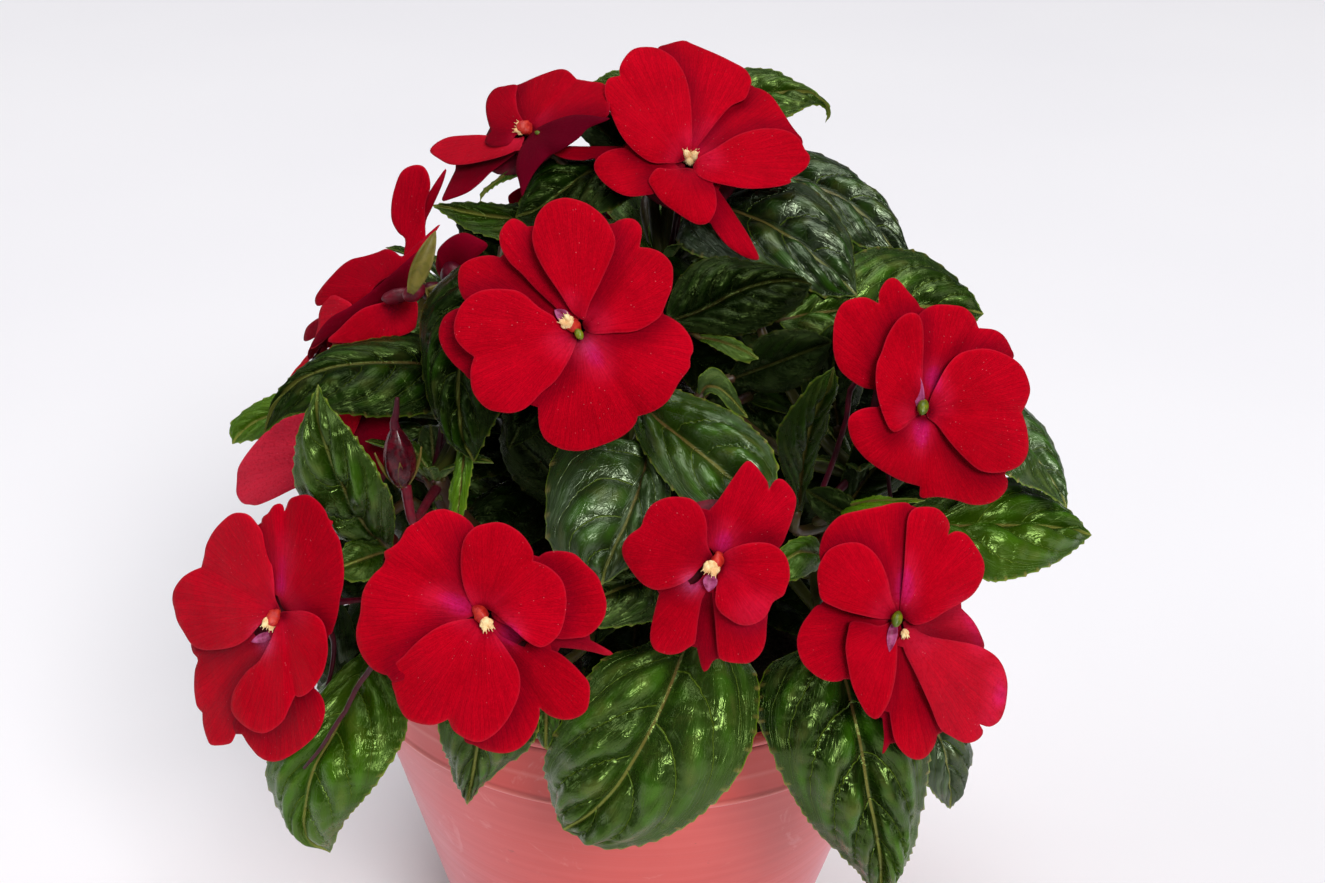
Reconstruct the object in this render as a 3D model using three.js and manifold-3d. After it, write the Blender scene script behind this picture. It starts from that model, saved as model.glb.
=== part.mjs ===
// Busy lizzie (bedding impatiens) in a round plastic pot.
// Millimetres, +Z up. Origin: centre of the pot's flat base.
// The pot, its soil, the fleshy stems, every leaf with its stalk and every
// flower with its stalk and spur are separate closed solids that keep a small
// gap to their neighbours.
import * as THREE from 'three';
import { mergeVertices } from 'three/addons/utils/BufferGeometryUtils.js';
import Module from 'manifold-3d';

// ---------------------------------------------------------------- dimensions
const POT_HEIGHT = 120.3;         // flat base to the top of the lip
const COLLAR_Z = 101.5;           // lower edge of the collar
const COLLAR_RADIUS = 70;         // at that edge
const BODY_TOP_RADIUS = 68.9;     // body just under the collar
const BASE_RADIUS = 39.7;
const WALL = 2.0;
const FLOOR = 2.6;
const LIP_RADIUS = 72.6;
const DRAIN_HOLE_RADIUS = 4.0;
const DRAIN_HOLE_CIRCLE = 26;
const DRAIN_HOLES = 6;
const POT_SIDES = 32;
const SOIL_TOP = 106;
const GAP = 0.4;                  // between neighbouring solids
const STEM_RADIUS = 3.2;
const LEAF_THICKNESS = 1.2;
const LEAF_STALK_RADIUS = 1.3;
const PETAL_THICKNESS = 1.6;
const FLOWER_STALK_RADIUS = 1.0;
const SPUR_RADIUS = 0.8;
const THROAT_RADIUS = 3.2;

// ------------------------------------------------------------ plant tables
// Stems: centre line from the soil to the crown.
const STEMS = [
  { name: 'stem_front_left', pts: [[-12, -8, 106.4], [-24, -22, 135], [-38, -42, 158], [-44, -52, 176]] },
  { name: 'stem_front', pts: [[0, -14, 106.4], [-2, -34, 138], [-3, -52, 162], [-3, -60, 186]] },
  { name: 'stem_front_right', pts: [[12, -8, 106.4], [28, -25, 135], [44, -42, 158], [48, -48, 178]] },
  { name: 'stem_middle', pts: [[0, 2, 106.4], [0, 0, 150], [3, -8, 188], [5, -10, 210]] },
  { name: 'stem_back_left', pts: [[-10, 10, 106.4], [-30, 24, 140], [-42, 26, 168], [-46, 22, 190]] },
  { name: 'stem_back_right', pts: [[10, 10, 106.4], [30, 26, 140], [42, 28, 168], [46, 26, 190]] },
  { name: 'stem_back', pts: [[0, 14, 106.4], [2, 38, 140], [2, 48, 168], [0, 48, 190]] },
];
// Flowers: throat P, axis n, attachment on the stem, and
// petal lobes [origin, r, u, n, outline in the r-u plane].
const FLOWERS = [
  { name: 'flower_1', P: [-72.6, -84, 160.6], n: [-0.55, -0.78, 0.31], att: [-36.6, -39.9, 155.4],
    spur: [[-69.9, -80.1, 159.1], [-66.6, -75.4, 154.2], [-64.3, -72.2, 146.2], [-65.4, -73.8, 137.2]],
    lobes: [
      [[-72.6, -84, 160.6], [0.82, -0.57, 0], [0.18, 0.25, 0.95], [-0.55, -0.78, 0.31],
        [[-2.6, -12.8], [-5.9, -28.1], [-2.2, -31.3], [4.6, -32.3], [14.6, -23.2], [15.7, -14.4], [12.3, -12.3], [12.9, -9.8], [1.4, -5]]],
      [[-72.6, -84, 160.6], [0.82, -0.57, 0], [0.18, 0.25, 0.95], [-0.55, -0.78, 0.31],
        [[-0.8, -2.7], [-11, -11.3], [-23.4, -15.6], [-21, -18.2], [-20, -26.5], [-12.8, -35.1], [-7, -31.3], [0.2, -5.9]]],
      [[-72.6, -84, 160.6], [0.82, -0.57, 0], [0.18, 0.25, 0.95], [-0.55, -0.78, 0.31],
        [[3.9, 0.5], [13.8, -0.5], [15.1, 10.6], [9.8, 22.6], [2, 25.7], [-9.6, 17.3], [-2.3, 3.8], [0.4, 0.8]]],
      [[-72.6, -84, 160.6], [0.82, -0.57, 0], [0.18, 0.25, 0.95], [-0.55, -0.78, 0.31],
        [[-0.3, -0.1], [-8.9, 14.4], [-15.3, 16.6], [-22.5, 10.1], [-24.3, 1.8], [-29.2, -2.3], [-31.1, -7.9], [-26, -13.8], [-19.4, -15.4], [-10.9, -11.5]]],
      [[-72.6, -84, 160.6], [0.82, -0.57, 0], [0.18, 0.25, 0.95], [-0.55, -0.78, 0.31],
        [[-0.8, -4.2], [-9.2, -21.5], [-9.1, -24.8], [-3.1, -27.3], [3.5, -24.9], [13.9, -8.3], [13.6, -1.9], [9.8, 2.2], [-0.2, -0.5]]],
    ] },
  { name: 'flower_2', P: [-27.8, -113, 178.5], n: [-0.12, -0.87, 0.47], att: [-3.1, -55.7, 171],
    spur: [[-27.2, -108.7, 176.2], [-46.1, -98, 163.1], [-54.6, -94, 151], [-58.4, -94, 143.3], [-64.2, -93.5, 133.3], [-68.3, -92, 127.1]],
    lobes: [
      [[-27.8, -113, 178.5], [0.99, -0.14, 0], [0.07, 0.46, 0.88], [-0.12, -0.87, 0.47],
        [[0.7, -1.6], [11.5, -4.8], [25.9, -4.8], [20.5, -2.5], [13.1, -3.3], [0.6, -0.3]]],
      [[-27.8, -113, 178.5], [0.99, -0.14, 0], [0.07, 0.46, 0.88], [-0.12, -0.87, 0.47],
        [[-0.3, -6.7], [-1.6, -23.6], [0.9, -25], [9, -24.9], [12.6, -16.6], [17.6, -18.3], [21.8, -16], [21.7, -10.9], [15.2, -5.7], [6.3, -4.5], [0.7, -1.3]]],
      [[-27.8, -113, 178.5], [0.99, -0.14, 0], [0.07, 0.46, 0.88], [-0.12, -0.87, 0.47],
        [[8.4, -2.4], [18.6, -2.5], [22.2, -0.3], [22.7, 7], [16.5, 13.2], [10.2, 12.6], [3, 3.1], [1.8, -0.2]]],
      [[-27.8, -113, 178.5], [0.99, -0.14, 0], [0.07, 0.46, 0.88], [-0.12, -0.87, 0.47],
        [[-1, 0.5], [-5.2, 9], [-3.5, 16.4], [-8.7, 19.2], [-12.5, 18.5], [-20.4, 10.1], [-23.4, 3.3], [-23.9, -7.9], [-20.3, -12.5], [-16.3, -12.9], [-8.8, -3.4]]],
      [[-27.8, -113, 178.5], [0.99, -0.14, 0], [0.07, 0.46, 0.88], [-0.12, -0.87, 0.47],
        [[-0.9, -0.8], [-8.8, -3.4], [-16, -10.8], [-16.4, -14.8], [-13.2, -20.8], [-4.8, -20.3], [0.4, -23.9], [6.2, -19.9], [8.3, -14.2], [7.5, -9.1]]],
      [[-27.8, -113, 178.5], [0.99, -0.14, 0], [0.07, 0.46, 0.88], [-0.12, -0.87, 0.47],
        [[0.1, 1.3], [11.5, -4.9], [15.7, 1.6], [14.6, 7.7], [8.6, 11.1], [5.8, 16], [1.2, 17.7], [-3.1, 16.3], [-5.4, 11.3], [-3.9, 4.4]]],
    ] },
  { name: 'flower_3', P: [16.1, -103, 185.5], n: [0, -0.93, 0.37], att: [-3, -57.4, 177],
    spur: [[16.1, -98.3, 183.7], [16.1, -92.8, 178.4], [16.1, -88.8, 170.4], [16.1, -90.8, 161.4]],
    lobes: [
      [[16.1, -103, 185.5], [1, 0, 0], [0, 0.37, 0.93], [0, -0.93, 0.37],
        [[-0.8, -0.6], [-3.8, -9.2], [-1.5, -21.5], [2.2, -14.9]]],
      [[16.1, -103, 185.5], [1, 0, 0], [0, 0.37, 0.93], [0, -0.93, 0.37],
        [[1.3, 0.6], [12.4, 3.4], [14.9, 9.7], [14, 15.5], [12.4, 16.8], [10, 14.6], [6.5, 19.9], [-2.7, 8.3]]],
      [[16.1, -103, 185.5], [1, 0, 0], [0, 0.37, 0.93], [0, -0.93, 0.37],
        [[-1.3, -1.6], [-3.6, -4], [-10.1, -5.1], [-11.3, -17.3], [-8.2, -18.2], [-3.4, -15.7]]],
      [[16.1, -103, 185.5], [1, 0, 0], [0, 0.37, 0.93], [0, -0.93, 0.37],
        [[-0.5, -2], [1.3, -18.5], [7.3, -19.3], [10.1, -15.3], [10.2, -6.9]]],
      [[16.1, -103, 185.5], [1, 0, 0], [0, 0.37, 0.93], [0, -0.93, 0.37],
        [[-0.4, 1.1], [-2.6, 9.8], [-5.5, 12.5], [-12.8, 10.5], [-18, 2.2], [-14.4, -3.9], [-11.1, -5.5], [-6.1, -4]]],
      [[16.1, -103, 185.5], [1, 0, 0], [0, 0.37, 0.93], [0, -0.93, 0.37],
        [[0.6, -2.3], [1.2, -9.5], [6.7, -11.9], [10.1, -9.9], [14.4, -2.3], [13.1, 2.3], [9.5, 4.1], [1.7, 2]]],
    ] },
  { name: 'flower_4', P: [53, -98, 170.8], n: [0.24, -0.9, 0.37], att: [45.8, -44.3, 163.2],
    spur: [[51.8, -93.5, 168.9], [50.4, -88.1, 163.7], [49.4, -84.2, 155.7], [49.9, -86.2, 146.7]],
    lobes: [
      [[53, -98, 170.8], [0.97, 0.26, 0], [-0.1, 0.36, 0.93], [0.24, -0.9, 0.37],
        [[4.4, -4.5], [15.8, -9.9], [18.1, -7.7], [16.2, -2.2], [12.4, 1.5], [1, -0.5]]],
      [[53, -98, 170.8], [0.97, 0.26, 0], [-0.1, 0.36, 0.93], [0.24, -0.9, 0.37],
        [[-0.7, -0.7], [-5.1, -26.9], [-1, -18.1]]],
      [[53, -98, 170.8], [0.97, 0.26, 0], [-0.1, 0.36, 0.93], [0.24, -0.9, 0.37],
        [[-1.7, -0.2], [-15.9, 5], [-20.4, 0.7], [-20.8, -5.7], [-16.6, -10.2], [-11.8, -10.3]]],
      [[53, -98, 170.8], [0.97, 0.26, 0], [-0.1, 0.36, 0.93], [0.24, -0.9, 0.37],
        [[-0.1, -2], [-2.7, -9.8], [-2.9, -18.8], [-1.3, -26.1], [2.2, -28.8], [5.9, -26.6], [6.9, -21.5]]],
      [[53, -98, 170.8], [0.97, 0.26, 0], [-0.1, 0.36, 0.93], [0.24, -0.9, 0.37],
        [[0.9, -6.1], [7.5, -22.8], [12.6, -26.4], [16.8, -24.9], [16, -23.2], [20.1, -23.1], [22.6, -15.4], [20.5, -9.8], [2.4, -1.9], [0.3, -2.4]]],
      [[53, -98, 170.8], [0.97, 0.26, 0], [-0.1, 0.36, 0.93], [0.24, -0.9, 0.37],
        [[-0.7, -0.3], [-9.6, 0.9], [-10.6, -1.2], [-10.4, -11.9], [-5.9, -19.3], [-1.4, -11.9]]],
      [[53, -98, 170.8], [0.97, 0.26, 0], [-0.1, 0.36, 0.93], [0.24, -0.9, 0.37],
        [[1.4, 2.9], [4.2, 22.6], [-10.7, 21.9], [-15.2, 16.6], [-14.3, 10.5], [0.3, 1]]],
      [[53, -98, 170.8], [0.97, 0.26, 0], [-0.1, 0.36, 0.93], [0.24, -0.9, 0.37],
        [[-0.1, 1.6], [-4.9, 14.7], [-10.4, 16.3], [-15, 13.6], [-15.5, 5.7], [-3.8, 0.6]]],
      [[53, -98, 170.8], [0.97, 0.26, 0], [-0.1, 0.36, 0.93], [0.24, -0.9, 0.37],
        [[1.7, -0.2], [6.7, -0.9], [12.6, 1.6], [18.8, 7.5], [17.2, 13.3], [15.4, 15.7], [11.6, 15.9], [9.6, 21.3], [4.8, 21.8], [3.4, 20.1]]],
    ] },
  { name: 'flower_5', P: [59.3, -66, 201.5], n: [0.34, -0.83, 0.44], att: [48, -48, 178],
    stalk: [[57.6, -61.9, 199.3], [56.6, -59.4, 198], [50.9, -54, 203.6], [45.3, -54, 201.8], [44.2, -56, 194.5], [42.3, -57, 186.6], [39.3, -58, 174.3], [48, -48, 178]],
    spur: [[57.6, -61.9, 199.3], [55.6, -56.9, 193.7], [54.1, -53.2, 185.7], [54.8, -55, 176.7]],
    lobes: [
      [[59.3, -66, 201.5], [0.93, 0.37, 0], [-0.16, 0.41, 0.9], [0.34, -0.83, 0.44],
        [[-0.3, 8.8], [2.1, 20.3], [-1.6, 27.6], [-4.8, 28.2], [-7.2, 23.7], [-10, 25.3], [-15.8, 24.3], [-18.8, 14.8], [-16.2, 9.2], [-1.7, 2.7]]],
      [[59.3, -66, 201.5], [0.93, 0.37, 0], [-0.16, 0.41, 0.9], [0.34, -0.83, 0.44],
        [[2.6, 1.7], [18.5, 5.3], [22.3, 8.4], [20.9, 13.2], [15.1, 15.8], [12.2, 20.4], [2.2, 20.5], [-1.3, 14.1], [0.6, 2.4]]],
      [[59.3, -66, 201.5], [0.93, 0.37, 0], [-0.16, 0.41, 0.9], [0.34, -0.83, 0.44],
        [[-1, -0.3], [-10.4, 2.5], [-16.9, 1.5], [-17.1, -4], [-14.9, -7.4], [-3.4, -15.1], [-3.6, -17.4], [7.9, -20.6], [14.6, -20.1], [16.5, -15.6]]],
      [[59.3, -66, 201.5], [0.93, 0.37, 0], [-0.16, 0.41, 0.9], [0.34, -0.83, 0.44],
        [[0.8, 8.6], [1.8, 19.5], [-0.4, 20.6], [-6, 16.7], [-10.2, 7], [-7.4, -3.1], [-0.6, 0.5]]],
      [[59.3, -66, 201.5], [0.93, 0.37, 0], [-0.16, 0.41, 0.9], [0.34, -0.83, 0.44],
        [[2.3, -3], [10.8, -13.7], [20.9, -13.7], [25.1, 1.7], [24.3, 5.6], [16.5, 11], [9.3, 10.7], [1.5, 2.3], [0.3, -0.9]]],
    ] },
  { name: 'flower_6', P: [-11.7, -74, 221], n: [-0.04, -0.83, 0.56], att: [-3, -60, 186],
    spur: [[-11.5, -69.8, 218.2], [-11.3, -64.9, 211.8], [-11.1, -60.9, 203.8], [-11.2, -62.9, 194.8]],
    lobes: [
      [[-11.7, -74, 221], [1, -0.05, 0], [0.03, 0.56, 0.83], [-0.04, -0.83, 0.56],
        [[-0.6, -0.6], [-22.1, 4.4], [-27.5, 1.5], [-28.3, -1.1], [-26.8, -5.7], [-20.8, -10.9]]],
      [[-11.7, -74, 221], [1, -0.05, 0], [0.03, 0.56, 0.83], [-0.04, -0.83, 0.56],
        [[-1.4, 0.1], [-14.2, 13.1], [-21.1, 14.2], [-24.8, 11.8], [-24.4, 7], [-20, 3.3]]],
      [[-11.7, -74, 221], [1, -0.05, 0], [0.03, 0.56, 0.83], [-0.04, -0.83, 0.56],
        [[-0.4, 3.8], [-11.5, 20.6], [-16.2, 21.2], [-17.1, 17.7], [-14.6, 13.1], [-3.2, 3.1], [-0.5, 1.8]]],
      [[-11.7, -74, 221], [1, -0.05, 0], [0.03, 0.56, 0.83], [-0.04, -0.83, 0.56],
        [[-0.5, -2.2], [-7.8, -12.2], [-6.5, -20.2], [-1.1, -24.1], [7.5, -22.1], [16.9, -14.6], [23, -2.9], [19.9, 2.6], [15.1, 4.2], [2.1, 0.7]]],
      [[-11.7, -74, 221], [1, -0.05, 0], [0.03, 0.56, 0.83], [-0.04, -0.83, 0.56],
        [[3.6, -0.4], [14.6, 2.5], [17.9, 9.6], [17.5, 14.6], [11.1, 17.6], [11.3, 20.9], [9, 23.4], [5.7, 22], [0.7, 2.2]]],
      [[-11.7, -74, 221], [1, -0.05, 0], [0.03, 0.56, 0.83], [-0.04, -0.83, 0.56],
        [[-0.3, -1.4], [-15.1, 7.8], [-22.5, 5.6], [-25, 0.2], [-20.5, -6.2], [-20.2, -13.1], [-14.4, -17], [-9.9, -16.1], [-4.1, -10.3]]],
      [[-11.7, -74, 221], [1, -0.05, 0], [0.03, 0.56, 0.83], [-0.04, -0.83, 0.56],
        [[1.4, 3.9], [6, 19.2], [0.8, 25.5], [-5.8, 26.6], [-10, 22.6], [-9.8, 15.8], [-1.6, 3.8], [0.9, 2.3]]],
    ] },
  { name: 'flower_7', P: [8.9, -18, 237.9], n: [0.09, -0.64, 0.77], att: [5, -10, 210],
    spur: [[8.5, -14.8, 234], [8, -11, 226.4], [7.4, -7, 218.4], [7.7, -9, 209.4]],
    lobes: [
      [[8.9, -18, 237.9], [0.99, 0.14, 0], [-0.11, 0.76, 0.64], [0.09, -0.64, 0.77],
        [[-0.9, 0], [-10, 1.7], [-13.2, 4.4], [-29.5, 3.7], [-9.2, -1.1]]],
      [[8.9, -18, 237.9], [0.99, 0.14, 0], [-0.11, 0.76, 0.64], [0.09, -0.64, 0.77],
        [[9.7, -0.7], [16.3, -1.6], [26.4, 3.9], [19.3, 18.7], [16.2, 18.8], [3.3, 4.6], [1.9, 1.2]]],
      [[8.9, -18, 237.9], [0.99, 0.14, 0], [-0.11, 0.76, 0.64], [0.09, -0.64, 0.77],
        [[3.3, 4.6], [14.8, 16.4], [16.7, 21.7], [13, 26.3], [2.2, 32.4], [-4, 30], [-4.4, 24.4], [1.1, 2]]],
      [[8.9, -18, 237.9], [0.99, 0.14, 0], [-0.11, 0.76, 0.64], [0.09, -0.64, 0.77],
        [[1.4, -1.8], [4.7, -16.8], [13.1, -24.6], [7.2, -8.3]]],
      [[8.9, -18, 237.9], [0.99, 0.14, 0], [-0.11, 0.76, 0.64], [0.09, -0.64, 0.77],
        [[-1.4, -1], [-8.8, 0.7], [-12.1, 3.8], [-15.6, 3.9], [-20, 0.4], [-18.4, -4.4], [-13, -8.1], [-7.2, -7.2], [-5.6, -2.9]]],
      [[8.9, -18, 237.9], [0.99, 0.14, 0], [-0.11, 0.76, 0.64], [0.09, -0.64, 0.77],
        [[0.3, -1.3], [-6.3, -1.1], [-8.5, -4.4], [-6.1, -9.5], [1.9, -15.4], [4.5, -13.8], [5.9, -8.5], [5.3, -5.2]]],
      [[8.9, -18, 237.9], [0.99, 0.14, 0], [-0.11, 0.76, 0.64], [0.09, -0.64, 0.77],
        [[1.8, 5.4], [2.5, 15], [0.3, 26.5], [-4.4, 30.3], [-8.2, 30.4], [-16.5, 19.3], [-13.6, 7.2], [-7.7, 0.4], [-1.8, 0]]],
      [[8.9, -18, 237.9], [0.99, 0.14, 0], [-0.11, 0.76, 0.64], [0.09, -0.64, 0.77],
        [[1.8, -2.3], [7.5, -5.5], [18.5, -6.5], [22.4, -5.6], [27.6, 1], [25.7, 6], [17.1, 8.5], [2.8, 1.2]]],
    ] },
  { name: 'flower_8', P: [-26.2, -8, 240.9], n: [-0.47, -0.4, 0.79], att: [5, -10, 210],
    spur: [[-23.9, -6, 236.9], [-21.1, -3.6, 229.2], [-18, -1, 221.2], [-19.5, -2.3, 212.2]],
    lobes: [
      [[-26.2, -8, 240.9], [0.64, -0.77, 0], [0.6, 0.51, 0.62], [-0.47, -0.4, 0.79],
        [[1.2, -3.6], [-11.9, -14.6], [-7.8, -23.8], [-2.5, -19.4]]],
      [[-26.2, -8, 240.9], [0.64, -0.77, 0], [0.6, 0.51, 0.62], [-0.47, -0.4, 0.79],
        [[3.1, 1.4], [8.5, 7.1], [16.5, 9.5], [17.3, 11.5], [9.2, 17.7], [-7, 17.2], [-15.5, 8.6], [0.3, 0.4]]],
      [[-26.2, -8, 240.9], [0.64, -0.77, 0], [0.6, 0.51, 0.62], [-0.47, -0.4, 0.79],
        [[-3.8, 1.8], [-15.1, 9.6], [-20.9, 6.5], [-17.3, 0.4], [-8.1, -4.3], [-1, 0.3]]],
      [[-26.2, -8, 240.9], [0.64, -0.77, 0], [0.6, 0.51, 0.62], [-0.47, -0.4, 0.79],
        [[0.9, -1.2], [-21.7, -8.9], [-23.6, -14], [-10.2, -13.3], [0.7, -5.5], [2.6, -2.8]]],
      [[-26.2, -8, 240.9], [0.64, -0.77, 0], [0.6, 0.51, 0.62], [-0.47, -0.4, 0.79],
        [[1.1, -2.1], [4.8, -8.9], [13.2, -14.6], [10.7, -5.1], [15.1, 6.3], [18.6, 10.2], [7.8, 7.8], [1.9, 2.5]]],
    ] },
  { name: 'flower_9', P: [-54, -28, 210.2], n: [-0.93, -0.34, 0.17], att: [-44, -52, 176],
    splayed: true,
    lobes: [
      [[-54, -37, 210.2], [0.94, -0.34, 0], [0.14, 0.4, 0.91], [-0.31, -0.85, 0.42],
        [[3.3, 2.6], [-6.7, -1.6], [-14.1, -9.7], [-5.3, -8.9], [5.6, -4.7], [5.6, 1.6]]],
      [[-54, -32, 210.2], [0.98, -0.17, 0], [0.02, 0.09, 1], [-0.17, -0.98, 0.09],
        [[-1.2, 4.8], [-15.2, -6.4], [-19.6, -13.8], [-3.6, -1.8], [1.4, -0.6], [6.7, 9.4], [5.6, 11.1]]],
      [[-54, -30, 210.2], [0.82, -0.57, 0], [0.29, 0.41, 0.87], [-0.5, -0.71, 0.5],
        [[1.6, 7.7], [5.5, 17.3], [-1.6, 8.3], [-6.8, 8.7], [-15.3, 4.3], [-22.1, -6.6], [-20.5, -8.1], [-16.3, -5.6], [-11.8, -6.1]]],
      [[-54, -26, 210.2], [0.71, -0.71, 0], [0.06, 0.06, 1], [-0.7, -0.7, 0.09],
        [[5.3, 5.9], [8.6, 9.1], [9.3, 24.6], [6.6, 29.2], [-0.8, 26], [-3.9, 17.3], [-3.4, 14.2], [1.4, 11.2], [1.4, 6.1]]],
    ] },
  { name: 'flower_10', P: [-63.6, -50, 182.2], n: [-0.45, -0.84, 0.31], att: [-43.3, -50.8, 173.8],
    spur: [[-61.4, -45.8, 180.7], [-58.6, -40.8, 175.8], [-56.8, -37.2, 167.8], [-57.7, -39, 158.8]],
    lobes: [
      [[-63.6, -50, 182.2], [0.88, -0.47, 0], [0.15, 0.27, 0.95], [-0.45, -0.84, 0.31],
        [[6.7, -3.3], [10.2, -3.8], [11.7, -1.6], [10.2, 9.5], [2.7, 7.3], [1.2, 3.9], [0.4, -0.8]]],
      [[-63.6, -50, 182.2], [0.88, -0.47, 0], [0.15, 0.27, 0.95], [-0.45, -0.84, 0.31],
        [[1.5, 2.4], [3, 8.7], [1, 10.9], [-2.7, 10.8], [-4.7, 8.1], [-3.9, 3.8], [-0.3, 0.1]]],
      [[-63.6, -50, 182.2], [0.88, -0.47, 0], [0.15, 0.27, 0.95], [-0.45, -0.84, 0.31],
        [[0.3, -0.4], [-3.6, 3.9], [-8.2, 5], [-18, 1.4], [-27.6, -11.7], [-27.1, -17.6], [-22.9, -19.1], [-16.4, -15.8], [-4.7, -8.4]]],
      [[-63.6, -50, 182.2], [0.88, -0.47, 0], [0.15, 0.27, 0.95], [-0.45, -0.84, 0.31],
        [[-4.3, -6], [-5.4, -10.8], [-1.6, -13.7], [4.3, -13.8], [9.2, -11.2], [9.5, -7.1], [0.7, -0.7]]],
    ] },
  { name: 'flower_11', P: [-42.6, -22, 212.4], n: [-0.44, 0.76, 0.47], att: [-44, -52, 176],
    splayed: true,
    lobes: [
      [[-42.6, -22, 212.4], [0.94, -0.34, 0], [0.12, 0.32, 0.94], [-0.32, -0.88, 0.34],
        [[3, 1.8], [7.8, 7.2], [4.7, 8.5], [0, 8.5], [-4.1, 4.3], [-0.9, -0.8]]],
      [[-42.6, -17, 212.4], [0.77, -0.64, 0], [0.11, 0.13, 0.98], [-0.63, -0.75, 0.17],
        [[1.6, 1.8], [-1.3, 3.4], [-4.9, 1.5], [-5.8, -1.5], [-4.1, -3.9], [-0.3, -3.4]]],
      [[-42.6, -14, 212.4], [-0.94, -0.34, 0], [0.06, -0.16, 0.98], [-0.34, 0.93, 0.17],
        [[0.8, -4.1], [-1.5, -2.5], [-5.3, -3.5], [-7.3, -6.9], [-6, -11.1], [-2.7, -12.3], [0.7, -9.7]]],
    ] },
  { name: 'flower_12', P: [-30.1, 56.5, 206], n: [-0.31, 0.67, 0.67], att: [0, 48, 190],
    spur: [[-28.5, 53.2, 202.7], [-26.6, 49.1, 195.6], [-25, 45.5, 187.6], [-25.8, 47.3, 178.6]],
    lobes: [
      [[-30.1, 56.5, 206], [-0.91, -0.42, 0], [0.28, -0.61, 0.74], [-0.31, 0.67, 0.67],
        [[5.9, 5.9], [11.6, 13], [13.5, 19.4], [11.1, 24.8], [5.9, 27], [0, 23.8], [-5.4, 27], [-10.8, 25.1], [-13.5, 20], [-11.9, 13.5], [-5.9, 5.9], [0, 1.6]]],
      [[-30.1, 56.5, 206], [-0.91, -0.42, 0], [0.28, -0.61, 0.74], [-0.31, 0.67, 0.67],
        [[7.8, -4], [16.5, -7.3], [23.5, -7.1], [28.1, -3], [28.5, 2.8], [23.4, 7.6], [24.9, 14], [21.3, 18.7], [15.4, 19.7], [9.5, 16], [4, 7.8], [1.6, 0.5]]],
      [[-30.1, 56.5, 206], [-0.91, -0.42, 0], [0.28, -0.61, 0.74], [-0.31, 0.67, 0.67],
        [[-4.1, 8], [-9.4, 16.2], [-15.4, 20.2], [-21.7, 19.6], [-25.6, 15], [-24.3, 7.9], [-29.4, 3.5], [-29.2, -2.7], [-24.9, -7.2], [-17.7, -7.7], [-8, -4.1], [-1.6, 0.5]]],
      [[-30.1, 56.5, 206], [-0.91, -0.42, 0], [0.28, -0.61, 0.74], [-0.31, 0.67, 0.67],
        [[-1.9, -8.7], [-2.8, -18.1], [-0.7, -24.5], [4.7, -27.3], [10.5, -25.7], [14, -19.2], [20.7, -18.3], [24.5, -13.3], [23.9, -7.3], [18.6, -3.2], [8.8, -0.9], [0.9, -1.3]]],
      [[-30.1, 56.5, 206], [-0.91, -0.42, 0], [0.28, -0.61, 0.74], [-0.31, 0.67, 0.67],
        [[-8.4, -1.5], [-17.3, -4], [-22.8, -8.4], [-24.1, -14.3], [-21.3, -19.2], [-14.5, -19.9], [-12.1, -25.8], [-6.6, -27.4], [-1.3, -24.7], [1.4, -18.3], [1.2, -8.5], [-1, -1.4]]],
    ] },
  { name: 'flower_13', P: [36.9, 54.7, 204], n: [0.44, 0.65, 0.62], att: [46, 26, 190],
    spur: [[34.7, 51.5, 200.9], [32.1, 47.6, 194.2], [29.8, 44.3, 186.2], [30.9, 45.9, 177.2]],
    lobes: [
      [[36.9, 54.7, 204], [-0.83, 0.56, 0], [-0.34, -0.51, 0.79], [0.44, 0.65, 0.62],
        [[5.9, 5.9], [11.6, 13], [13.5, 19.4], [11.1, 24.8], [5.9, 27], [0, 23.8], [-5.4, 27], [-10.8, 25.1], [-13.5, 20], [-11.9, 13.5], [-5.9, 5.9], [0, 1.6]]],
      [[36.9, 54.7, 204], [-0.83, 0.56, 0], [-0.34, -0.51, 0.79], [0.44, 0.65, 0.62],
        [[7.8, -4], [16.5, -7.3], [23.5, -7.1], [28.1, -3], [28.5, 2.8], [23.4, 7.6], [24.9, 14], [21.3, 18.7], [15.4, 19.7], [9.5, 16], [4, 7.8], [1.6, 0.5]]],
      [[36.9, 54.7, 204], [-0.83, 0.56, 0], [-0.34, -0.51, 0.79], [0.44, 0.65, 0.62],
        [[-4.1, 8], [-9.4, 16.2], [-15.4, 20.2], [-21.7, 19.6], [-25.6, 15], [-24.3, 7.9], [-29.4, 3.5], [-29.2, -2.7], [-24.9, -7.2], [-17.7, -7.7], [-8, -4.1], [-1.6, 0.5]]],
      [[36.9, 54.7, 204], [-0.83, 0.56, 0], [-0.34, -0.51, 0.79], [0.44, 0.65, 0.62],
        [[-1.9, -8.7], [-2.8, -18.1], [-0.7, -24.5], [4.7, -27.3], [10.5, -25.7], [14, -19.2], [20.7, -18.3], [24.5, -13.3], [23.9, -7.3], [18.6, -3.2], [8.8, -0.9], [0.9, -1.3]]],
      [[36.9, 54.7, 204], [-0.83, 0.56, 0], [-0.34, -0.51, 0.79], [0.44, 0.65, 0.62],
        [[-8.4, -1.5], [-17.3, -4], [-22.8, -8.4], [-24.1, -14.3], [-21.3, -19.2], [-14.5, -19.9], [-12.1, -25.8], [-6.6, -27.4], [-1.3, -24.7], [1.4, -18.3], [1.2, -8.5], [-1, -1.4]]],
    ] },
  { name: 'flower_14', P: [-77.6, 19.4, 176], n: [-0.79, 0.26, 0.56], att: [-42, 26, 168],
    spur: [[-73.7, 18.1, 173.2], [-68.9, 16.5, 166.8], [-65.1, 15.2, 158.8], [-67, 15.9, 149.8]],
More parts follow.
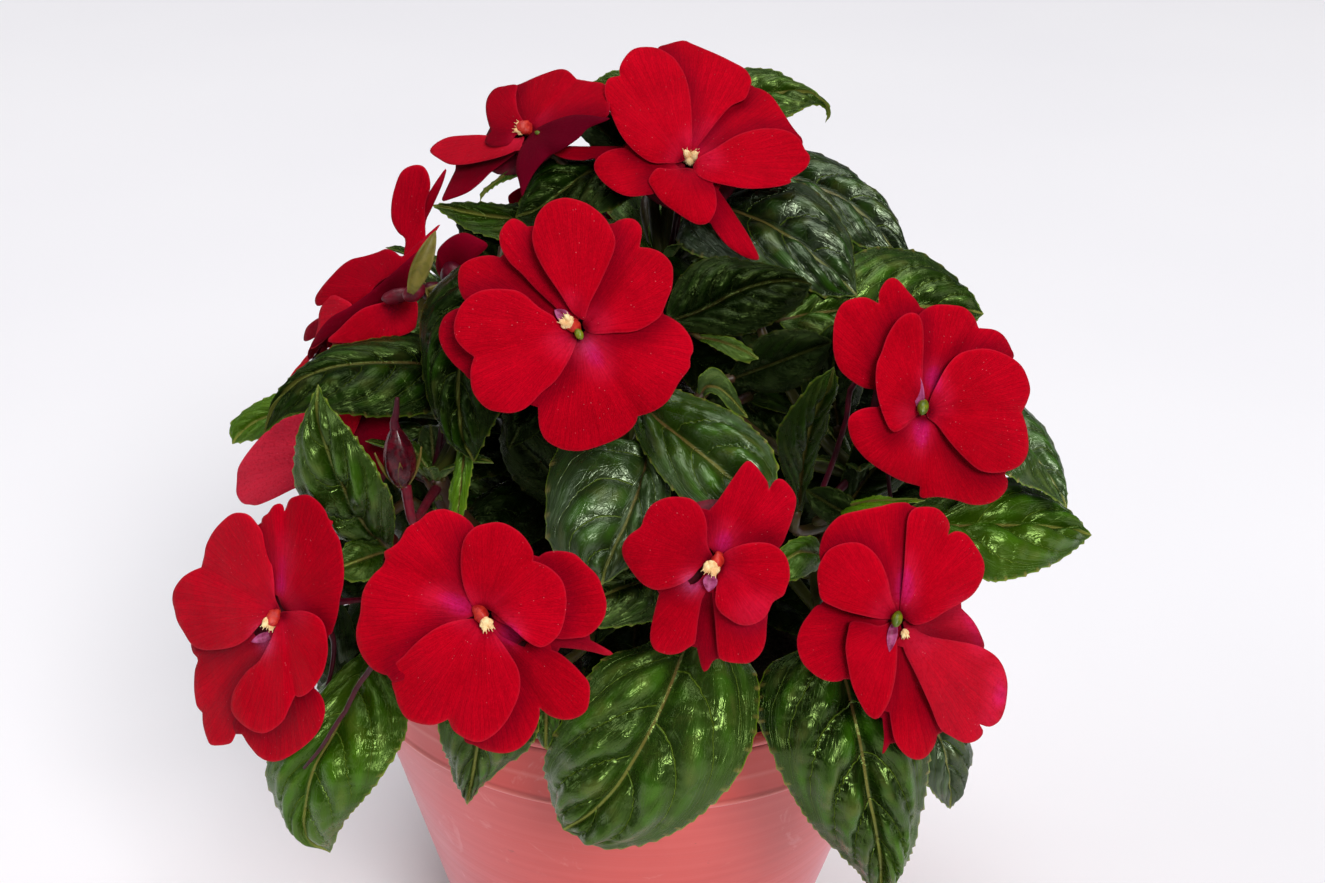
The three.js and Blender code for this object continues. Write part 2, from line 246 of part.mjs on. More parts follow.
    lobes: [
      [[-77.6, 19.4, 176], [-0.31, -0.95, 0], [0.53, -0.17, 0.83], [-0.79, 0.26, 0.56],
        [[5.9, 5.9], [11.6, 13], [13.5, 19.4], [11.1, 24.8], [5.9, 27], [0, 23.8], [-5.4, 27], [-10.8, 25.1], [-13.5, 20], [-11.9, 13.5], [-5.9, 5.9], [0, 1.6]]],
      [[-77.6, 19.4, 176], [-0.31, -0.95, 0], [0.53, -0.17, 0.83], [-0.79, 0.26, 0.56],
        [[7.8, -4], [16.5, -7.3], [23.5, -7.1], [28.1, -3], [28.5, 2.8], [23.4, 7.6], [24.9, 14], [21.3, 18.7], [15.4, 19.7], [9.5, 16], [4, 7.8], [1.6, 0.5]]],
      [[-77.6, 19.4, 176], [-0.31, -0.95, 0], [0.53, -0.17, 0.83], [-0.79, 0.26, 0.56],
        [[-4.1, 8], [-9.4, 16.2], [-15.4, 20.2], [-21.7, 19.6], [-25.6, 15], [-24.3, 7.9], [-29.4, 3.5], [-29.2, -2.7], [-24.9, -7.2], [-17.7, -7.7], [-8, -4.1], [-1.6, 0.5]]],
      [[-77.6, 19.4, 176], [-0.31, -0.95, 0], [0.53, -0.17, 0.83], [-0.79, 0.26, 0.56],
        [[-1.9, -8.7], [-2.8, -18.1], [-0.7, -24.5], [4.7, -27.3], [10.5, -25.7], [14, -19.2], [20.7, -18.3], [24.5, -13.3], [23.9, -7.3], [18.6, -3.2], [8.8, -0.9], [0.9, -1.3]]],
      [[-77.6, 19.4, 176], [-0.31, -0.95, 0], [0.53, -0.17, 0.83], [-0.79, 0.26, 0.56],
        [[-8.4, -1.5], [-17.3, -4], [-22.8, -8.4], [-24.1, -14.3], [-21.3, -19.2], [-14.5, -19.9], [-12.1, -25.8], [-6.6, -27.4], [-1.3, -24.7], [1.4, -18.3], [1.2, -8.5], [-1, -1.4]]],
    ] },
];
// Bud: stalk foot, stalk, body and spur tip along one line.
const BUD = { att: [-43.3, -50.8, 173.8], path: [[-45.8, -74, 176.9], [-46.9, -74, 182.1], [-47.2, -74, 185.3], [-47.9, -74, 188.1], [-48.5, -74, 193.6], [-48.8, -74, 198.6], [-48.7, -74, 201.7], [-48.4, -74, 205.3]] };
// Leaves: rows of [midrib, left edge, right edge] from base to tip.
const LEAVES = [
  { name: 'leaf_21', att: [-3, -60, 186], rows: [
    [[0.5, -64, 201.2], [2.6, -63.5, 201.9], [-1.1, -65.9, 199.7]],
    [[4.1, -69.2, 200.1], [8.2, -63, 203.7], [0.1, -72.5, 196.9]],
    [[11.7, -78.1, 198.1], [19.2, -71.8, 203.2], [6.5, -84, 192.7]],
    [[18.9, -85, 195.2], [27.5, -81, 199.1], [15.6, -90.2, 190.1]],
    [[22.6, -87.8, 193.6], [28.5, -85.9, 195.4], [21, -90.9, 190.3]],
    [[26.2, -90, 191.6], [26.2, -90, 191.6], [26.2, -90, 191.6]],
  ] },
  { name: 'leaf_20', att: [-3, -60, 186], rows: [
    [[2.4, -70, 195.4], [-1.3, -68.3, 194.4], [5.3, -71.9, 195.3]],
    [[2, -74.6, 192.7], [-8.6, -65.5, 193], [7.2, -77, 192.7]],
    [[-0.2, -82.4, 187.1], [-18.1, -72.6, 188.3], [6.2, -84.9, 186.1]],
    [[-3.5, -88.2, 181], [-17.1, -84.8, 178.9], [1.5, -90.3, 179.5]],
    [[-5, -90.3, 177.5], [-12.2, -88.6, 175.4], [-1.9, -91.7, 176.5]],
    [[-6, -92, 173.5], [-6, -92, 173.5], [-6, -92, 173.5]],
  ] },
  { name: 'leaf_23', att: [-3, -53.5, 165], rows: [
    [[7.2, -80, 170], [6.8, -78.1, 171.8], [8.6, -82, 168.1]],
    [[4.1, -83.5, 170.6], [2.9, -80.5, 173.9], [8.6, -86.5, 165.8]],
    [[-2.2, -88.9, 171.2], [-4.8, -85.9, 175.8], [1.8, -93.8, 165.7]],
    [[-8.1, -92.5, 169.9], [-11.4, -90, 173.9], [-6.5, -96.1, 166.1]],
    [[-11.2, -93.5, 169.1], [-13.5, -92, 171.4], [-10.3, -95.2, 167.2]],
    [[-14.3, -94, 168.2], [-14.3, -94, 168.2], [-14.3, -94, 168.2]],
  ] },
  { name: 'leaf_3', att: [-2.7, -46.1, 153.3], rows: [
    [[12.6, -82, 157.4], [8.4, -83.3, 157.1], [16, -82.4, 156.3]],
    [[9.9, -89.6, 154.1], [1, -86.6, 156], [25.3, -87, 152.3]],
    [[4.7, -99.6, 144.7], [-10.3, -94.1, 149.8], [23.5, -102.6, 137.6]],
    [[-2.4, -102.7, 131.8], [-17.2, -96.6, 134.8], [7.7, -105.9, 122]],
    [[-7.5, -101.7, 124.6], [-16.3, -96.9, 125.5], [-2.9, -103.6, 117]],
    [[-13.3, -99, 118.1], [-13.3, -99, 118.1], [-13.3, -99, 118.1]],
  ] },
  { name: 'leaf_18', att: [-40.1, -45.2, 162.8], rows: [
    [[-52.4, -68, 167.5], [-54, -68.3, 166.8], [-51.2, -68.3, 168.4]],
    [[-55.7, -71.7, 173.7], [-60, -70.7, 169.8], [-49.6, -73.9, 177.7]],
    [[-60.1, -75.7, 186.2], [-68.6, -74.3, 181], [-52.1, -78.8, 191.4]],
    [[-63.6, -75.1, 196.9], [-69.3, -74.6, 195], [-58, -76.5, 199.9]],
    [[-64.7, -73.1, 201.7], [-67.2, -72.9, 200.9], [-62, -73.9, 202.8]],
    [[-64.9, -70, 206.1], [-64.9, -70, 206.1], [-64.9, -70, 206.1]],
  ] },
  { name: 'leaf_22', att: [46.8, -45.7, 168.2], rows: [
    [[35, -58, 173.2], [34.1, -58.8, 174.1], [36.1, -57.7, 173.5]],
    [[35, -59.9, 179.4], [32.3, -62.1, 181.3], [36.8, -59.2, 179.4]],
    [[35.4, -63.3, 191.2], [28.9, -67.8, 194.9], [38.6, -62, 190.6]],
    [[37.1, -66, 202.1], [32.8, -68.7, 205.1], [40.2, -65.2, 201.6]],
    [[38.8, -67.1, 207], [36, -68.8, 209.1], [41.1, -66.5, 206.8]],
    [[39.8, -68, 212], [39.8, -68, 212], [39.8, -68, 212]],
  ] },
  { name: 'leaf_2', att: [-2.5, -41.3, 147.6], rows: [
    [[-29.5, -84, 151.2], [-31.9, -84.4, 150.7], [-27.3, -84.7, 151]],
    [[-29.8, -89.5, 149.5], [-35, -88.7, 149.1], [-22.9, -89.2, 149.3]],
    [[-30.6, -96.2, 143.4], [-39.3, -94.9, 143], [-18.3, -96.4, 142.2]],
    [[-31.7, -97.4, 133.5], [-37.5, -96, 132.5], [-25.4, -97.5, 133]],
    [[-32.7, -95.9, 127], [-36, -94.8, 126.1], [-29.8, -96.2, 127.2]],
    [[-34, -93, 119.4], [-34, -93, 119.4], [-34, -93, 119.4]],
  ] },
  { name: 'leaf_15', att: [5, -10, 210], rows: [
    [[-30.7, -40, 221.3], [-33.6, -38, 221.2], [-27.4, -43.2, 220.4]],
    [[-33.4, -46.2, 217.9], [-41.1, -38.2, 218.9], [-24.1, -50.6, 217.5]],
    [[-37, -56, 209.3], [-46.7, -49.6, 208.9], [-23.2, -62.2, 209.6]],
    [[-37.3, -62.6, 198.7], [-43.5, -59.7, 196.9], [-28.1, -66, 199.3]],
    [[-36.3, -64.7, 192.9], [-40, -63.2, 191.1], [-30.9, -66.4, 193.4]],
    [[-33.9, -66, 187.2], [-33.9, -66, 187.2], [-33.9, -66, 187.2]],
  ] },
  { name: 'leaf_4', att: [40.8, -38.5, 152.6], rows: [
    [[42.1, -80, 154.7], [38.5, -80.6, 153.7], [45.9, -80.8, 154]],
    [[44.5, -87.1, 150.3], [29.3, -84, 151.2], [54.7, -83.4, 152.1]],
    [[48.3, -95.9, 137.8], [29.2, -96.8, 138.1], [63.3, -91.5, 139.7]],
    [[52.2, -97.5, 120], [39.9, -99.4, 119.5], [62, -94.2, 118.7]],
    [[54.2, -95.7, 108.7], [47.9, -96.8, 109.1], [60, -93.4, 106.7]],
    [[55.4, -92, 95.5], [55.4, -92, 95.5], [55.4, -92, 95.5]],
  ] },
  { name: 'leaf_19', att: [-44, -52, 176], rows: [
    [[-36.4, -58, 188.4], [-38.1, -57.8, 187], [-34, -60, 188.2]],
    [[-36.6, -60.1, 184.8], [-38.8, -59.6, 183.5], [-34.3, -62, 184.8]],
    [[-37.3, -63.4, 177.3], [-39.8, -62.5, 176.1], [-35.9, -64.4, 177.1]],
    [[-38.4, -65.3, 169], [-40.4, -64.5, 168.1], [-36.6, -66.5, 169.1]],
    [[-38.8, -65.8, 164.6], [-40, -65.3, 163.9], [-37.5, -66.6, 164.7]],
    [[-39.1, -66, 159.9], [-39.1, -66, 159.9], [-39.1, -66, 159.9]],
  ] },
  { name: 'leaf_26', att: [48, -48, 178], rows: [
    [[43.7, -44, 187.6], [41.5, -44.6, 187.8], [45.5, -44, 187.6]],
    [[42.8, -45.8, 192], [37.9, -46.5, 191.4], [47.1, -45.7, 192]],
    [[41.4, -47.8, 200], [34.7, -48.6, 200.4], [48.6, -48.4, 201]],
    [[41.7, -47.9, 207.1], [36.4, -48.1, 208.6], [47.7, -48.2, 208.9]],
    [[42, -47.2, 210.3], [39, -47.2, 211.4], [45.6, -47, 211.7]],
    [[42.4, -46, 213.2], [42.4, -46, 213.2], [42.4, -46, 213.2]],
  ] },
  { name: 'leaf_16', att: [-44, -52, 176], rows: [
    [[-41.5, -44, 198.8], [-40.8, -46.3, 196.5], [-41.4, -40.1, 200.8]],
    [[-47.8, -46.3, 200.8], [-43.4, -53.1, 193.3], [-47.5, -38.9, 204.4]],
    [[-60.5, -50.9, 202.3], [-54.8, -60, 194.4], [-61.4, -45.5, 205]],
    [[-72.3, -55.4, 199.6], [-67.2, -61.3, 195.7], [-73.2, -53.4, 200.7]],
    [[-76.6, -57.7, 195.2], [-73.6, -60, 193.8], [-77.3, -56.8, 195.7]],
    [[-79.1, -60, 189.5], [-79.1, -60, 189.5], [-79.1, -60, 189.5]],
  ] },
  { name: 'leaf_11', att: [-3, -60, 186], rows: [
    [[6.8, -44, 211.4], [5.8, -42.5, 214.2], [7.7, -45.3, 209.6]],
    [[11, -42.9, 212.5], [7.4, -39.8, 218.6], [12.4, -45.3, 209.1]],
    [[19.1, -40.6, 216.1], [16.1, -36.9, 223.4], [22, -45.6, 208.9]],
    [[27.6, -38.3, 218.5], [26.8, -36.5, 221.8], [30.7, -42.8, 212.2]],
    [[32.2, -37.1, 218.5], [32.1, -36.1, 220.3], [34.6, -39.8, 214.2]],
    [[36.8, -36, 217.3], [36.8, -36, 217.3], [36.8, -36, 217.3]],
  ] },
  { name: 'leaf_24', att: [45.8, -44.3, 163.2], rows: [
    [[44.6, -50, 167.2], [43.6, -50.2, 168.5], [45.5, -50, 166.2]],
    [[46.2, -50, 170.3], [43.9, -50.4, 173.3], [48.4, -50.1, 168.8]],
    [[49.6, -50, 176.5], [45.7, -50.5, 182.3], [54.6, -50.4, 173.3]],
    [[53.6, -50, 182.1], [50.1, -49.7, 188.6], [58.8, -51.1, 179.7]],
    [[55.8, -50, 184.6], [53.8, -49.9, 187.5], [58.3, -50.5, 183.4]],
    [[57.9, -50, 187.2], [57.9, -50, 187.2], [57.9, -50, 187.2]],
  ] },
  { name: 'leaf_1', att: [-29.5, -29.5, 144.2], rows: [
    [[-57.1, -66, 140.9], [-60.2, -66.5, 139.2], [-55, -68.5, 140.7]],
    [[-59, -74, 138], [-65.9, -71.4, 136], [-50.5, -76.4, 138.7]],
    [[-63.8, -84.5, 129.5], [-76.2, -80.8, 128.1], [-48.4, -86.3, 129.7]],
    [[-69.2, -87.8, 115.9], [-76.8, -83.9, 111.3], [-55.8, -92, 119.7]],
    [[-70, -86.8, 106.4], [-72.4, -85, 104], [-61, -90.2, 111.6]],
    [[-65.5, -84, 98.8], [-65.5, -84, 98.8], [-65.5, -84, 98.8]],
  ] },
  { name: 'leaf_10', att: [5, -10, 210], rows: [
    [[10.2, -8, 225.9], [11.8, -4.3, 227.1], [9.1, -11.5, 224.2]],
    [[16.4, -13.7, 226.6], [19.4, -7.3, 228.9], [7.2, -20.6, 220.3]],
    [[27.9, -23.1, 225.8], [34.5, -9.7, 231.3], [20.2, -31.6, 219.7]],
    [[37.9, -29.8, 221], [45, -21.2, 224.7], [33.4, -35.6, 216.7]],
    [[42.5, -32.2, 217.7], [46.5, -27.8, 219.4], [40.2, -36, 214.6]],
    [[47.1, -34, 214], [47.1, -34, 214], [47.1, -34, 214]],
  ] },
  { name: 'leaf_5', att: [34.5, -31.9, 144.2], rows: [
    [[60.1, -66, 138.3], [57, -72, 140], [63.7, -60.8, 135.1]],
    [[62.2, -70.7, 136.8], [58, -76.7, 138.1], [67, -65.1, 133.8]],
    [[66.2, -77, 131.5], [60.6, -81.6, 131.3], [72.6, -72.5, 129.2]],
    [[69.3, -79.5, 122.8], [63.5, -84.1, 122.8], [74.9, -74.7, 119.4]],
    [[70.3, -79.2, 117.2], [66.6, -82.3, 117.4], [73.7, -75.5, 114]],
    [[71, -78, 110.6], [71, -78, 110.6], [71, -78, 110.6]],
  ] },
  { name: 'leaf_13', att: [5, -10, 210], rows: [
    [[0.5, -8, 235.1], [-0.1, -4.4, 236.7], [1.5, -12.2, 233.7]],
    [[-4.2, -12, 235.6], [-5.4, -8.7, 237.6], [-1.2, -20.9, 232.2]],
    [[-12.9, -18.6, 235.3], [-15.5, -15.9, 237.3], [-9.4, -30.1, 229.5]],
    [[-20.1, -23.3, 230.9], [-24.9, -18, 234.9], [-18.6, -30.9, 225.7]],
    [[-23.8, -24.9, 228.5], [-26.7, -21.6, 231], [-23.7, -29.2, 225.6]],
    [[-28.1, -26, 227.2], [-28.1, -26, 227.2], [-28.1, -26, 227.2]],
  ] },
  { name: 'leaf_7', att: [48, -48, 178], rows: [
    [[72.6, -36, 187], [72.2, -29.9, 187.8], [70.1, -44.3, 186.8]],
    [[76.5, -39.1, 187], [77.9, -30.1, 188.6], [72.2, -50.5, 186.4]],
    [[83.8, -44.7, 185.1], [87.9, -35, 187.6], [77.6, -57.7, 184]],
    [[89.4, -49.7, 180.2], [92.7, -44.7, 181.4], [85.8, -55.9, 179.6]],
    [[91.7, -51.9, 177.1], [94.2, -49.1, 177.6], [89.8, -55, 176.9]],
    [[93.8, -54, 173.8], [93.8, -54, 173.8], [93.8, -54, 173.8]],
  ] },
  { name: 'leaf_6', att: [46.8, -45.7, 168.2], rows: [
    [[56.7, -62, 173], [56.8, -59.6, 174.7], [56.5, -64.9, 171.9]],
    [[63, -59.5, 171.5], [63.4, -53.8, 175.2], [61.9, -67, 168.8]],
    [[75.7, -55, 169.6], [77.5, -45.2, 175.9], [73.9, -69.1, 163.9]],
    [[88.5, -51.2, 167.8], [90.9, -44.1, 172], [87.9, -62.5, 163]],
    [[95, -49.5, 166.2], [96.9, -45.4, 168.4], [94.8, -56.1, 163.3]],
    [[101.4, -48, 164], [101.4, -48, 164], [101.4, -48, 164]],
  ] },
  { name: 'leaf_25', att: [48, -48, 178], rows: [
    [[24.8, -40, 192.4], [24.3, -38.9, 194.3], [25.7, -41.2, 190.6]],
    [[27.7, -37.1, 194], [24.8, -35.8, 198.3], [29.8, -40.7, 188.8]],
    [[35, -32.8, 195.5], [32.1, -30, 202.7], [38.6, -37.6, 187.2]],
    [[42.9, -30.4, 196.4], [42.3, -28.1, 201.4], [46.1, -34, 190.4]],
    [[46.9, -30, 196.6], [47.1, -28.4, 199.7], [48.6, -32.1, 193.4]],
    [[50.8, -30, 196.6], [50.8, -30, 196.6], [50.8, -30, 196.6]],
  ] },
  { name: 'leaf_8', att: [48, -48, 178], rows: [
    [[31.6, -36, 209], [31.6, -33.9, 210.7], [31.8, -38.8, 207.6]],
    [[37.8, -33.5, 209.5], [37.3, -27.8, 214.1], [37.6, -41.6, 205.5]],
    [[50.6, -29, 209.2], [51.2, -16.7, 218.7], [50.7, -41.6, 202.9]],
    [[63.7, -25.2, 208.5], [66.5, -15.7, 215.2], [64.5, -36, 202.9]],
    [[70.3, -23.5, 207.5], [72.7, -18.1, 210.8], [71, -30, 204.1]],
    [[76.9, -22, 205.7], [76.9, -22, 205.7], [76.9, -22, 205.7]],
  ] },
  { name: 'leaf_14', att: [5, -10, 210], rows: [
    [[-11.8, -24, 224.8], [-11.9, -21.8, 226.8], [-11.6, -27.3, 222.8]],
    [[-17.1, -19.2, 223.5], [-17, -16.3, 226.4], [-17.1, -23.5, 220.4]],
    [[-27.8, -11.5, 221.5], [-27.7, -9, 224.5], [-28.3, -15.8, 217.5]],
    [[-38.6, -6.5, 220.7], [-38.6, -4.7, 222.9], [-39.4, -9.4, 217.5]],
    [[-43.9, -4.9, 221.1], [-43.9, -3.8, 222.5], [-44.4, -6.5, 219.3]],
    [[-49.1, -4, 221.7], [-49.1, -4, 221.7], [-49.1, -4, 221.7]],
  ] },
  { name: 'leaf_9', att: [5, -10, 210], rows: [
    [[27.3, 6, 228.3], [27.9, 12.1, 229.8], [28.2, 1.3, 226.5]],
    [[33.6, 2.4, 228.4], [35.1, 15.8, 231.7], [32.5, -5, 224.9]],
    [[45.2, -4.4, 225.9], [48.8, 5.8, 228.5], [41.5, -13.7, 221.1]],
    [[54.4, -10.5, 219], [58.4, -4.3, 220.2], [52.4, -13.9, 217.2]],
    [[57.7, -13.3, 214.3], [60.8, -9.6, 214.6], [56.7, -14.7, 213.6]],
    [[60.2, -16, 209.1], [60.2, -16, 209.1], [60.2, -16, 209.1]],
  ] },
  { name: 'leaf_17', att: [-44, -52, 176], rows: [
    [[-70.1, -30, 181.8], [-69.3, -32.5, 180], [-70.8, -28, 183.8]],
    [[-73.8, -29, 181], [-72.2, -33.2, 178], [-75.1, -25.8, 184.2]],
    [[-81.2, -28, 179.5], [-78.6, -34, 175.2], [-83.7, -24.7, 182.5]],
    [[-88, -28.4, 177], [-85.8, -32.2, 174.7], [-91.2, -26, 178.4]],
    [[-90.8, -29, 174.7], [-89.4, -31.2, 173.4], [-93.6, -27.3, 175.2]],
    [[-93, -30, 172], [-93, -30, 172], [-93, -30, 172]],
  ] },
  { name: 'leaf_12', att: [5, -10, 210], rows: [
    [[17.2, 14, 241], [16.7, 16.6, 244.1], [18.7, 10.2, 238.4]],
    [[20.6, 14.2, 243.2], [19.8, 18.2, 247.4], [21.9, 7.2, 238.2]],
    [[28.1, 14.1, 245.6], [28.6, 18.2, 249], [28.4, 4.9, 240.4]],
    [[35.9, 13.4, 244.3], [37.5, 15.9, 246.1], [34.8, 9.5, 242.1]],
    [[39.1, 12.8, 242.1], [41.1, 14.6, 243.2], [38.3, 10.8, 240.8]],
    [[41.7, 12, 239.1], [41.7, 12, 239.1], [41.7, 12, 239.1]],
  ] },
  { name: 'leaf_27', att: [35.4, 27.9, 151.2], rows: [
    [[45.3, 8, 150], [45.6, 6.5, 150.2], [45, 9.5, 150.2]],
    [[54.6, 9.6, 150.3], [56.2, 0.5, 151.4], [53, 18.8, 151.4]],
    [[72.7, 12.8, 146.4], [75.9, -1.8, 148.1], [70.7, 27.7, 148.1]],
    [[88.8, 15.7, 137.2], [91.7, 4.3, 138.3], [87.7, 27.3, 138.3]],
    [[95.7, 16.9, 130.8], [97.5, 10.2, 131.4], [95.1, 23.8, 131.4]],
    [[101.4, 17.9, 123.4], [101.4, 17.9, 123.4], [101.4, 17.9, 123.4]],
  ] },
  { name: 'leaf_32', att: [42.9, 27.9, 171], rows: [
    [[39.8, 23, 176], [40.5, 21.8, 176.2], [39.1, 24.1, 176.2]],
    [[47, 27.1, 178.4], [51, 19.8, 179.4], [42.6, 34.2, 179.4]],
    [[61.7, 35.6, 179.9], [68.5, 24, 181.6], [55, 47.4, 181.6]],
    [[76.3, 44.1, 177.1], [81.9, 35.1, 178.3], [71.4, 53.4, 178.3]],
    [[83.3, 48.1, 174], [86.6, 42.9, 174.7], [80.4, 53.6, 174.7]],
    [[89.8, 51.8, 169.9], [89.8, 51.8, 169.9], [89.8, 51.8, 169.9]],
  ] },
  { name: 'leaf_31', att: [-35.4, 25.9, 151.2], rows: [
    [[-41.9, 13.6, 152], [-41.4, 15, 152.2], [-42.3, 12.2, 152.2]],
    [[-50.8, 16.5, 152.6], [-47.9, 25.4, 153.8], [-53.7, 7.7, 153.8]],
    [[-68.5, 22.2, 149.8], [-64.3, 36.7, 151.6], [-73.6, 8.2, 151.6]],
    [[-84.7, 27.5, 141.8], [-81.8, 38.9, 143], [-89, 16.6, 143]],
    [[-91.8, 29.8, 136.1], [-90.2, 36.5, 136.7], [-94.4, 23.4, 136.7]],
    [[-98, 31.9, 129.3], [-98, 31.9, 129.3], [-98, 31.9, 129.3]],
  ] },
  { name: 'leaf_35', att: [-42.9, 25.8, 171], rows: [
    [[-39, 24.4, 176], [-38.2, 25.5, 176.2], [-39.7, 23.2, 176.2]],
    [[-45.9, 28.7, 178.7], [-41.2, 35.6, 179.7], [-50.1, 21.4, 179.7]],
    [[-60.3, 37.7, 181], [-53.1, 49.1, 182.6], [-67.4, 26.2, 182.6]],
    [[-74.7, 46.7, 179.1], [-69.4, 55.8, 180.3], [-80.5, 37.9, 180.3]],
    [[-81.6, 51, 176.5], [-78.6, 56.4, 177.2], [-85.2, 45.9, 177.2]],
    [[-88.3, 55.1, 173], [-88.3, 55.1, 173], [-88.3, 55.1, 173]],
  ] },
  { name: 'leaf_34', att: [1.9, 48.5, 171], rows: [
    [[-17.1, 47, 176], [-15.8, 47.4, 176.2], [-18.4, 46.5, 176.2]],
    [[-20, 55, 178.4], [-11.8, 57.8, 179.5], [-28.1, 51.8, 179.5]],
    [[-26, 71.5, 179.8], [-12.9, 76.4, 181.4], [-39.2, 66.8, 181.4]],
    [[-32, 87.8, 176.3], [-21.9, 92, 177.5], [-42.4, 84.5, 177.5]],
    [[-34.8, 95.5, 172.8], [-28.8, 98, 173.5], [-40.9, 93.6, 173.5]],
    [[-37.3, 102.6, 168.2], [-37.3, 102.6, 168.2], [-37.3, 102.6, 168.2]],
  ] },
  { name: 'leaf_33', att: [1.9, 48.5, 171], rows: [
    [[15.4, 47.5, 176], [16.8, 47.1, 176.2], [14.1, 48, 176.2]],
    [[18.1, 55.7, 178.2], [26.3, 52.9, 179.2], [9.8, 58.2, 179.2]],
    [[23.6, 72.5, 178.9], [36.9, 68.3, 180.5], [10.3, 77, 180.5]],
    [[28.9, 88.9, 174.8], [39.4, 85.9, 176], [18.6, 92.7, 176]],
    [[31.4, 96.5, 171], [37.6, 94.9, 171.7], [25.3, 98.8, 171.7]],
    [[33.6, 103.5, 166.2], [33.6, 103.5, 166.2], [33.6, 103.5, 166.2]],
  ] },
  { name: 'leaf_28', att: [35.4, 27.9, 151.2], rows: [
    [[33.5, 37.2, 146], [34.6, 36.1, 146.2], [32.3, 38.2, 146.2]],
    [[40.1, 44.6, 145.9], [47.6, 38, 147.1], [32.8, 51.3, 147.1]],
    [[53.1, 59, 141.4], [65.5, 48.8, 143.2], [41.7, 70.3, 143.2]],
    [[64.7, 71.8, 131.4], [74.6, 64.2, 132.5], [56, 80.9, 132.5]],
    [[69.5, 77.2, 124.5], [75.5, 72.8, 125.1], [64.5, 82.7, 125.1]],
    [[73.7, 81.8, 116.7], [73.7, 81.8, 116.7], [73.7, 81.8, 116.7]],
  ] },
  { name: 'leaf_30', att: [-35.4, 25.9, 151.2], rows: [
    [[-28, 41.5, 146], [-26.6, 42.3, 146.2], [-29.3, 40.6, 146.2]],
    [[-33.5, 49.7, 146.1], [-25.4, 55.4, 147.3], [-41.8, 44.3, 147.3]],
    [[-44.5, 65.9, 141.9], [-31.6, 75.4, 143.7], [-58.1, 57.5, 143.7]],
    [[-54.2, 80.3, 132.2], [-44.4, 88.1, 133.4], [-65, 74.1, 133.4]],
    [[-58.3, 86.5, 125.5], [-52.6, 91.1, 126.1], [-64.8, 82.9, 126.1]],
    [[-61.9, 91.7, 117.7], [-61.9, 91.7, 117.7], [-61.9, 91.7, 117.7]],
  ] },
  { name: 'leaf_29', att: [2.2, 43.2, 151.2], rows: [
    [[3.8, 53.9, 150], [5.3, 53.8, 150.2], [2.2, 54, 150.2]],
    [[4.4, 63.5, 150.6], [14, 62.9, 151.7], [-5.1, 64.2, 151.7]],
    [[5.8, 82.5, 147.1], [21.3, 82.1, 148.9], [-9.7, 84.2, 148.9]],
    [[7, 99.5, 137.9], [19.1, 99.6, 139], [-5, 101.2, 139]],
    [[7.5, 106.7, 131.3], [14.6, 106.8, 131.9], [0.4, 107.8, 131.9]],
    [[7.9, 112.7, 123.7], [7.9, 112.7, 123.7], [7.9, 112.7, 123.7]],
  ] },
];

// ------------------------------------------------------------------- solids
const wasm = await Module();
wasm.setup();
const { Manifold, Mesh } = wasm;

const v = (p) => new THREE.Vector3(p[0], p[1], p[2]);
const at = (p, d, k) => p.clone().addScaledVector(d, k);

function solidOf(geometry) {
  const g = geometry.clone();
  g.deleteAttribute('normal');
  g.deleteAttribute('uv');
  const m = mergeVertices(g, 1e-4);
  const build = (tri) => new Manifold(new Mesh({
    numProp: 3,
    vertProperties: new Float32Array(m.attributes.position.array),
    triVerts: tri,
  }));
  const tri = new Uint32Array(m.index.array);
  let s = build(tri);
  if (s.volume() < 0) {
    for (let i = 0; i < tri.length; i += 3) [tri[i], tri[i + 1]] = [tri[i + 1], tri[i]];
    s = build(tri);
  }
  return s;
}

function geometryOf(solid) {
  const m = solid.getMesh();
  const pos = new Float32Array((m.vertProperties.length / m.numProp) * 3);
  for (let i = 0, j = 0; i < m.vertProperties.length; i += m.numProp, j += 3) {
    pos[j] = m.vertProperties[i];
    pos[j + 1] = m.vertProperties[i + 1];
    pos[j + 2] = m.vertProperties[i + 2];
  }
  const g = new THREE.BufferGeometry();
  g.setAttribute('position', new THREE.BufferAttribute(pos, 3));
  g.setIndex(new THREE.BufferAttribute(new Uint32Array(m.triVerts), 1));
  g.computeVertexNormals();
  return g;
}

const join = (list) => list.reduce((a, b) => a.add(b));

// A round bar along a smooth path.
function bar(points, radius, steps, sides = 6) {
  const section = new THREE.Shape();
  for (let i = 0; i < sides; i++) {
    const a = (i / sides) * Math.PI * 2;
    const x = radius * Math.cos(a), y = radius * Math.sin(a);
    if (i) section.lineTo(x, y); else section.moveTo(x, y);
  }
  section.closePath();
  const path = new THREE.CatmullRomCurve3(points, false, 'centripetal');
  return solidOf(new THREE.ExtrudeGeometry(section, { steps, extrudePath: path, bevelEnabled: false }));
}

// A thin flat plate: outline [x, y] in its own plane.
function plate(outline, thickness, grow) {
  let cx = 0, cy = 0;
  for (const q of outline) { cx += q[0] / outline.length; cy += q[1] / outline.length; }
  const shape = new THREE.Shape();
  outline.forEach((q, i) => {
    const dx = q[0] - cx, dy = q[1] - cy, d = Math.hypot(dx, dy) || 1;
    const x = q[0] + (dx / d) * grow, y = q[1] + (dy / d) * grow;
    if (i) shape.lineTo(x, y); else shape.moveTo(x, y);
  });
  shape.closePath();
  const g = new THREE.ExtrudeGeometry(shape, { depth: thickness, steps: 1, bevelEnabled: false });
  g.translate(0, 0, -thickness / 2);
  return solidOf(g);
}

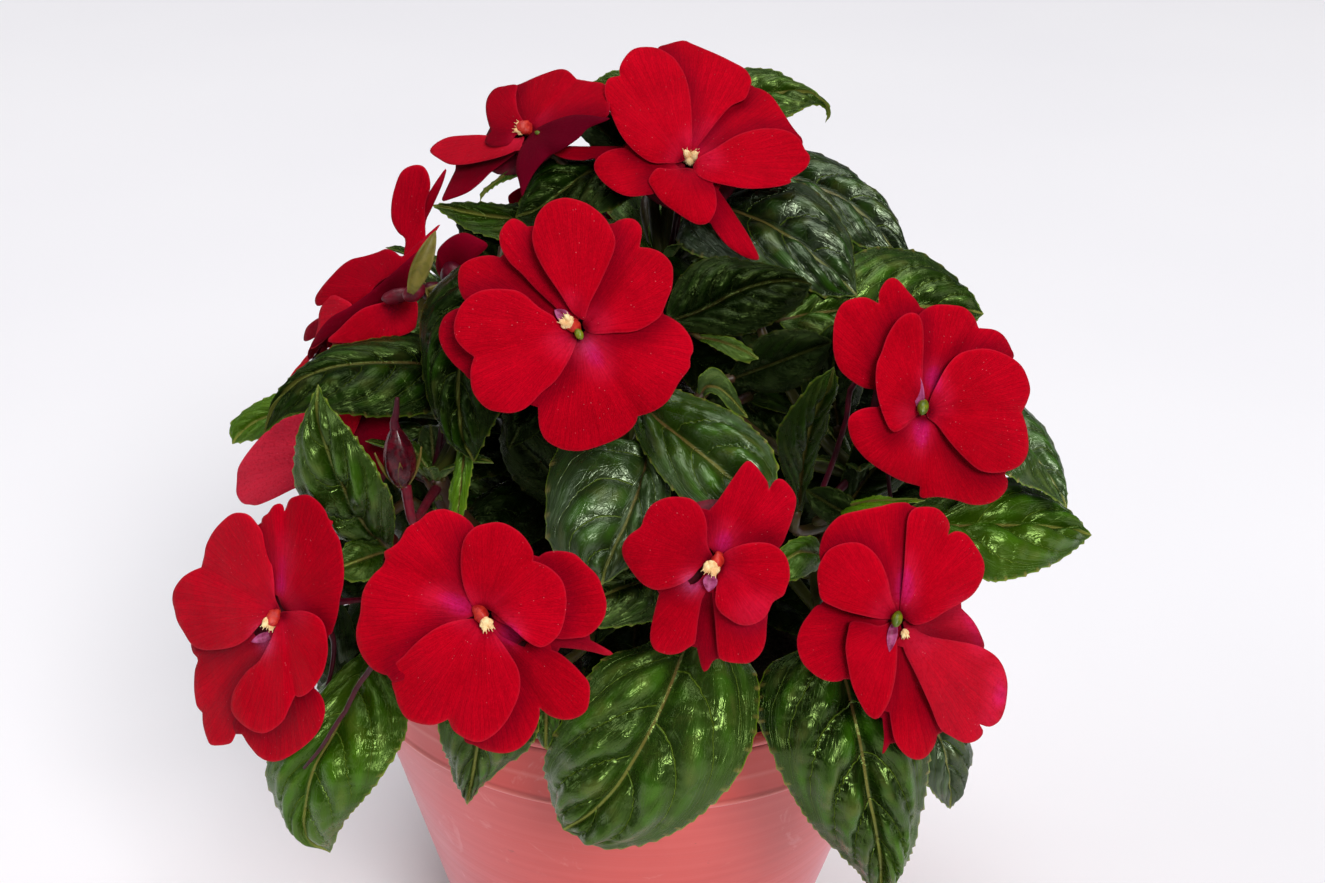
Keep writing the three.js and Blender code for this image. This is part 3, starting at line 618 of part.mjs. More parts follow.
// Turns a solid made in a plane into that plane's place in space.
function turned(solid, o, r, u, n) {
  const g = geometryOf(solid);
  g.applyMatrix4(new THREE.Matrix4().makeBasis(r, u, n).setPosition(o));
  return solidOf(g);
}

// A leaf blade: rows of [middle, left edge, right edge] from base to tip.
function blade(rows, thickness, grow) {
  const n = rows.length;
  const g = new THREE.BoxGeometry(2, n - 1, 1, 2, n - 1, 1);
  const p = g.attributes.position;
  for (let k = 0; k < p.count; k++) {
    const i = Math.round(p.getX(k) + 1);
    const j = Math.round(p.getY(k) + (n - 1) / 2);
    const top = p.getZ(k) > 0 ? 1 : -1;
    const row = rows[j].map(v);
    const along = v(rows[Math.min(j + 1, n - 1)][0]).sub(v(rows[Math.max(j - 1, 0)][0])).normalize();
    const ref = j === n - 1 ? rows[j - 1].map(v) : row;
    const side = ref[2].clone().sub(ref[1]).normalize();
    const normal = side.clone().cross(along).normalize();
    let q = row[[1, 0, 2][i]].clone();
    if (j === n - 1) q.addScaledVector(side, (i - 1) * 0.7);
    q.addScaledVector(side, (i - 1) * grow);
    if (j === n - 1) q.addScaledVector(along, grow);
    q.addScaledVector(normal, (top * thickness) / 2);
    p.setXYZ(k, q.x, q.y, q.z);
  }
  return solidOf(g);
}

function ball(centre, rx, rz, axis, w = 7, h = 4) {
  const g = new THREE.SphereGeometry(1, w, h);
  g.rotateX(Math.PI / 2);
  g.scale(rx, rx, rz);
  const q = new THREE.Quaternion().setFromUnitVectors(new THREE.Vector3(0, 0, 1), axis);
  g.applyQuaternion(q);
  g.translate(centre.x, centre.y, centre.z);
  return solidOf(g);
}

// ------------------------------------------------------------ pot and soil
function potSolid() {
  const z0 = COLLAR_Z;
  const outer = (z) => BASE_RADIUS + (BODY_TOP_RADIUS - BASE_RADIUS) * (z / z0);
  const profile = [
    [0, 0], [BASE_RADIUS - 1.2, 0], [BASE_RADIUS, 1.2],
    [outer(z0 - 0.4), z0 - 0.4], [COLLAR_RADIUS + 0.3, z0], [COLLAR_RADIUS + 0.4, z0 + 1.2],
    [COLLAR_RADIUS, z0 + 1.8], [COLLAR_RADIUS + 1.2, z0 + 15.5],
    [LIP_RADIUS, z0 + 16.6], [LIP_RADIUS - 0.6, POT_HEIGHT],
    [LIP_RADIUS - 2.8, POT_HEIGHT],
    [COLLAR_RADIUS - 1.6, z0 - 0.6], [outer(z0 - 4) - WALL, z0 - 4],
    [outer(FLOOR) - WALL, FLOOR], [0, FLOOR],
  ].map((q) => new THREE.Vector2(q[0], q[1]));
  const g = new THREE.LatheGeometry(profile, POT_SIDES);
  g.rotateX(Math.PI / 2);
  let s = solidOf(g);
  for (let i = 0; i < DRAIN_HOLES; i++) {
    const a = (i / DRAIN_HOLES) * Math.PI * 2 + 0.3;
    const c = new THREE.CylinderGeometry(DRAIN_HOLE_RADIUS, DRAIN_HOLE_RADIUS, 12, 10);
    c.rotateX(Math.PI / 2);
    c.translate(DRAIN_HOLE_CIRCLE * Math.cos(a), DRAIN_HOLE_CIRCLE * Math.sin(a), 0);
    s = s.subtract(solidOf(c));
  }
  return s;
}

function soilSolid() {
  const z0 = COLLAR_Z;
  const wall = (z) => BASE_RADIUS + (BODY_TOP_RADIUS - BASE_RADIUS) * (z / z0) - WALL - GAP;
  const profile = [
    [0, FLOOR + GAP], [wall(FLOOR + GAP) - 0.2, FLOOR + GAP], [wall(z0 - 5) - 0.2, z0 - 5],
    [wall(z0 - 1), SOIL_TOP - 2.4], [wall(z0 - 1) - 3, SOIL_TOP - 0.6],
    [30, SOIL_TOP - 0.2], [0, SOIL_TOP],
  ].map((q) => new THREE.Vector2(q[0], q[1]));
  const g = new THREE.LatheGeometry(profile, POT_SIDES);
  g.rotateX(Math.PI / 2);
  return solidOf(g);
}

// ---------------------------------------------------------------- the plant
function stalkPath(from, away, to, lead) {
  const a = at(from, away, lead);
  const b = v(to);
  const mid = a.clone().lerp(b, 0.5);
  const sag = a.distanceTo(b) * 0.12;
  mid.z -= sag;
  return [from, a, mid, b];
}

function flowerSolid(f, grow) {
  const n = v(f.n), P = v(f.P);
  const back = n.clone().negate();
  const parts = [];
  if (f.splayed) {
    for (const [o, r, u, nn, outline] of f.lobes) {
      const lobe = turned(plate(outline, PETAL_THICKNESS + 2 * grow, grow), v(o), v(r), v(u), v(nn));
      const b = lobe.boundingBox();
      const c = new THREE.Vector3(b.min[0] + b.max[0], b.min[1] + b.max[1], b.min[2] + b.max[2]).multiplyScalar(0.5);
      parts.push(lobe, bar([at(P, n, -1.5), c], FLOWER_STALK_RADIUS + grow, 1, 5));
    }
  } else {
    const [o, r, u, nn] = f.lobes[0];
    const cup = new THREE.CylinderGeometry(THROAT_RADIUS + grow, 1.6 + grow, 6 + grow, 6);
    cup.rotateX(Math.PI / 2);
    cup.translate(0, 0, -3 - grow / 2);
    const face = f.lobes.map((q) => plate(q[4], PETAL_THICKNESS + 2 * grow, grow));
    parts.push(turned(join([...face, solidOf(cup)]), v(o), v(r), v(u), v(nn)));
  }
  if (f.splayed) parts.push(ball(at(P, n, -1.5), THROAT_RADIUS + grow, 4.2 + grow, n));
  const stalk = f.stalk ? f.stalk.map(v) : stalkPath(at(P, n, -5), back, f.att, 4);
  parts.push(bar(stalk, FLOWER_STALK_RADIUS + grow, 5, 5));
  if (f.spur) parts.push(bar(f.spur.map(v), SPUR_RADIUS + grow, 4, 5));
  return join(parts);
}

function leafSolid(l, grow) {
  const m0 = v(l.rows[0][0]), m1 = v(l.rows[1][0]);
  const away = m0.clone().sub(m1).normalize();
  const b = blade(l.rows, LEAF_THICKNESS + 2 * grow, grow);
  const stalk = bar(stalkPath(at(m0, away, -0.8), away, l.att, 6), LEAF_STALK_RADIUS + grow, 4, 5);
  return b.add(stalk);
}

function budSolid(b, grow) {
  const path = b.path.map(v);
  const axis = path[5].clone().sub(path[3]).normalize();
  const centre = path[4].clone().lerp(path[3], 0.25);
  const body = ball(centre, 3.9 + grow, 7.4 + grow, axis);
  const top = bar([at(centre, axis, 5), path[6], path[7]], SPUR_RADIUS + grow, 4);
  const stalk = bar([at(centre, axis, -5), path[2], path[1], path[0], v(b.att)], FLOWER_STALK_RADIUS + 0.2 + grow, 6);
  return join([body, top, stalk]);
}

// Largest single body of a cut solid.
function mainBody(s) {
  const list = s.decompose();
  list.sort((a, b) => b.volume() - a.volume());
  return list[0];
}

function boxesMeet(a, b) {
  const p = a.boundingBox(), q = b.boundingBox();
  for (let i = 0; i < 3; i++) if (p.min[i] > q.max[i] || q.min[i] > p.max[i]) return false;
  return true;
}

const group = new THREE.Group();
const placed = [];

function place(name, thin, fat, color, roughness) {
  let s = thin;
  for (const q of placed) if (boxesMeet(s, q.fat)) s = s.subtract(q.fat);
  s = mainBody(s);
  placed.push({ name, fat });
  const mesh = new THREE.Mesh(geometryOf(s), new THREE.MeshStandardMaterial({ color, roughness, metalness: 0 }));
  mesh.name = name;
  group.add(mesh);
}

const LEAF_GREEN = 0x35602a, STEM_RED = 0x6a2a2c, PETAL_RED = 0xc4081c, POT = 0xcb6358, SOIL = 0x33241b;

const pot = potSolid();
place('pot', pot, pot, POT, 0.5);
const soil = soilSolid();
place('potting_soil', soil, soil, SOIL, 1);
for (const s of STEMS) {
  const pts = s.pts.map(v);
  place(s.name, bar(pts, STEM_RADIUS, 6, 7), bar(pts, STEM_RADIUS + GAP, 6, 7), STEM_RED, 0.5);
}
for (const f of FLOWERS) place(f.name, flowerSolid(f, 0), flowerSolid(f, GAP), PETAL_RED, 0.6);
place('flower_bud', budSolid(BUD, 0), budSolid(BUD, GAP), 0x5a0a20, 0.5);
for (const l of LEAVES) place(l.name, leafSolid(l, 0), leafSolid(l, GAP), LEAF_GREEN, 0.45);

export default group;
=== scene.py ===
"""Busy lizzie in its pot. Metres in the scene, millimetres in the tables below."""
import math

import bmesh
import bpy
import numpy as np
from mathutils import Matrix, Vector
from mathutils.geometry import delaunay_2d_cdt


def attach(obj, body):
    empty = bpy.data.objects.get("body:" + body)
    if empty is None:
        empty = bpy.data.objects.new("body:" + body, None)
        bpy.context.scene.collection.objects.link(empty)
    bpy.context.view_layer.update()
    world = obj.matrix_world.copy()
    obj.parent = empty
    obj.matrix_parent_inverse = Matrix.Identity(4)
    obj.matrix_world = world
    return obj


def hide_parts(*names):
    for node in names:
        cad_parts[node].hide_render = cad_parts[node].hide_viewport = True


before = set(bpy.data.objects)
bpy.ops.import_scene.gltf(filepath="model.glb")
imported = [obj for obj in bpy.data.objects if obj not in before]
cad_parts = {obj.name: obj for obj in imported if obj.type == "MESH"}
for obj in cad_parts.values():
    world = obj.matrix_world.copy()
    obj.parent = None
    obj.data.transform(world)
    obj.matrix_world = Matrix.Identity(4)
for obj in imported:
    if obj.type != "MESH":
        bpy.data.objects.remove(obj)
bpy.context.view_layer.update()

CAM = np.array([5.4, -439.4, 376.1])  # the viewer's place, millimetres
LAYER = 2.1  # spreads the petals' layers
WORLD_LIGHT = 0.08
LIGHTS = [
    ('key', (1.6, -4.5, 3.6), (0.0, -0.05, 0.17), (2.0, 1.6), 270.0, (1.0, 0.985, 0.97)),
    ('top', (0.2, 0.5, 4.4), (0.0, 0.0, 0.1), (3.6, 3.0), 130.0, (0.985, 0.985, 1.0)),
    ('fill', (-3.8, -1.0, 2.6), (0.0, -0.05, 0.15), (2.4, 2.0), 34.0, (0.95, 0.97, 1.0)),
]

# Flowers: throat P, face normal n, petal lobes as outlines in their plane.
FLOWERS = [
    {"name":"flower_1","P":[-72.61,-84,160.62],"n":[-0.5455,-0.7791,0.309],"g":[0.1845,-0.8404,0.5096],"own":False,"stalk":[[-67.4,-76.6,157.7],[-65.8,-74.3,156.8],[-51.2,-57.1,150.7],[-36.6,-39.9,155.4]],"spur":[[-68,-77.4,158],[-66.6,-75.4,154.2],[-64.3,-72.2,146.2],[-65.5,-73.8,137.2],[-67.8,-77.1,133.2]],"lobes":[{"petal":4,"layer":-1.8,"org":[-72.61,-84,160.62],"r":[0.8313,-0.5558,0],"u":[0.1362,0.2036,0.9695],"pts":[[1.1,-5.2],[6.6,-7.5],[12,-10.3],[11.3,-13],[12.9,-13.8],[14.5,-15.2],[15.2,-17.6],[14.6,-20.9],[12.9,-24.2],[9.6,-28.2],[5.6,-31.9],[2.4,-33.6],[-1.1,-33.8],[-4.2,-32.4],[-6.2,-30.9],[-7.7,-29.1],[-6.9,-22.4],[-3.4,-13.2]],"dark":0.05},{"petal":3,"layer":-1.1,"org":[-72.61,-84,160.62],"r":[0.7971,-0.6039,0],"u":[0.1519,0.2005,0.9678],"pts":[[-1,-2.8],[-3.7,-6.2],[-8.6,-9.6],[-11.9,-12],[-16.2,-14.2],[-21,-16.2],[-25.1,-16.8],[-24.5,-18.5],[-22.7,-19.4],[-23.2,-22.2],[-22.8,-25.8],[-22.1,-28.1],[-21.1,-30],[-19.3,-30.8,1],[-18.6,-33.3],[-16.8,-35.9],[-15,-36.8],[-10,-34.5],[-8.7,-32.6],[-8,-30],[-7.5,-27.1],[-5.8,-19.9],[-2.6,-11.9],[-0.1,-6]],"pink":0.05},{"petal":1,"layer":-0.4,"org":[-72.61,-84,160.62],"r":[0.8123,-0.5832,0],"u":[0.1517,0.2112,0.9656],"pts":[[0.4,0.8],[-2.2,3.9],[-4.1,7.7],[-6.2,12.5],[-8.4,15.1],[-8.9,17.5],[-7.4,19.1],[-6.3,21],[-4.7,22.1],[-3.5,22],[-3,20.9,1],[-2.6,21.9],[-1.9,23.9],[0.4,25.4],[3.1,26.3],[6.1,25.7],[8.3,24.4],[9.4,23.1],[10.8,23.1],[10.4,22.1],[12.8,20.1],[14.1,17.8],[15.3,14.3],[15.7,11],[15.4,7.9],[15.4,4.9],[14.9,1.7],[13.9,-0.4],[8.6,-0.8],[4,0.5]],"dark":0.14},{"petal":2,"layer":0.4,"org":[-72.61,-84,160.62],"r":[0.7976,-0.6032,0],"u":[0.1871,0.2473,0.9507],"pts":[[-0.3,-0.1],[-2.4,2.2],[-3.5,5.4],[-5.3,9.1],[-7.3,12],[-9.4,14.2],[-11.2,15.3],[-13.6,16.3],[-16,16.2],[-18.6,15.2],[-20.9,13.1],[-23.5,9.6],[-24.8,6.2],[-24.9,3.9],[-25.2,1.1,1],[-27.6,-0.6],[-30.3,-3.1],[-32.1,-6.3],[-32.1,-8.8],[-31,-10.5],[-29.5,-12.7],[-26.8,-14.5],[-23.7,-16.2],[-19.9,-15.9],[-14.7,-13.8],[-11.1,-11.8],[-8.1,-9.1],[-6,-6.1],[-4,-3.4],[-2.3,-1.7]],"pink":0.06},{"petal":5,"layer":1.1,"org":[-72.61,-84,160.62],"r":[0.8275,-0.5615,0],"u":[0.1464,0.2157,0.9654],"pts":[[-0.2,-0.5],[2.7,0.9],[6.4,2.1],[9.8,2.1],[11.9,0.9],[13.3,-2.1],[13.8,-5],[13.4,-8.6],[12.4,-11],[11.6,-12.6],[10,-14.7],[8,-16.3],[6.9,-16.3,1],[5.7,-19.6],[4.6,-22.7],[2.2,-25.6],[-0.7,-27.6],[-4.4,-28],[-8.1,-27.1],[-10.2,-25.4],[-10.2,-21.9],[-8.9,-18.8],[-7.1,-15.8],[-4.2,-12.5],[-2.3,-8.3],[-1,-4.3]]}],"parts":[{"kind":"body","c":[-74.16,-83.97,159.11],"d":[-0.165,-0.885,-0.435],"l":5.4,"w":2.8},{"kind":"cap","c":[-74.97,-85.45,158.29],"d":[-0.272,-0.827,-0.493],"l":2.6,"w":2.7},{"kind":"scale","c":[-76.87,-84.46,154.23],"d":[-0.898,-0.394,-0.196],"l":4.6,"w":2.2}],"spots":[[-4.04,-7.77,3.71,0,1],[-3.77,-7.68,2.12,1,0.55],[-1.23,5.28,2.92,0,0.8],[-1.24,10.29,3.18,0,0.7],[-1.74,14.91,2.92,0,0.35],[5.12,1.5,3.71,0,0.35]]},
    {"name":"flower_2","P":[-27.83,-113,178.5],"n":[-0.1229,-0.8744,0.4695],"g":[0.0868,-0.8522,0.5159],"own":False,"stalk":[[-26.7,-104.7,174],[-26.3,-102.1,172.6],[-14.7,-78.9,165.6],[-3.1,-55.7,171]],"spur":[[-26.8,-105.6,174.5],[-30.4,-102.5,169.9],[-46.1,-98,163.1],[-54.6,-94,151],[-56.8,-94,147],[-58.4,-94,143.3],[-60.9,-94,139.3],[-64.2,-93.5,133.3],[-68.3,-92,127.1]],"lobes":[{"petal":2,"layer":-2.4,"org":[-27.83,-113,178.5],"r":[0.9966,-0.0821,0],"u":[0.0376,0.457,0.8887],"pts":[[0.6,-0.3],[6.3,-2],[12.9,-3.7],[15.2,-3.7],[18.8,-3.1],[20.3,-3.1],[23.2,-4.3],[25.6,-5.6],[24.5,-6.1],[22,-5.7],[18.9,-5.3],[16.1,-5.2],[11.3,-5.1],[5.4,-3.6],[0.7,-1.7]],"dark":0.25,"pink":0.1},{"petal":4,"layer":-1.6,"org":[-27.83,-113,178.5],"r":[0.9956,-0.0936,0],"u":[0.0392,0.4171,0.908],"pts":[[0.7,-1.3],[3.7,-3.7],[6.1,-4.7],[8.4,-5.5],[12.1,-5.4],[15,-6.1],[17.8,-8],[19.6,-9.6],[21.3,-11.5],[21.6,-14.2],[21.2,-16.7],[19.4,-18.3],[17,-18.9],[14.2,-18.4],[12.1,-17,1],[12.2,-18.5],[11.7,-20.7],[10.2,-23.5],[8.2,-25.4],[5.5,-26.3],[2.2,-26],[0.1,-25.2],[-2.3,-23.7],[-1.6,-14.5],[-0.5,-6.7]]},{"petal":2,"layer":-0.9,"org":[-27.83,-113,178.5],"r":[0.9948,-0.1021,0],"u":[0.049,0.4773,0.8774],"pts":[[1.8,-0.2],[3,3.1],[5.6,7.1],[8.3,10],[10.4,12.4],[12.1,13.1],[14.3,13.3],[16.7,12.9],[18.9,11.2],[21.4,9.1],[22.7,6.5],[23.5,4.1],[23.3,1.5],[22.1,-0.7],[20.3,-2.4],[18.5,-2.9],[14.5,-3.4],[8.3,-2.6]]},{"petal":1,"layer":0.0,"org":[-27.83,-113,178.5],"r":[0.9843,-0.1767,0],"u":[0.0845,0.4708,0.8782],"pts":[[-1,0.5],[-2.7,1.4],[-4.4,4.3],[-5.4,8.9],[-5.8,12.1],[-4.9,14.6],[-3.9,16.4],[-4.8,17.4],[-6.5,18.4],[-9.2,19.1],[-10.7,19.1],[-13,18.2],[-14.6,16.5],[-16.8,14.8],[-17.9,12.3],[-19.3,10.8],[-20.8,9.7],[-20.4,8.4,1],[-20.8,7],[-22.4,5.1],[-23.7,2.8],[-24.2,0.4],[-24.1,-2.5],[-24.5,-5.8],[-24,-8.4],[-22.4,-11.1],[-20.2,-12.9],[-17.8,-13.6],[-16.2,-13.2],[-15.9,-11.1],[-14.6,-9.8],[-12.2,-6.6],[-8.8,-3.5],[-5.3,-1.8],[-2.3,-0.7]]},{"petal":5,"layer":0.7,"org":[-27.83,-113,178.5],"r":[0.9871,-0.1598,0],"u":[0.0654,0.4038,0.9125],"pts":[[-0.9,-0.9],[-5.3,-1.7],[-8.9,-3.5],[-12.4,-6.6],[-14.9,-9.7],[-16.1,-11],[-16.5,-13.4],[-16.6,-15.1],[-15.8,-17],[-15,-19],[-13.4,-21.2],[-11,-22],[-8.4,-22.1],[-6.5,-21.5],[-5,-20.6,1],[-3.8,-22.5],[-1.8,-23.6],[0.2,-24.2],[2,-24],[4.2,-22.4],[6.1,-20],[7.4,-17.2],[8.3,-14.2],[8.3,-11.5],[7.5,-9.1],[5.7,-6.7],[3.7,-4.4],[1.6,-2.5]]},{"petal":2,"layer":1.1,"org":[-27.83,-113,178.5],"r":[0.9885,-0.151,0],"u":[0.069,0.4519,0.8894],"pts":[[-1.5,1],[-2.5,1.8],[-4,4.4],[-5,7.5],[-5.4,11.3],[-4.9,14.2],[-3.2,16.3],[-1.1,17.2],[1.2,17.7],[3.4,17.3],[5.8,16],[7.5,14.3],[8.5,12.7],[8.6,11.2,1],[10.4,10.8],[12.6,9.7],[14.6,7.8],[15.6,4.9],[15.7,1.6],[15.1,-1.6],[13.6,-3.7],[11.6,-4.9],[9.2,-4.2],[6.5,-2.4],[4,-0.7],[2.1,0.6],[0.1,1.3]]}],"parts":[{"kind":"body","c":[-28.36,-113.28,179.09],"d":[0.485,-0.808,-0.336],"l":5.2,"w":2.9},{"kind":"cap","c":[-26.82,-115.84,178.04],"d":[0.376,-0.746,-0.55],"l":2.5,"w":2.3}],"spots":[[5.12,-2.73,3.18,0,0.9],[-4.18,0.92,3.45,0,0.75],[-7.81,2.1,3.18,0,0.55],[-10.98,2.55,2.65,0,0.3],[6.6,-4.1,2.12,0,0.5]]},
    {"name":"flower_3","P":[16.15,-103,185.5],"n":[0,-0.9272,0.3746],"g":[-0.0278,-0.8697,0.4928],"own":False,"stalk":[[16.1,-94.2,181.9],[16.1,-91.4,180.8],[6.6,-74.4,174.2],[-3,-57.4,177]],"spur":[[16.1,-95.1,182.3],[16.1,-92.8,178.4],[16.1,-88.8,170.4],[16.1,-90.8,161.4],[16.1,-94.8,157.4]],"lobes":[{"petal":4,"layer":-2.0,"org":[16.15,-103,185.5],"r":[1,-0.0092,0],"u":[0.0027,0.2928,0.9562],"pts":[[-0.8,-0.6],[-2.2,-3],[-3.3,-5.8],[-3.8,-9.4],[-3.7,-12.4],[-3.4,-15.4],[-2.7,-18.4],[-2,-21],[-1.4,-22],[-0.5,-21.3],[0.1,-19.9],[1.4,-18.6],[2.2,-15.2],[1.2,-8.3],[0.4,-1.4]],"dark":0.25},{"petal":1,"layer":-1.2,"org":[16.15,-103,185.5],"r":[1,0,0],"u":[0,0.3746,0.9272],"pts":[[0.1,1.4],[-1.9,4.4],[-2.7,8.3],[0.2,12.2],[3.2,16.9],[5.2,19.7],[6.5,19.9],[8.3,18],[9.8,16],[10,14.6,1],[11.1,16.4],[12.4,16.8],[14,15.5],[15.4,13],[14.9,9.7],[13.7,6],[12.4,3.4],[8.7,1.2],[4.8,0.3],[1.3,0.6]],"dark":0.1},{"petal":4,"layer":-0.9,"org":[16.15,-103,185.5],"r":[0.9993,-0.0378,0],"u":[0.012,0.318,0.948],"pts":[[-1.3,-1.6],[-3.5,-4.1],[-6.6,-4.8],[-10,-5.4],[-11.1,-8.8],[-11.9,-13],[-12,-15.8],[-11.1,-17.7],[-9.5,-18.4],[-8,-18.6],[-6,-18.1],[-4.2,-16.8],[-3.2,-15.9],[-2.8,-11.4],[-2.2,-7.4],[-1,-4.4]]},{"petal":5,"layer":-0.4,"org":[16.15,-103,185.5],"r":[0.9996,0.0268,0],"u":[-0.0084,0.3133,0.9496],"pts":[[-0.5,-2],[-0.5,-5.3],[0.2,-11.2],[0.7,-16.2],[1.2,-18.8],[2.8,-19.6],[5.3,-19.9],[7.2,-19.7],[9.1,-18.1],[10.1,-15.7],[10.3,-12.1],[10.2,-7.2],[6.9,-4.2],[2,-1.7]]},{"petal":3,"layer":0.5,"org":[16.15,-103,185.5],"r":[0.9998,-0.0178,0],"u":[0.0068,0.3799,0.925],"pts":[[-0.4,1.1],[-1.5,3.4],[-1.8,7.3],[-2.6,9.8],[-3.9,11.5],[-5.6,12.4],[-8.7,12.5],[-11,11.8],[-12.9,10.4],[-14,8.2],[-14.5,6.5],[-16.2,5.2],[-17.5,3.7],[-18,2.1],[-17.6,0.3],[-16.4,-1.6],[-14.4,-4],[-12.8,-5.1],[-11,-5.6],[-8.5,-5.2],[-6,-4.1],[-4.3,-2.9],[-2.9,-1.1],[-1.4,0.1]],"dark":0.1},{"petal":2,"layer":1.0,"org":[16.15,-103,185.5],"r":[0.9999,0.0165,0],"u":[-0.0061,0.3668,0.9303],"pts":[[1,0.2],[1.7,2],[3.8,3.2],[6.7,4],[9.6,4.1],[11.5,3.5],[13.1,2.2],[14.1,0.3],[14.4,-2.5],[13.8,-4.6],[13.3,-6],[11.8,-7,1],[11.2,-7.6],[10.1,-10],[8.6,-11.3],[6.7,-12],[4.7,-11.8],[2.8,-10.7],[1.2,-9.5],[0.2,-7.6],[0.3,-5.2],[0.6,-2.3]]}],"parts":[{"kind":"body","c":[16.5,-103.55,186.26],"d":[-0.282,-0.86,-0.425],"l":5.0,"w":2.6},{"kind":"cap","c":[15.34,-105.53,185.59],"d":[-0.366,-0.8,-0.476],"l":2.6,"w":3.0},{"kind":"scale","c":[15.25,-105.85,182.67],"d":[-0.152,-0.585,-0.797],"l":3.4,"w":3.0}],"spots":[[-4.13,-4.39,2.92,0,1],[-4.33,-4.2,1.59,1,0.6],[1.24,3.92,2.65,0,0.85],[1.93,6.85,2.39,0,0.4],[6.66,-9.75,4.24,0,0.5],[10.47,-8.09,3.18,0,0.35]]},
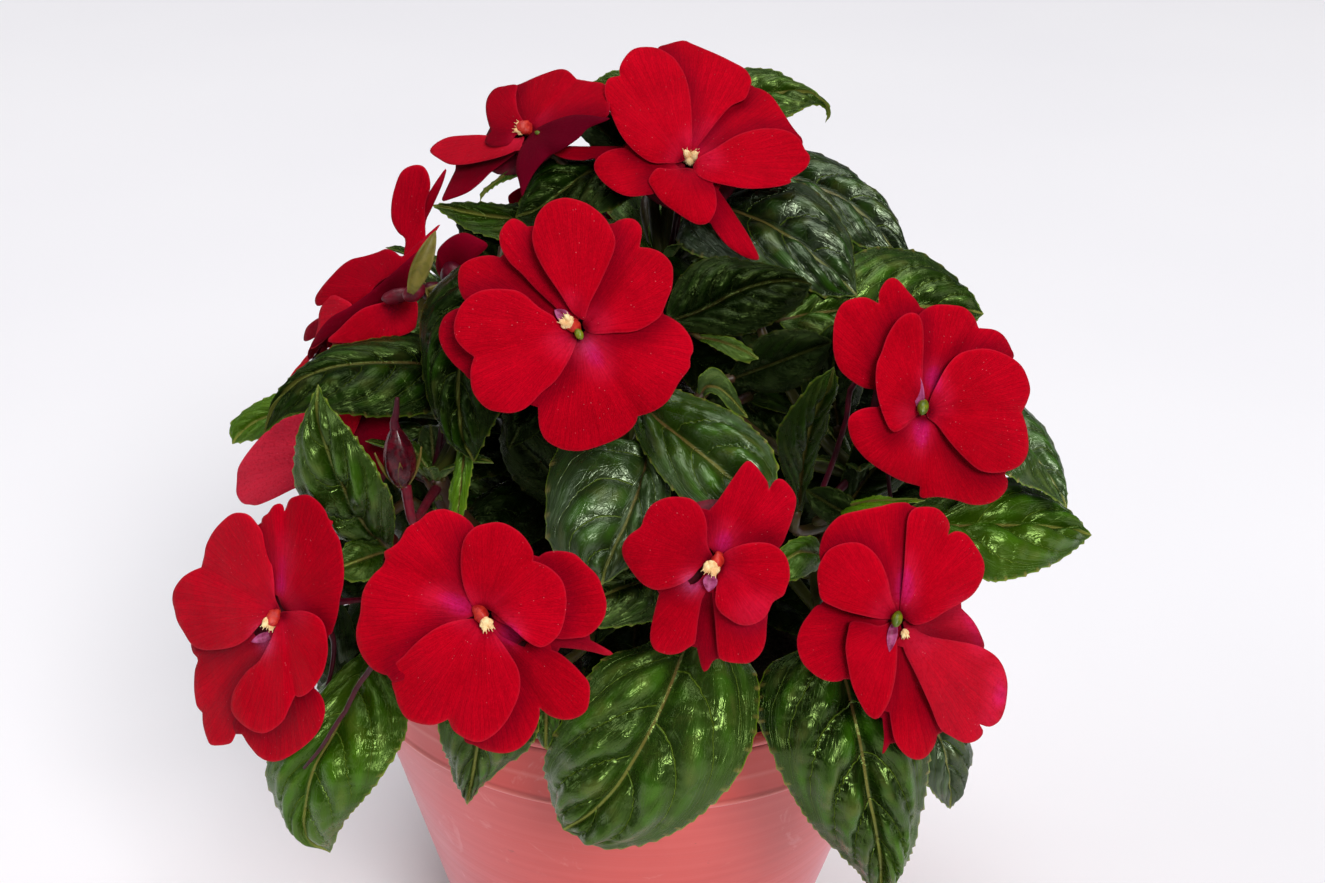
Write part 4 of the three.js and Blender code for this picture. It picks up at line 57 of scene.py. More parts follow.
    {"name":"flower_4","P":[53.05,-98,170.79],"n":[0.24,-0.8956,0.3746],"g":[-0.1188,-0.8509,0.5117],"own":False,"stalk":[[50.8,-89.5,167.2],[50.1,-86.8,166.1],[47.9,-65.5,159.5],[45.8,-44.3,163.2]],"spur":[[51,-90.4,167.6],[50.4,-88.1,163.7],[49.4,-84.3,155.7],[49.9,-86.2,146.7],[50.9,-90.1,142.7]],"lobes":[{"petal":2,"layer":-1.9,"org":[53.05,-98,170.79],"r":[0.945,0.3271,0],"u":[-0.1161,0.3353,0.9349],"pts":[[1,-0.6],[7,0.6],[12.8,1],[14.9,-0.6],[16.7,-2.9],[18,-5.8],[18.5,-8.5],[16.1,-10.6],[10.7,-8.7],[4.4,-4.7]],"pink":0.12},{"petal":4,"layer":-1.8,"org":[53.05,-98,170.79],"r":[0.9691,0.2465,0],"u":[-0.0764,0.3004,0.9507],"pts":[[-0.7,-0.8],[-2.1,-4.9],[-3.1,-9.9],[-3.9,-15.9],[-4,-19.4],[-3.8,-24],[-4.3,-27.5],[-3,-26],[-1.9,-24],[-0.4,-18.4],[0.2,-12.3],[0.6,-1.3]],"dark":0.3},{"petal":3,"layer":-1.3,"org":[53.05,-98,170.79],"r":[0.9747,0.2234,0],"u":[-0.082,0.3578,0.9302],"pts":[[-1.7,-0.2],[-5.8,0.9],[-10.8,3],[-15.9,4.6],[-18.4,2.7],[-20.2,0.3],[-21.1,-2.6],[-20.5,-6.1],[-18.6,-8.7],[-16.2,-10.5],[-13.8,-11.2],[-11.5,-10.6],[-9.9,-7.1],[-6,-3.5]]},{"petal":4,"layer":-0.8,"org":[53.05,-98,170.79],"r":[0.964,0.2659,0],"u":[-0.0778,0.2821,0.9562],"pts":[[-0.1,-2],[-1.5,-6],[-2.5,-10],[-2.6,-14.1],[-2.4,-19.3],[-1.7,-24.2],[-0.5,-26.8],[1.2,-28.7],[3.1,-29.6],[5,-29.3],[6.8,-27.4],[7.7,-24.8],[7.6,-22.1],[6.2,-17.3],[3.8,-12.8],[1.8,-8.4],[1.1,-4.2]]},{"petal":5,"layer":0.1,"org":[53.05,-98,170.79],"r":[0.9559,0.2937,0],"u":[-0.0991,0.3224,0.9414],"pts":[[0.3,-2.5],[2.5,-1.9],[6.4,-4.1],[12.2,-5.9],[16.2,-7.2],[18.8,-8.6],[20.9,-10.4],[22.3,-12.8],[23,-16],[22.6,-19.5],[21.8,-22.1],[20.6,-23.8],[18.5,-24.6],[16.4,-23.8,1],[17.1,-25.6],[15.5,-27],[12.9,-27.1],[10.1,-25.4],[7.6,-23.2],[5.6,-17.7],[3,-11.2],[0.9,-6.2]],"pink":0.12},{"petal":4,"layer":0.3,"org":[53.05,-98,170.79],"r":[0.9737,0.2278,0],"u":[-0.0762,0.3256,0.9424],"pts":[[-0.6,-0.3],[-3.8,-0.8],[-6.2,0],[-9.5,0.7],[-10.4,-1.4],[-11,-4.6],[-10.7,-8.1],[-10,-12.2],[-8.5,-16],[-7,-18.6],[-5.3,-19.6],[-4,-18.7],[-2.3,-16],[-1.1,-12.1],[-0.5,-8.1],[-0.3,-3.6]]},{"petal":1,"layer":0.0,"org":[53.05,-98,170.79],"r":[0.9643,0.2649,0],"u":[-0.0952,0.3465,0.9332],"pts":[[0.3,1],[-3.6,3.4],[-9.6,7.1],[-14.4,10.6],[-15.4,14.1],[-15.2,16.7],[-13.8,19.5],[-10.8,22],[-6.6,22.7],[-2.4,23.1],[1.2,23.5],[4.1,22.6],[3.6,17.7],[2.7,9.8],[1.4,2.9]]},{"petal":3,"layer":0.9,"org":[53.05,-98,170.79],"r":[0.9693,0.2458,0],"u":[-0.0949,0.3741,0.9225],"pts":[[-0.6,0.3],[-3.7,0.6],[-6.8,1.5],[-10.3,2.7],[-12.9,3.9],[-15.4,5.6],[-15.9,8],[-15.9,11],[-14.9,13.4],[-13.2,15.3],[-10.4,16.2],[-7.3,16.1],[-4.9,14.7],[-3,12.3],[-1.7,8.8],[-1,4.7],[-0.1,1.6]]},{"petal":1,"layer":0.8,"org":[53.05,-98,170.79],"r":[0.9691,0.2466,0],"u":[-0.0894,0.3514,0.932],"pts":[[0.5,1],[0.8,3.9],[1.8,9.9],[2.5,15.8],[3.2,20.1],[4.5,21.8],[6.9,22],[9.4,21.4],[11.2,19.6],[11.9,17.7],[11.4,16,1],[13.1,16.6],[15.2,15.8],[17,13.4],[18.6,10.2],[18.6,7.6],[17.4,5.1],[15.6,3.2],[12.6,1.7],[9.9,0.6],[6.7,-0.9],[3.5,-1.4],[1.7,-0.2]]}],"parts":[{"kind":"pistil","c":[52.61,-99.67,172.02],"d":[-0.262,-0.899,-0.35],"l":4.2,"w":2.2},{"kind":"cap","c":[54.39,-100.09,168.87],"d":[0.152,-0.721,-0.676],"l":1.6,"w":1.5},{"kind":"scale","c":[51.79,-100.66,168.44],"d":[-0.168,-0.583,-0.795],"l":6.0,"w":2.2}],"spots":[[1.41,5.47,3.18,0,0.9],[2.06,9.02,2.65,0,0.75],[2.5,12.58,2.39,0,0.35],[5.42,-4.64,3.71,0,0.45],[-3.66,2.01,2.65,0,0.35],[21.5,-18.74,3.45,0,0.95],[20.94,-13.75,2.92,0,0.5],[18.17,-23.66,2.92,0,0.6],[16.85,-3.08,3.71,0,0.75],[13.63,0.52,3.71,0,0.5],[17.43,-7.63,2.65,0,0.6]]},
    {"name":"flower_5","P":[59.31,-66,201.53],"n":[0.3367,-0.8333,0.4384],"g":[-0.1297,-0.8982,0.4199],"own":False,"stalk":[[56.5,-58.9,197.8],[55.9,-57.7,197.1],[50.9,-54,203.6],[45.3,-54,201.8],[44.2,-56,194.5],[42.3,-57,186.6],[39.3,-58,174.3],[48,-48,178]],"spur":[[56.5,-58.9,197.8],[55.6,-56.8,193.7],[54.1,-53.1,185.7],[54.9,-55,176.7],[56.4,-58.7,172.7]],"lobes":[{"petal":3,"layer":-1.6,"org":[59.31,-66,201.53],"r":[0.9332,0.3594,0],"u":[-0.1677,0.4355,0.8844],"pts":[[-1.6,2.7],[-7.3,4.5],[-10.3,5.9],[-13.3,6.9],[-16.1,9.1],[-17.9,11.4],[-18.6,14.7],[-18.2,18.2],[-17.3,21.6],[-15.5,24.2],[-13.1,25.2],[-9.7,25.2],[-7,23.7,1],[-6.4,26.1],[-4.5,28.2],[-2.8,28.6],[-1.4,27.6],[0.1,25.4],[2,22.7],[2.3,20.4],[1.2,14.8],[-0.2,8.8]]},{"petal":1,"layer":-0.8,"org":[59.31,-66,201.53],"r":[0.9272,0.3746,0],"u":[-0.1642,0.4065,0.8988],"pts":[[0.6,2.4],[-1,8.9],[-1.3,14.1],[-0.3,18.1],[2.2,20.5],[5.1,21.6],[8.4,21.4],[12.2,20.4],[14.3,18.2],[15.1,15.8,1],[18.8,14.9],[20.9,13.2],[22.1,10.5],[22.3,8.4],[18.5,5.3],[9.9,3.3],[2.6,1.7]]},{"petal":4,"layer":-0.4,"org":[59.31,-66,201.53],"r":[0.9312,0.3645,0],"u":[-0.1368,0.3494,0.9269],"pts":[[-1,-0.3],[-5.6,1.2],[-10.5,2.4],[-14.1,2.5],[-16.9,1.4],[-17.6,-0.8],[-16.9,-4.1],[-14.6,-7.5],[-11.5,-10.3],[-7.2,-13.2],[-2.8,-15.2,1],[-2.9,-17.5],[1,-17.9],[4.9,-19.1],[8.7,-20.7],[12.4,-21.1],[15.4,-20.2],[17.5,-18.2],[17.1,-15.6],[12.7,-11.8],[7.4,-6.8],[2.1,-1.9]]},{"petal":3,"layer":0.6,"org":[59.31,-66,201.53],"r":[0.9272,0.3746,0],"u":[-0.1642,0.4065,0.8988],"pts":[[-0.6,0.5],[-1.9,-0.4],[-5,-2.4],[-7.4,-3.1],[-8.8,-1.5],[-9.9,2.8],[-10.2,7],[-9.4,11],[-7.9,13.5],[-6,16.7],[-3.3,19.5],[-0.4,20.6],[1.8,19.5],[2.1,15.7],[0.8,8.6]]},{"petal":5,"layer":0.9,"org":[59.31,-66,201.53],"r":[0.9198,0.3925,0],"u":[-0.1715,0.4019,0.8995],"pts":[[0.3,-0.9],[1.5,2.3],[3.9,5.5],[6.5,8.5],[9.5,10.6],[12.9,11.2],[16.7,10.9],[19.9,9.6],[22.8,7.7],[24.6,5.4],[25.4,1.4],[24.2,-1.4],[22.7,-3.3,1],[23.3,-7.2],[22.9,-11.4],[21,-13.9],[17.9,-14.9],[14.3,-14.9],[10.8,-13.8],[7.7,-10.8],[4.8,-7],[2.3,-3]]}],"parts":[{"kind":"pistil","c":[58.6,-67.47,203.33],"d":[-0.193,-0.895,-0.403],"l":4.4,"w":2.4},{"kind":"scale","c":[57.74,-65.72,206.11],"d":[-0.121,0.242,0.963],"l":8.0,"w":2.3}],"spots":[[2.62,6.52,2.92,0,1],[3.93,9.06,2.39,0,0.4],[-1.24,-3.57,2.92,0,0.9],[-1.73,-6.83,2.65,0,0.5],[-4.63,0.01,2.65,0,0.35],[4.84,2.68,2.92,0,0.45]]},
    {"name":"flower_6","P":[-11.72,-74,220.99],"n":[-0.0434,-0.8279,0.5592],"g":[0.0431,-0.9196,0.3904],"own":False,"stalk":[[-11.3,-66.1,215.7],[-11.2,-63.7,214],[-7.1,-61.8,196.5],[-3,-60,186]],"spur":[[-11.4,-67,216.2],[-11.2,-64.9,211.8],[-11,-60.9,203.8],[-11.1,-62.9,194.8],[-11.3,-66.9,190.8]],"lobes":[{"petal":3,"layer":-1.9,"org":[-11.72,-74,220.99],"r":[0.9934,-0.1144,0],"u":[0.0633,0.5492,0.8333],"pts":[[-0.5,-0.7],[-12.2,3],[-22.4,3.9],[-24.6,3.1],[-26.1,2.4],[-27.8,0.8],[-28.5,-1.9],[-28.1,-4.1],[-26.8,-6.4],[-24.6,-8.7],[-22.6,-10.1],[-20.6,-11.4],[-15,-9.4],[-7.4,-4.8]],"dark":0.15},{"petal":3,"layer":-1.1,"org":[-11.72,-74,220.99],"r":[0.9975,-0.071,0],"u":[0.0402,0.5644,0.8245],"pts":[[-1.4,0.1],[-4.8,3],[-6.8,5.7],[-9.4,8.2],[-11.8,10.9],[-14.4,13.1],[-16.3,14],[-18.8,14.5],[-21.4,14.1],[-23.5,13.2],[-25,11.7],[-25.2,9.4],[-24.6,6.8],[-23.2,4.8],[-20.1,3.2],[-11.9,1.2]]},{"petal":1,"layer":-0.4,"org":[-11.72,-74,220.99],"r":[0.9999,-0.0147,0],"u":[0.0077,0.5241,0.8516],"pts":[[-0.5,1.8],[-3.1,3.1],[-5.8,5.4],[-9.1,8.3],[-11.8,11.1],[-14.2,13.2],[-15.9,15.6],[-16.6,17.8],[-16.5,19.4],[-15.6,21.2],[-14.2,22.3],[-12.6,21.9],[-11,20.6],[-9.7,18.4],[-7.3,13.6],[-4.1,8.1],[-0.3,3.8]]},{"petal":5,"layer":-0.9,"org":[-11.72,-74,220.99],"r":[1,-0.0013,0],"u":[0.0007,0.5128,0.8585],"pts":[[0.4,-0.8],[2.2,0.7],[6.5,1.2],[12.2,2.5],[15.2,3.8],[17.1,3.7],[20,2.1],[21.6,0.4],[22.6,-1.4],[22.9,-3.4],[22.3,-4.8],[22.4,-6.4],[21.8,-7.6],[20.3,-9.6],[18.4,-13.1],[16.5,-14.9],[14.3,-16.1],[12.2,-16.8,1],[12,-17.8],[10.9,-19.4],[9.1,-20.9],[6.8,-22.1],[3.5,-23.4],[0.9,-24],[-1.8,-23.9],[-4,-23.2],[-6,-21.9],[-7.1,-19.9],[-7.5,-17.9],[-7.7,-14.9],[-8.1,-12],[-5.3,-9.1],[-3.2,-6.3],[-1.7,-3.8],[-0.5,-2.2]]},{"petal":2,"layer":-0.1,"org":[-11.72,-74,220.99],"r":[0.9993,-0.0381,0],"u":[0.0217,0.5694,0.8217],"pts":[[1.4,0.1],[0.7,2.3],[3.3,8.5],[5,14.2],[5.8,18.8],[5.8,22.1],[7.4,23.2],[9.2,23.4],[10.6,22.7],[11.5,20.9],[11.2,17.6,1],[13.4,17.4],[15.7,16.5],[17.6,14.6],[18.1,12.7],[18,9.5],[17.1,6.8],[16.1,3.9],[14.6,2.4],[12.3,0.9],[10.1,0.2],[6.6,-0.1],[3.6,-0.5]]},{"petal":4,"layer":0.7,"org":[-11.72,-74,220.99],"r":[0.9958,-0.0921,0],"u":[0.0507,0.5478,0.8351],"pts":[[-0.3,-1.4],[-1.4,-0.5],[-4.3,1.5],[-5.4,2.7],[-8.4,4.3],[-10.8,6.2],[-12.9,7.3],[-15.3,7.5],[-17.9,7.4],[-20.5,6.8],[-22.8,5.3],[-24.4,2.9],[-25.1,-0.2],[-24.5,-3],[-22.6,-5.1],[-20.5,-6.5,1],[-20.9,-8.8],[-20.7,-11.2],[-20.1,-13.4],[-18.5,-15.5],[-16.6,-16.8],[-14.1,-17.2],[-11.9,-17.2],[-9.6,-16.3],[-8,-14.8],[-6.5,-12.9],[-3.9,-10.3],[-2,-7],[-0.7,-3.7]]},{"petal":1,"layer":1.0,"org":[-11.72,-74,220.99],"r":[0.9991,-0.0425,0],"u":[0.0213,0.5,0.8658],"pts":[[0.9,2.2],[-1.6,3.7],[-3.9,7],[-5.6,9.2],[-7.8,12.3],[-9.6,15.6],[-10.3,18.6],[-10,20.6],[-9.7,22.2],[-8.8,23.9],[-7.3,25.4],[-5.5,26.2],[-3.7,26.5],[-1.1,26],[1.1,25.1],[3.6,23.2],[5.1,21.2],[6.2,18.9],[6.3,17.1],[5.8,15.1],[4.8,12.4],[3.5,9.2],[2.1,6.1],[1.4,3.9]]}],"parts":[{"kind":"body","c":[-13.1,-74.21,222.32],"d":[-0.717,-0.367,0.593],"l":5.0,"w":2.8},{"kind":"cap","c":[-14.24,-75.2,223.56],"d":[-0.589,-0.289,0.755],"l":2.5,"w":2.7},{"kind":"pistil","c":[-11.63,-75.81,221.11],"d":[0.479,-0.71,-0.516],"l":2.8,"w":1.7},{"kind":"scale","c":[-15.14,-73.21,223.99],"d":[-0.827,0.113,0.55],"l":3.6,"w":2.6}],"spots":[[2.87,-4.7,3.71,0,0.75],[5.05,-8.01,3.18,0,0.3],[-3.6,-3,3.18,0,0.5],[4.06,2.01,3.18,0,0.45],[-2.17,6.17,2.39,0,0.45],[1.16,-2.77,2.12,1,0.15]]},
    {"name":"flower_7","P":[8.95,-18,237.89],"n":[0.0895,-0.6365,0.766],"g":[-0.008,-0.9502,0.3116],"own":False,"lift":4.0,"stalk":[[8.1,-12,230.6],[7.8,-10,228.3],[6.4,-10,216.9],[5,-10,210]],"spur":[[8.2,-12.6,231.4],[8,-11,226.5],[7.4,-7,218.5],[7.7,-9,209.5],[8.2,-13,205.5]],"lobes":[{"petal":3,"layer":-1.9,"org":[8.95,-18,237.89],"r":[0.9995,0.031,0],"u":[-0.0238,0.7694,0.6384],"pts":[[-0.9,0],[-5.7,0.4],[-10.1,1.4],[-13.4,3.9],[-18.1,4],[-22.7,3.9],[-26.2,3.9],[-28.8,3.3],[-29.7,2.5],[-28.8,1.5],[-26.1,0.5],[-22.6,0.3],[-19.8,0.9],[-15.6,-0.1],[-9,-1.5],[-0.9,-1.3]],"dark":0.35},{"petal":2,"layer":-1.0,"org":[8.95,-18,237.89],"r":[0.9903,0.1392,0],"u":[-0.1066,0.7586,0.6428],"pts":[[1.9,1.2],[3.3,4.6],[7.1,9.7],[11.2,14.3],[15.1,16.9],[16.2,18.8,1],[17.4,19.5],[19.3,18.7],[21.2,16.8],[23.2,12.6],[24.5,9.6],[25.8,7.2],[26.6,5.9],[26.4,3.9],[23.3,0.8],[16.3,-1.6],[9.7,-0.7]]},{"petal":1,"layer":-0.5,"org":[8.95,-18,237.89],"r":[0.9931,0.1173,0],"u":[-0.086,0.7277,0.6805],"pts":[[1,2],[-0.9,7],[-3,15.9],[-5,23.6],[-4.6,29],[-2.3,30.3],[1.4,31.3],[3.6,30.3],[8.8,27.6],[12.3,25.5],[14.9,23.7],[16.1,21.1],[15.7,19.1],[14.3,16],[10.8,14],[6.9,9.4],[3.2,4.5]]},{"petal":4,"layer":-0.8,"org":[8.95,-18,237.89],"r":[0.9828,0.1845,0],"u":[-0.1336,0.7118,0.6896],"pts":[[1.4,-1.8],[1.7,-4.2],[2.6,-8],[3.6,-11.2],[3.7,-14.1],[4.3,-16.3],[6.7,-20.2],[9.9,-23],[12.7,-24.1],[13.4,-23.2],[11.7,-18],[9.4,-12.9],[7.1,-8.1],[5.2,-4.9],[3.5,-2.6]],"dark":0.2},{"petal":3,"layer":-0.1,"org":[8.95,-18,237.89],"r":[0.9982,0.0606,0],"u":[-0.046,0.7572,0.6515],"pts":[[-1.4,-1],[-4.8,-0.3],[-8.8,0.4],[-12.2,3.5],[-15.8,3.4],[-18.6,1.9],[-20,-0.2],[-19.8,-2.4],[-18.1,-5],[-15.2,-7.4],[-12.4,-8.4],[-8.9,-8.1],[-6.8,-7.4],[-6.9,-5.1],[-5.3,-3.1]]},{"petal":4,"layer":0.5,"org":[8.95,-18,237.89],"r":[0.9913,0.1314,0],"u":[-0.0961,0.7252,0.6818],"pts":[[0.3,-1.2],[-3.6,-1.4],[-6.3,-1.1],[-7.9,-2.8],[-8.5,-4.3],[-7.7,-6.3],[-6,-9.2],[-2.7,-12.2],[0.4,-14.5],[2.1,-15],[3.7,-14.6],[4.7,-13.4],[5.7,-11.2],[6,-8.2],[5.4,-5],[3.1,-2.5]]},{"petal":1,"layer":0.5,"org":[8.95,-18,237.89],"r":[0.9853,0.1708,0],"u":[-0.1255,0.7236,0.6787],"pts":[[0.6,1.5],[-1.8,0.1],[-4.2,0.1],[-7.7,0.5],[-11,3.3],[-13.5,7.2],[-15.1,12],[-16,16.1],[-16.2,18.9],[-15.1,21.6],[-12.5,22.4,1],[-12.3,24.7],[-10.2,28],[-7.8,29.5],[-3.9,29.4],[-1.1,27.8],[0.7,25.6],[2.3,21.2],[2.7,14.5],[1.9,5.2]]},{"petal":2,"layer":0.6,"org":[8.95,-18,237.89],"r":[0.9861,0.166,0],"u":[-0.1271,0.7552,0.6431],"pts":[[1.5,-0.8],[2.8,1.2],[6.6,3.4],[11.8,6.6],[17.4,8.3],[22.8,7.9],[25.9,5.7],[26.9,2.8],[27.8,0.7],[26.7,-1.9],[24.2,-3.8],[22.8,-4.5],[22.4,-5.8],[18.4,-6.7],[12.6,-6.8],[7.4,-5.6],[3.5,-4.2],[1.7,-2.4]]}],"parts":[{"kind":"cap","c":[9.77,-18.6,239.71],"d":[0.095,-0.482,0.871],"l":3.6,"w":3.6},{"kind":"cap","c":[9.97,-17.02,240.35],"d":[0.212,-0.493,0.844],"l":3.0,"w":3.0}],"spots":[[1.86,5.88,3.18,0,0.6],[6.16,8.92,3.18,0,0.45],[5.89,1.16,3.18,0,0.6],[-2.99,1.34,2.12,0,0.3]]},
    {"name":"flower_8","P":[-26.24,-8,240.87],"n":[-0.4716,-0.3957,0.788],"g":[0.0698,-0.9519,0.2984],"own":False,"lift":2.0,"stalk":[[-21.8,-4.2,233.4],[-20.3,-3.1,231],[-7.7,-6.5,216.5],[5,-10,210]],"spur":[[-22.2,-4.6,234.2],[-21.1,-3.6,229.2],[-18,-1.1,221.2],[-19.5,-2.4,212.2],[-22.6,-4.9,208.2]],"lobes":[{"petal":4,"layer":-1.6,"org":[-26.24,-8,240.87],"r":[0.6228,-0.7824,0],"u":[0.5918,0.4711,0.6541],"pts":[[1.1,-3.5],[-3.3,-8.5],[-9.4,-11.8],[-12.9,-14.5],[-12.4,-16.1],[-10.8,-20.3],[-9.1,-23.5],[-6.7,-22.1],[-3.5,-19.1],[-2.1,-15.7],[-1.5,-12.3],[0.8,-6.8]],"dark":0.7},{"petal":1,"layer":-0.2,"org":[-26.24,-8,240.87],"r":[0.6428,-0.766,0],"u":[0.6037,0.5065,0.6157],"pts":[[0.3,0.4],[-8.5,1.8],[-14.8,4.7],[-17.6,7.6],[-14.5,10.2],[-12.2,12.8],[-9.8,15.1],[-7,17.2],[-4,17.6],[0.5,16.5,1],[4.1,17],[9.2,17.7],[13.1,15.6],[17.3,11.5],[16.5,9.5],[12.8,8.6],[8.5,7.1],[5.6,4.6],[3.1,1.4]],"dark":0.16},{"petal":2,"layer":0.4,"org":[-26.24,-8,240.87],"r":[0.7034,-0.7108,0],"u":[0.5547,0.5489,0.6253],"pts":[[-1,0.3],[-2.3,-1.3],[-4.5,-2.6],[-7.9,-3.9],[-11.5,-2.3],[-16.1,1.1],[-18.7,4.3],[-18.9,7.3],[-16.8,8.8],[-13.4,10.1],[-11.5,7.7],[-7.7,4.2],[-3.5,1.9]],"dark":0.32},{"petal":3,"layer":0.5,"org":[-26.24,-8,240.87],"r":[0.609,-0.7932,0],"u":[0.6141,0.4715,0.6329],"pts":[[-0.4,-1.4],[-1.9,-2.5],[-7.5,-4.1],[-12.8,-5.3],[-17,-6.8],[-22.5,-9.3],[-24.9,-12.1],[-24.6,-14.5],[-20.2,-15.1],[-15,-15.1],[-10.5,-13.5],[-6,-10.9],[-2.4,-8.4],[0.5,-5.6],[0.8,-3.1]],"dark":0.0,"pink":0.1},{"petal":4,"layer":1.1,"org":[-26.24,-8,240.87],"r":[0.724,-0.6898,0],"u":[0.5391,0.5659,0.6238],"pts":[[0.7,-0.1],[2,2.4],[4.8,5.2],[7.9,7.3],[12,8.5],[15.7,9],[18.1,9.2],[14.5,5.5],[13.9,2.4],[11.9,-1.4],[10,-3.7,1],[9.4,-5.6],[9.3,-9.4],[10.3,-13.6],[10.7,-15.2],[7.5,-12.5],[3.5,-9.2],[1.2,-5.2],[0.8,-2.1]],"dark":0.94}],"parts":[{"kind":"body","c":[-27.17,-7.47,241.6],"d":[-0.772,-0.313,0.553],"l":4.8,"w":3.2},{"kind":"cap","c":[-28.27,-7.78,241.67],"d":[-0.869,-0.289,0.402],"l":2.6,"w":2.8},{"kind":"pistil","c":[-24.03,-10.92,241.61],"d":[0.883,-0.441,-0.16],"l":1.8,"w":1.0}],"spots":[[-1.96,-3.11,3.18,0,0.4],[1.55,4.19,3.18,0,0.35]]},
    {"name":"flower_9","P":[-53.98,-28,210.15],"n":[-0.9254,-0.3368,0.1736],"g":[0.1327,-0.9192,0.3708],"own":True,"stalk":[[-45.2,-24.8,208.5],[-42.4,-23.8,208],[-43.2,-37.9,186.9],[-44,-52,176]],"spur":[[-45.6,-25,208.6],[-42.8,-23.9,202.6],[-41.9,-23.6,194.6],[-44.7,-24.6,187.6]],"lobes":[{"petal":3,"layer":0,"org":[-53.98,-34,210.15],"r":[0.6428,-0.766,0],"u":[0.262,0.2198,0.9397],"pts":[[-14.3,-6.9],[-18.5,-8.8],[-24.8,-12],[-27.2,-13.5],[-29.9,-16.4],[-29.8,-19.3],[-27.8,-18.8],[-23.8,-16],[-16.9,-12.1],[-10.6,-7.6]],"dark":0.7},{"petal":4,"layer":0,"org":[-53.98,-37,210.15],"r":[0.9397,-0.342,0],"u":[0.1445,0.3971,0.9063],"pts":[[3.3,2.6],[-1.9,0.5],[-6.7,-1.6],[-9.6,-4.3],[-12,-7.3],[-14.1,-9.7],[-12.7,-10.3],[-5.3,-8.9],[1.1,-7],[5.6,-4.7],[6.3,-2.2],[5.6,1.6]],"dark":0.12},{"petal":5,"layer":0,"org":[-53.98,-32,210.15],"r":[0.9848,-0.1736,0],"u":[0.0151,0.0858,0.9962],"pts":[[2.2,8.1],[5.6,11.1],[6.7,9.4],[6,5.5],[3.7,1.9],[1.4,-0.6],[-3.6,-1.8],[-11.7,-7.7],[-19.6,-13.8],[-18.5,-10.7],[-15.2,-6.4],[-10.7,-3.4],[-5.8,0.5],[-1.2,4.8]],"dark":0.82},{"petal":2,"layer":0,"org":[-53.98,-30,210.15],"r":[0.8192,-0.5736,0],"u":[0.2868,0.4096,0.866],"pts":[[0,5.9],[-3.4,3.2],[-6,0.9],[-7.3,-1.7],[-9.3,-4.1],[-11.8,-6.1],[-16.3,-5.6],[-20.5,-8.1],[-22.1,-6.6],[-21.2,-3.7],[-19.6,-0.8],[-17.7,2.1],[-15.3,4.3],[-12,5.8],[-8.8,7.5],[-6.8,8.7],[-4.1,8.6],[-1.6,8.3],[1.6,12.5],[5.5,17.3],[3.4,11.8],[1.6,7.7]],"dark":0.32},{"petal":2,"layer":0,"org":[-53.98,-36,210.15],"r":[0.7071,-0.7071,0],"u":[0.3536,0.3536,0.866],"pts":[[-12.4,-4.1],[-17.1,-3.7],[-19.6,-4],[-21.5,-5.7],[-21.9,-8.8],[-20.6,-11.5],[-20,-14.9],[-19.8,-17.1],[-17.2,-14.5],[-14.6,-10.8],[-12.3,-6.7]],"dark":0.1,"pink":0.1},{"petal":1,"layer":0,"org":[-53.98,-26,210.15],"r":[0.9135,-0.4067,0],"u":[0.0846,0.1899,0.9781],"pts":[[0.7,5.7],[0.6,10.6],[-1.3,11.9],[-3.1,14.2],[-3.6,17.3],[-3.2,21.1],[-1.8,25.3],[0.9,27.3],[3.6,27.5],[5.3,25.6],[5.8,22.6],[4.9,18.7],[6,7.5],[3.6,4.8]],"dark":0.2},{"petal":1,"layer":0,"org":[-53.98,-24,210.15],"r":[0.9976,-0.0698,0],"u":[0.0145,0.2074,0.9781],"pts":[[4.3,7.7],[4.3,13.3],[5.1,17.8],[6.7,21.4],[9.9,26.1],[9.5,23.5],[8.2,20.1],[6.7,16.7],[5.6,14],[5.2,8.9]],"dark":0.5}],"parts":[{"kind":"knob","c":[-52.71,-38.64,213.04],"d":[0.972,0.103,0.21],"l":6.8,"w":3.4,"mat":5},{"kind":"knob","c":[-47.44,-50.14,218.72],"d":[0.853,0.23,0.469],"l":5.2,"w":3.8,"mat":5},{"kind":"sepal","c":[-44.9,-53.67,226.85],"d":[0.359,0.347,0.866],"l":14.0,"w":4.3}],"spots":[]},
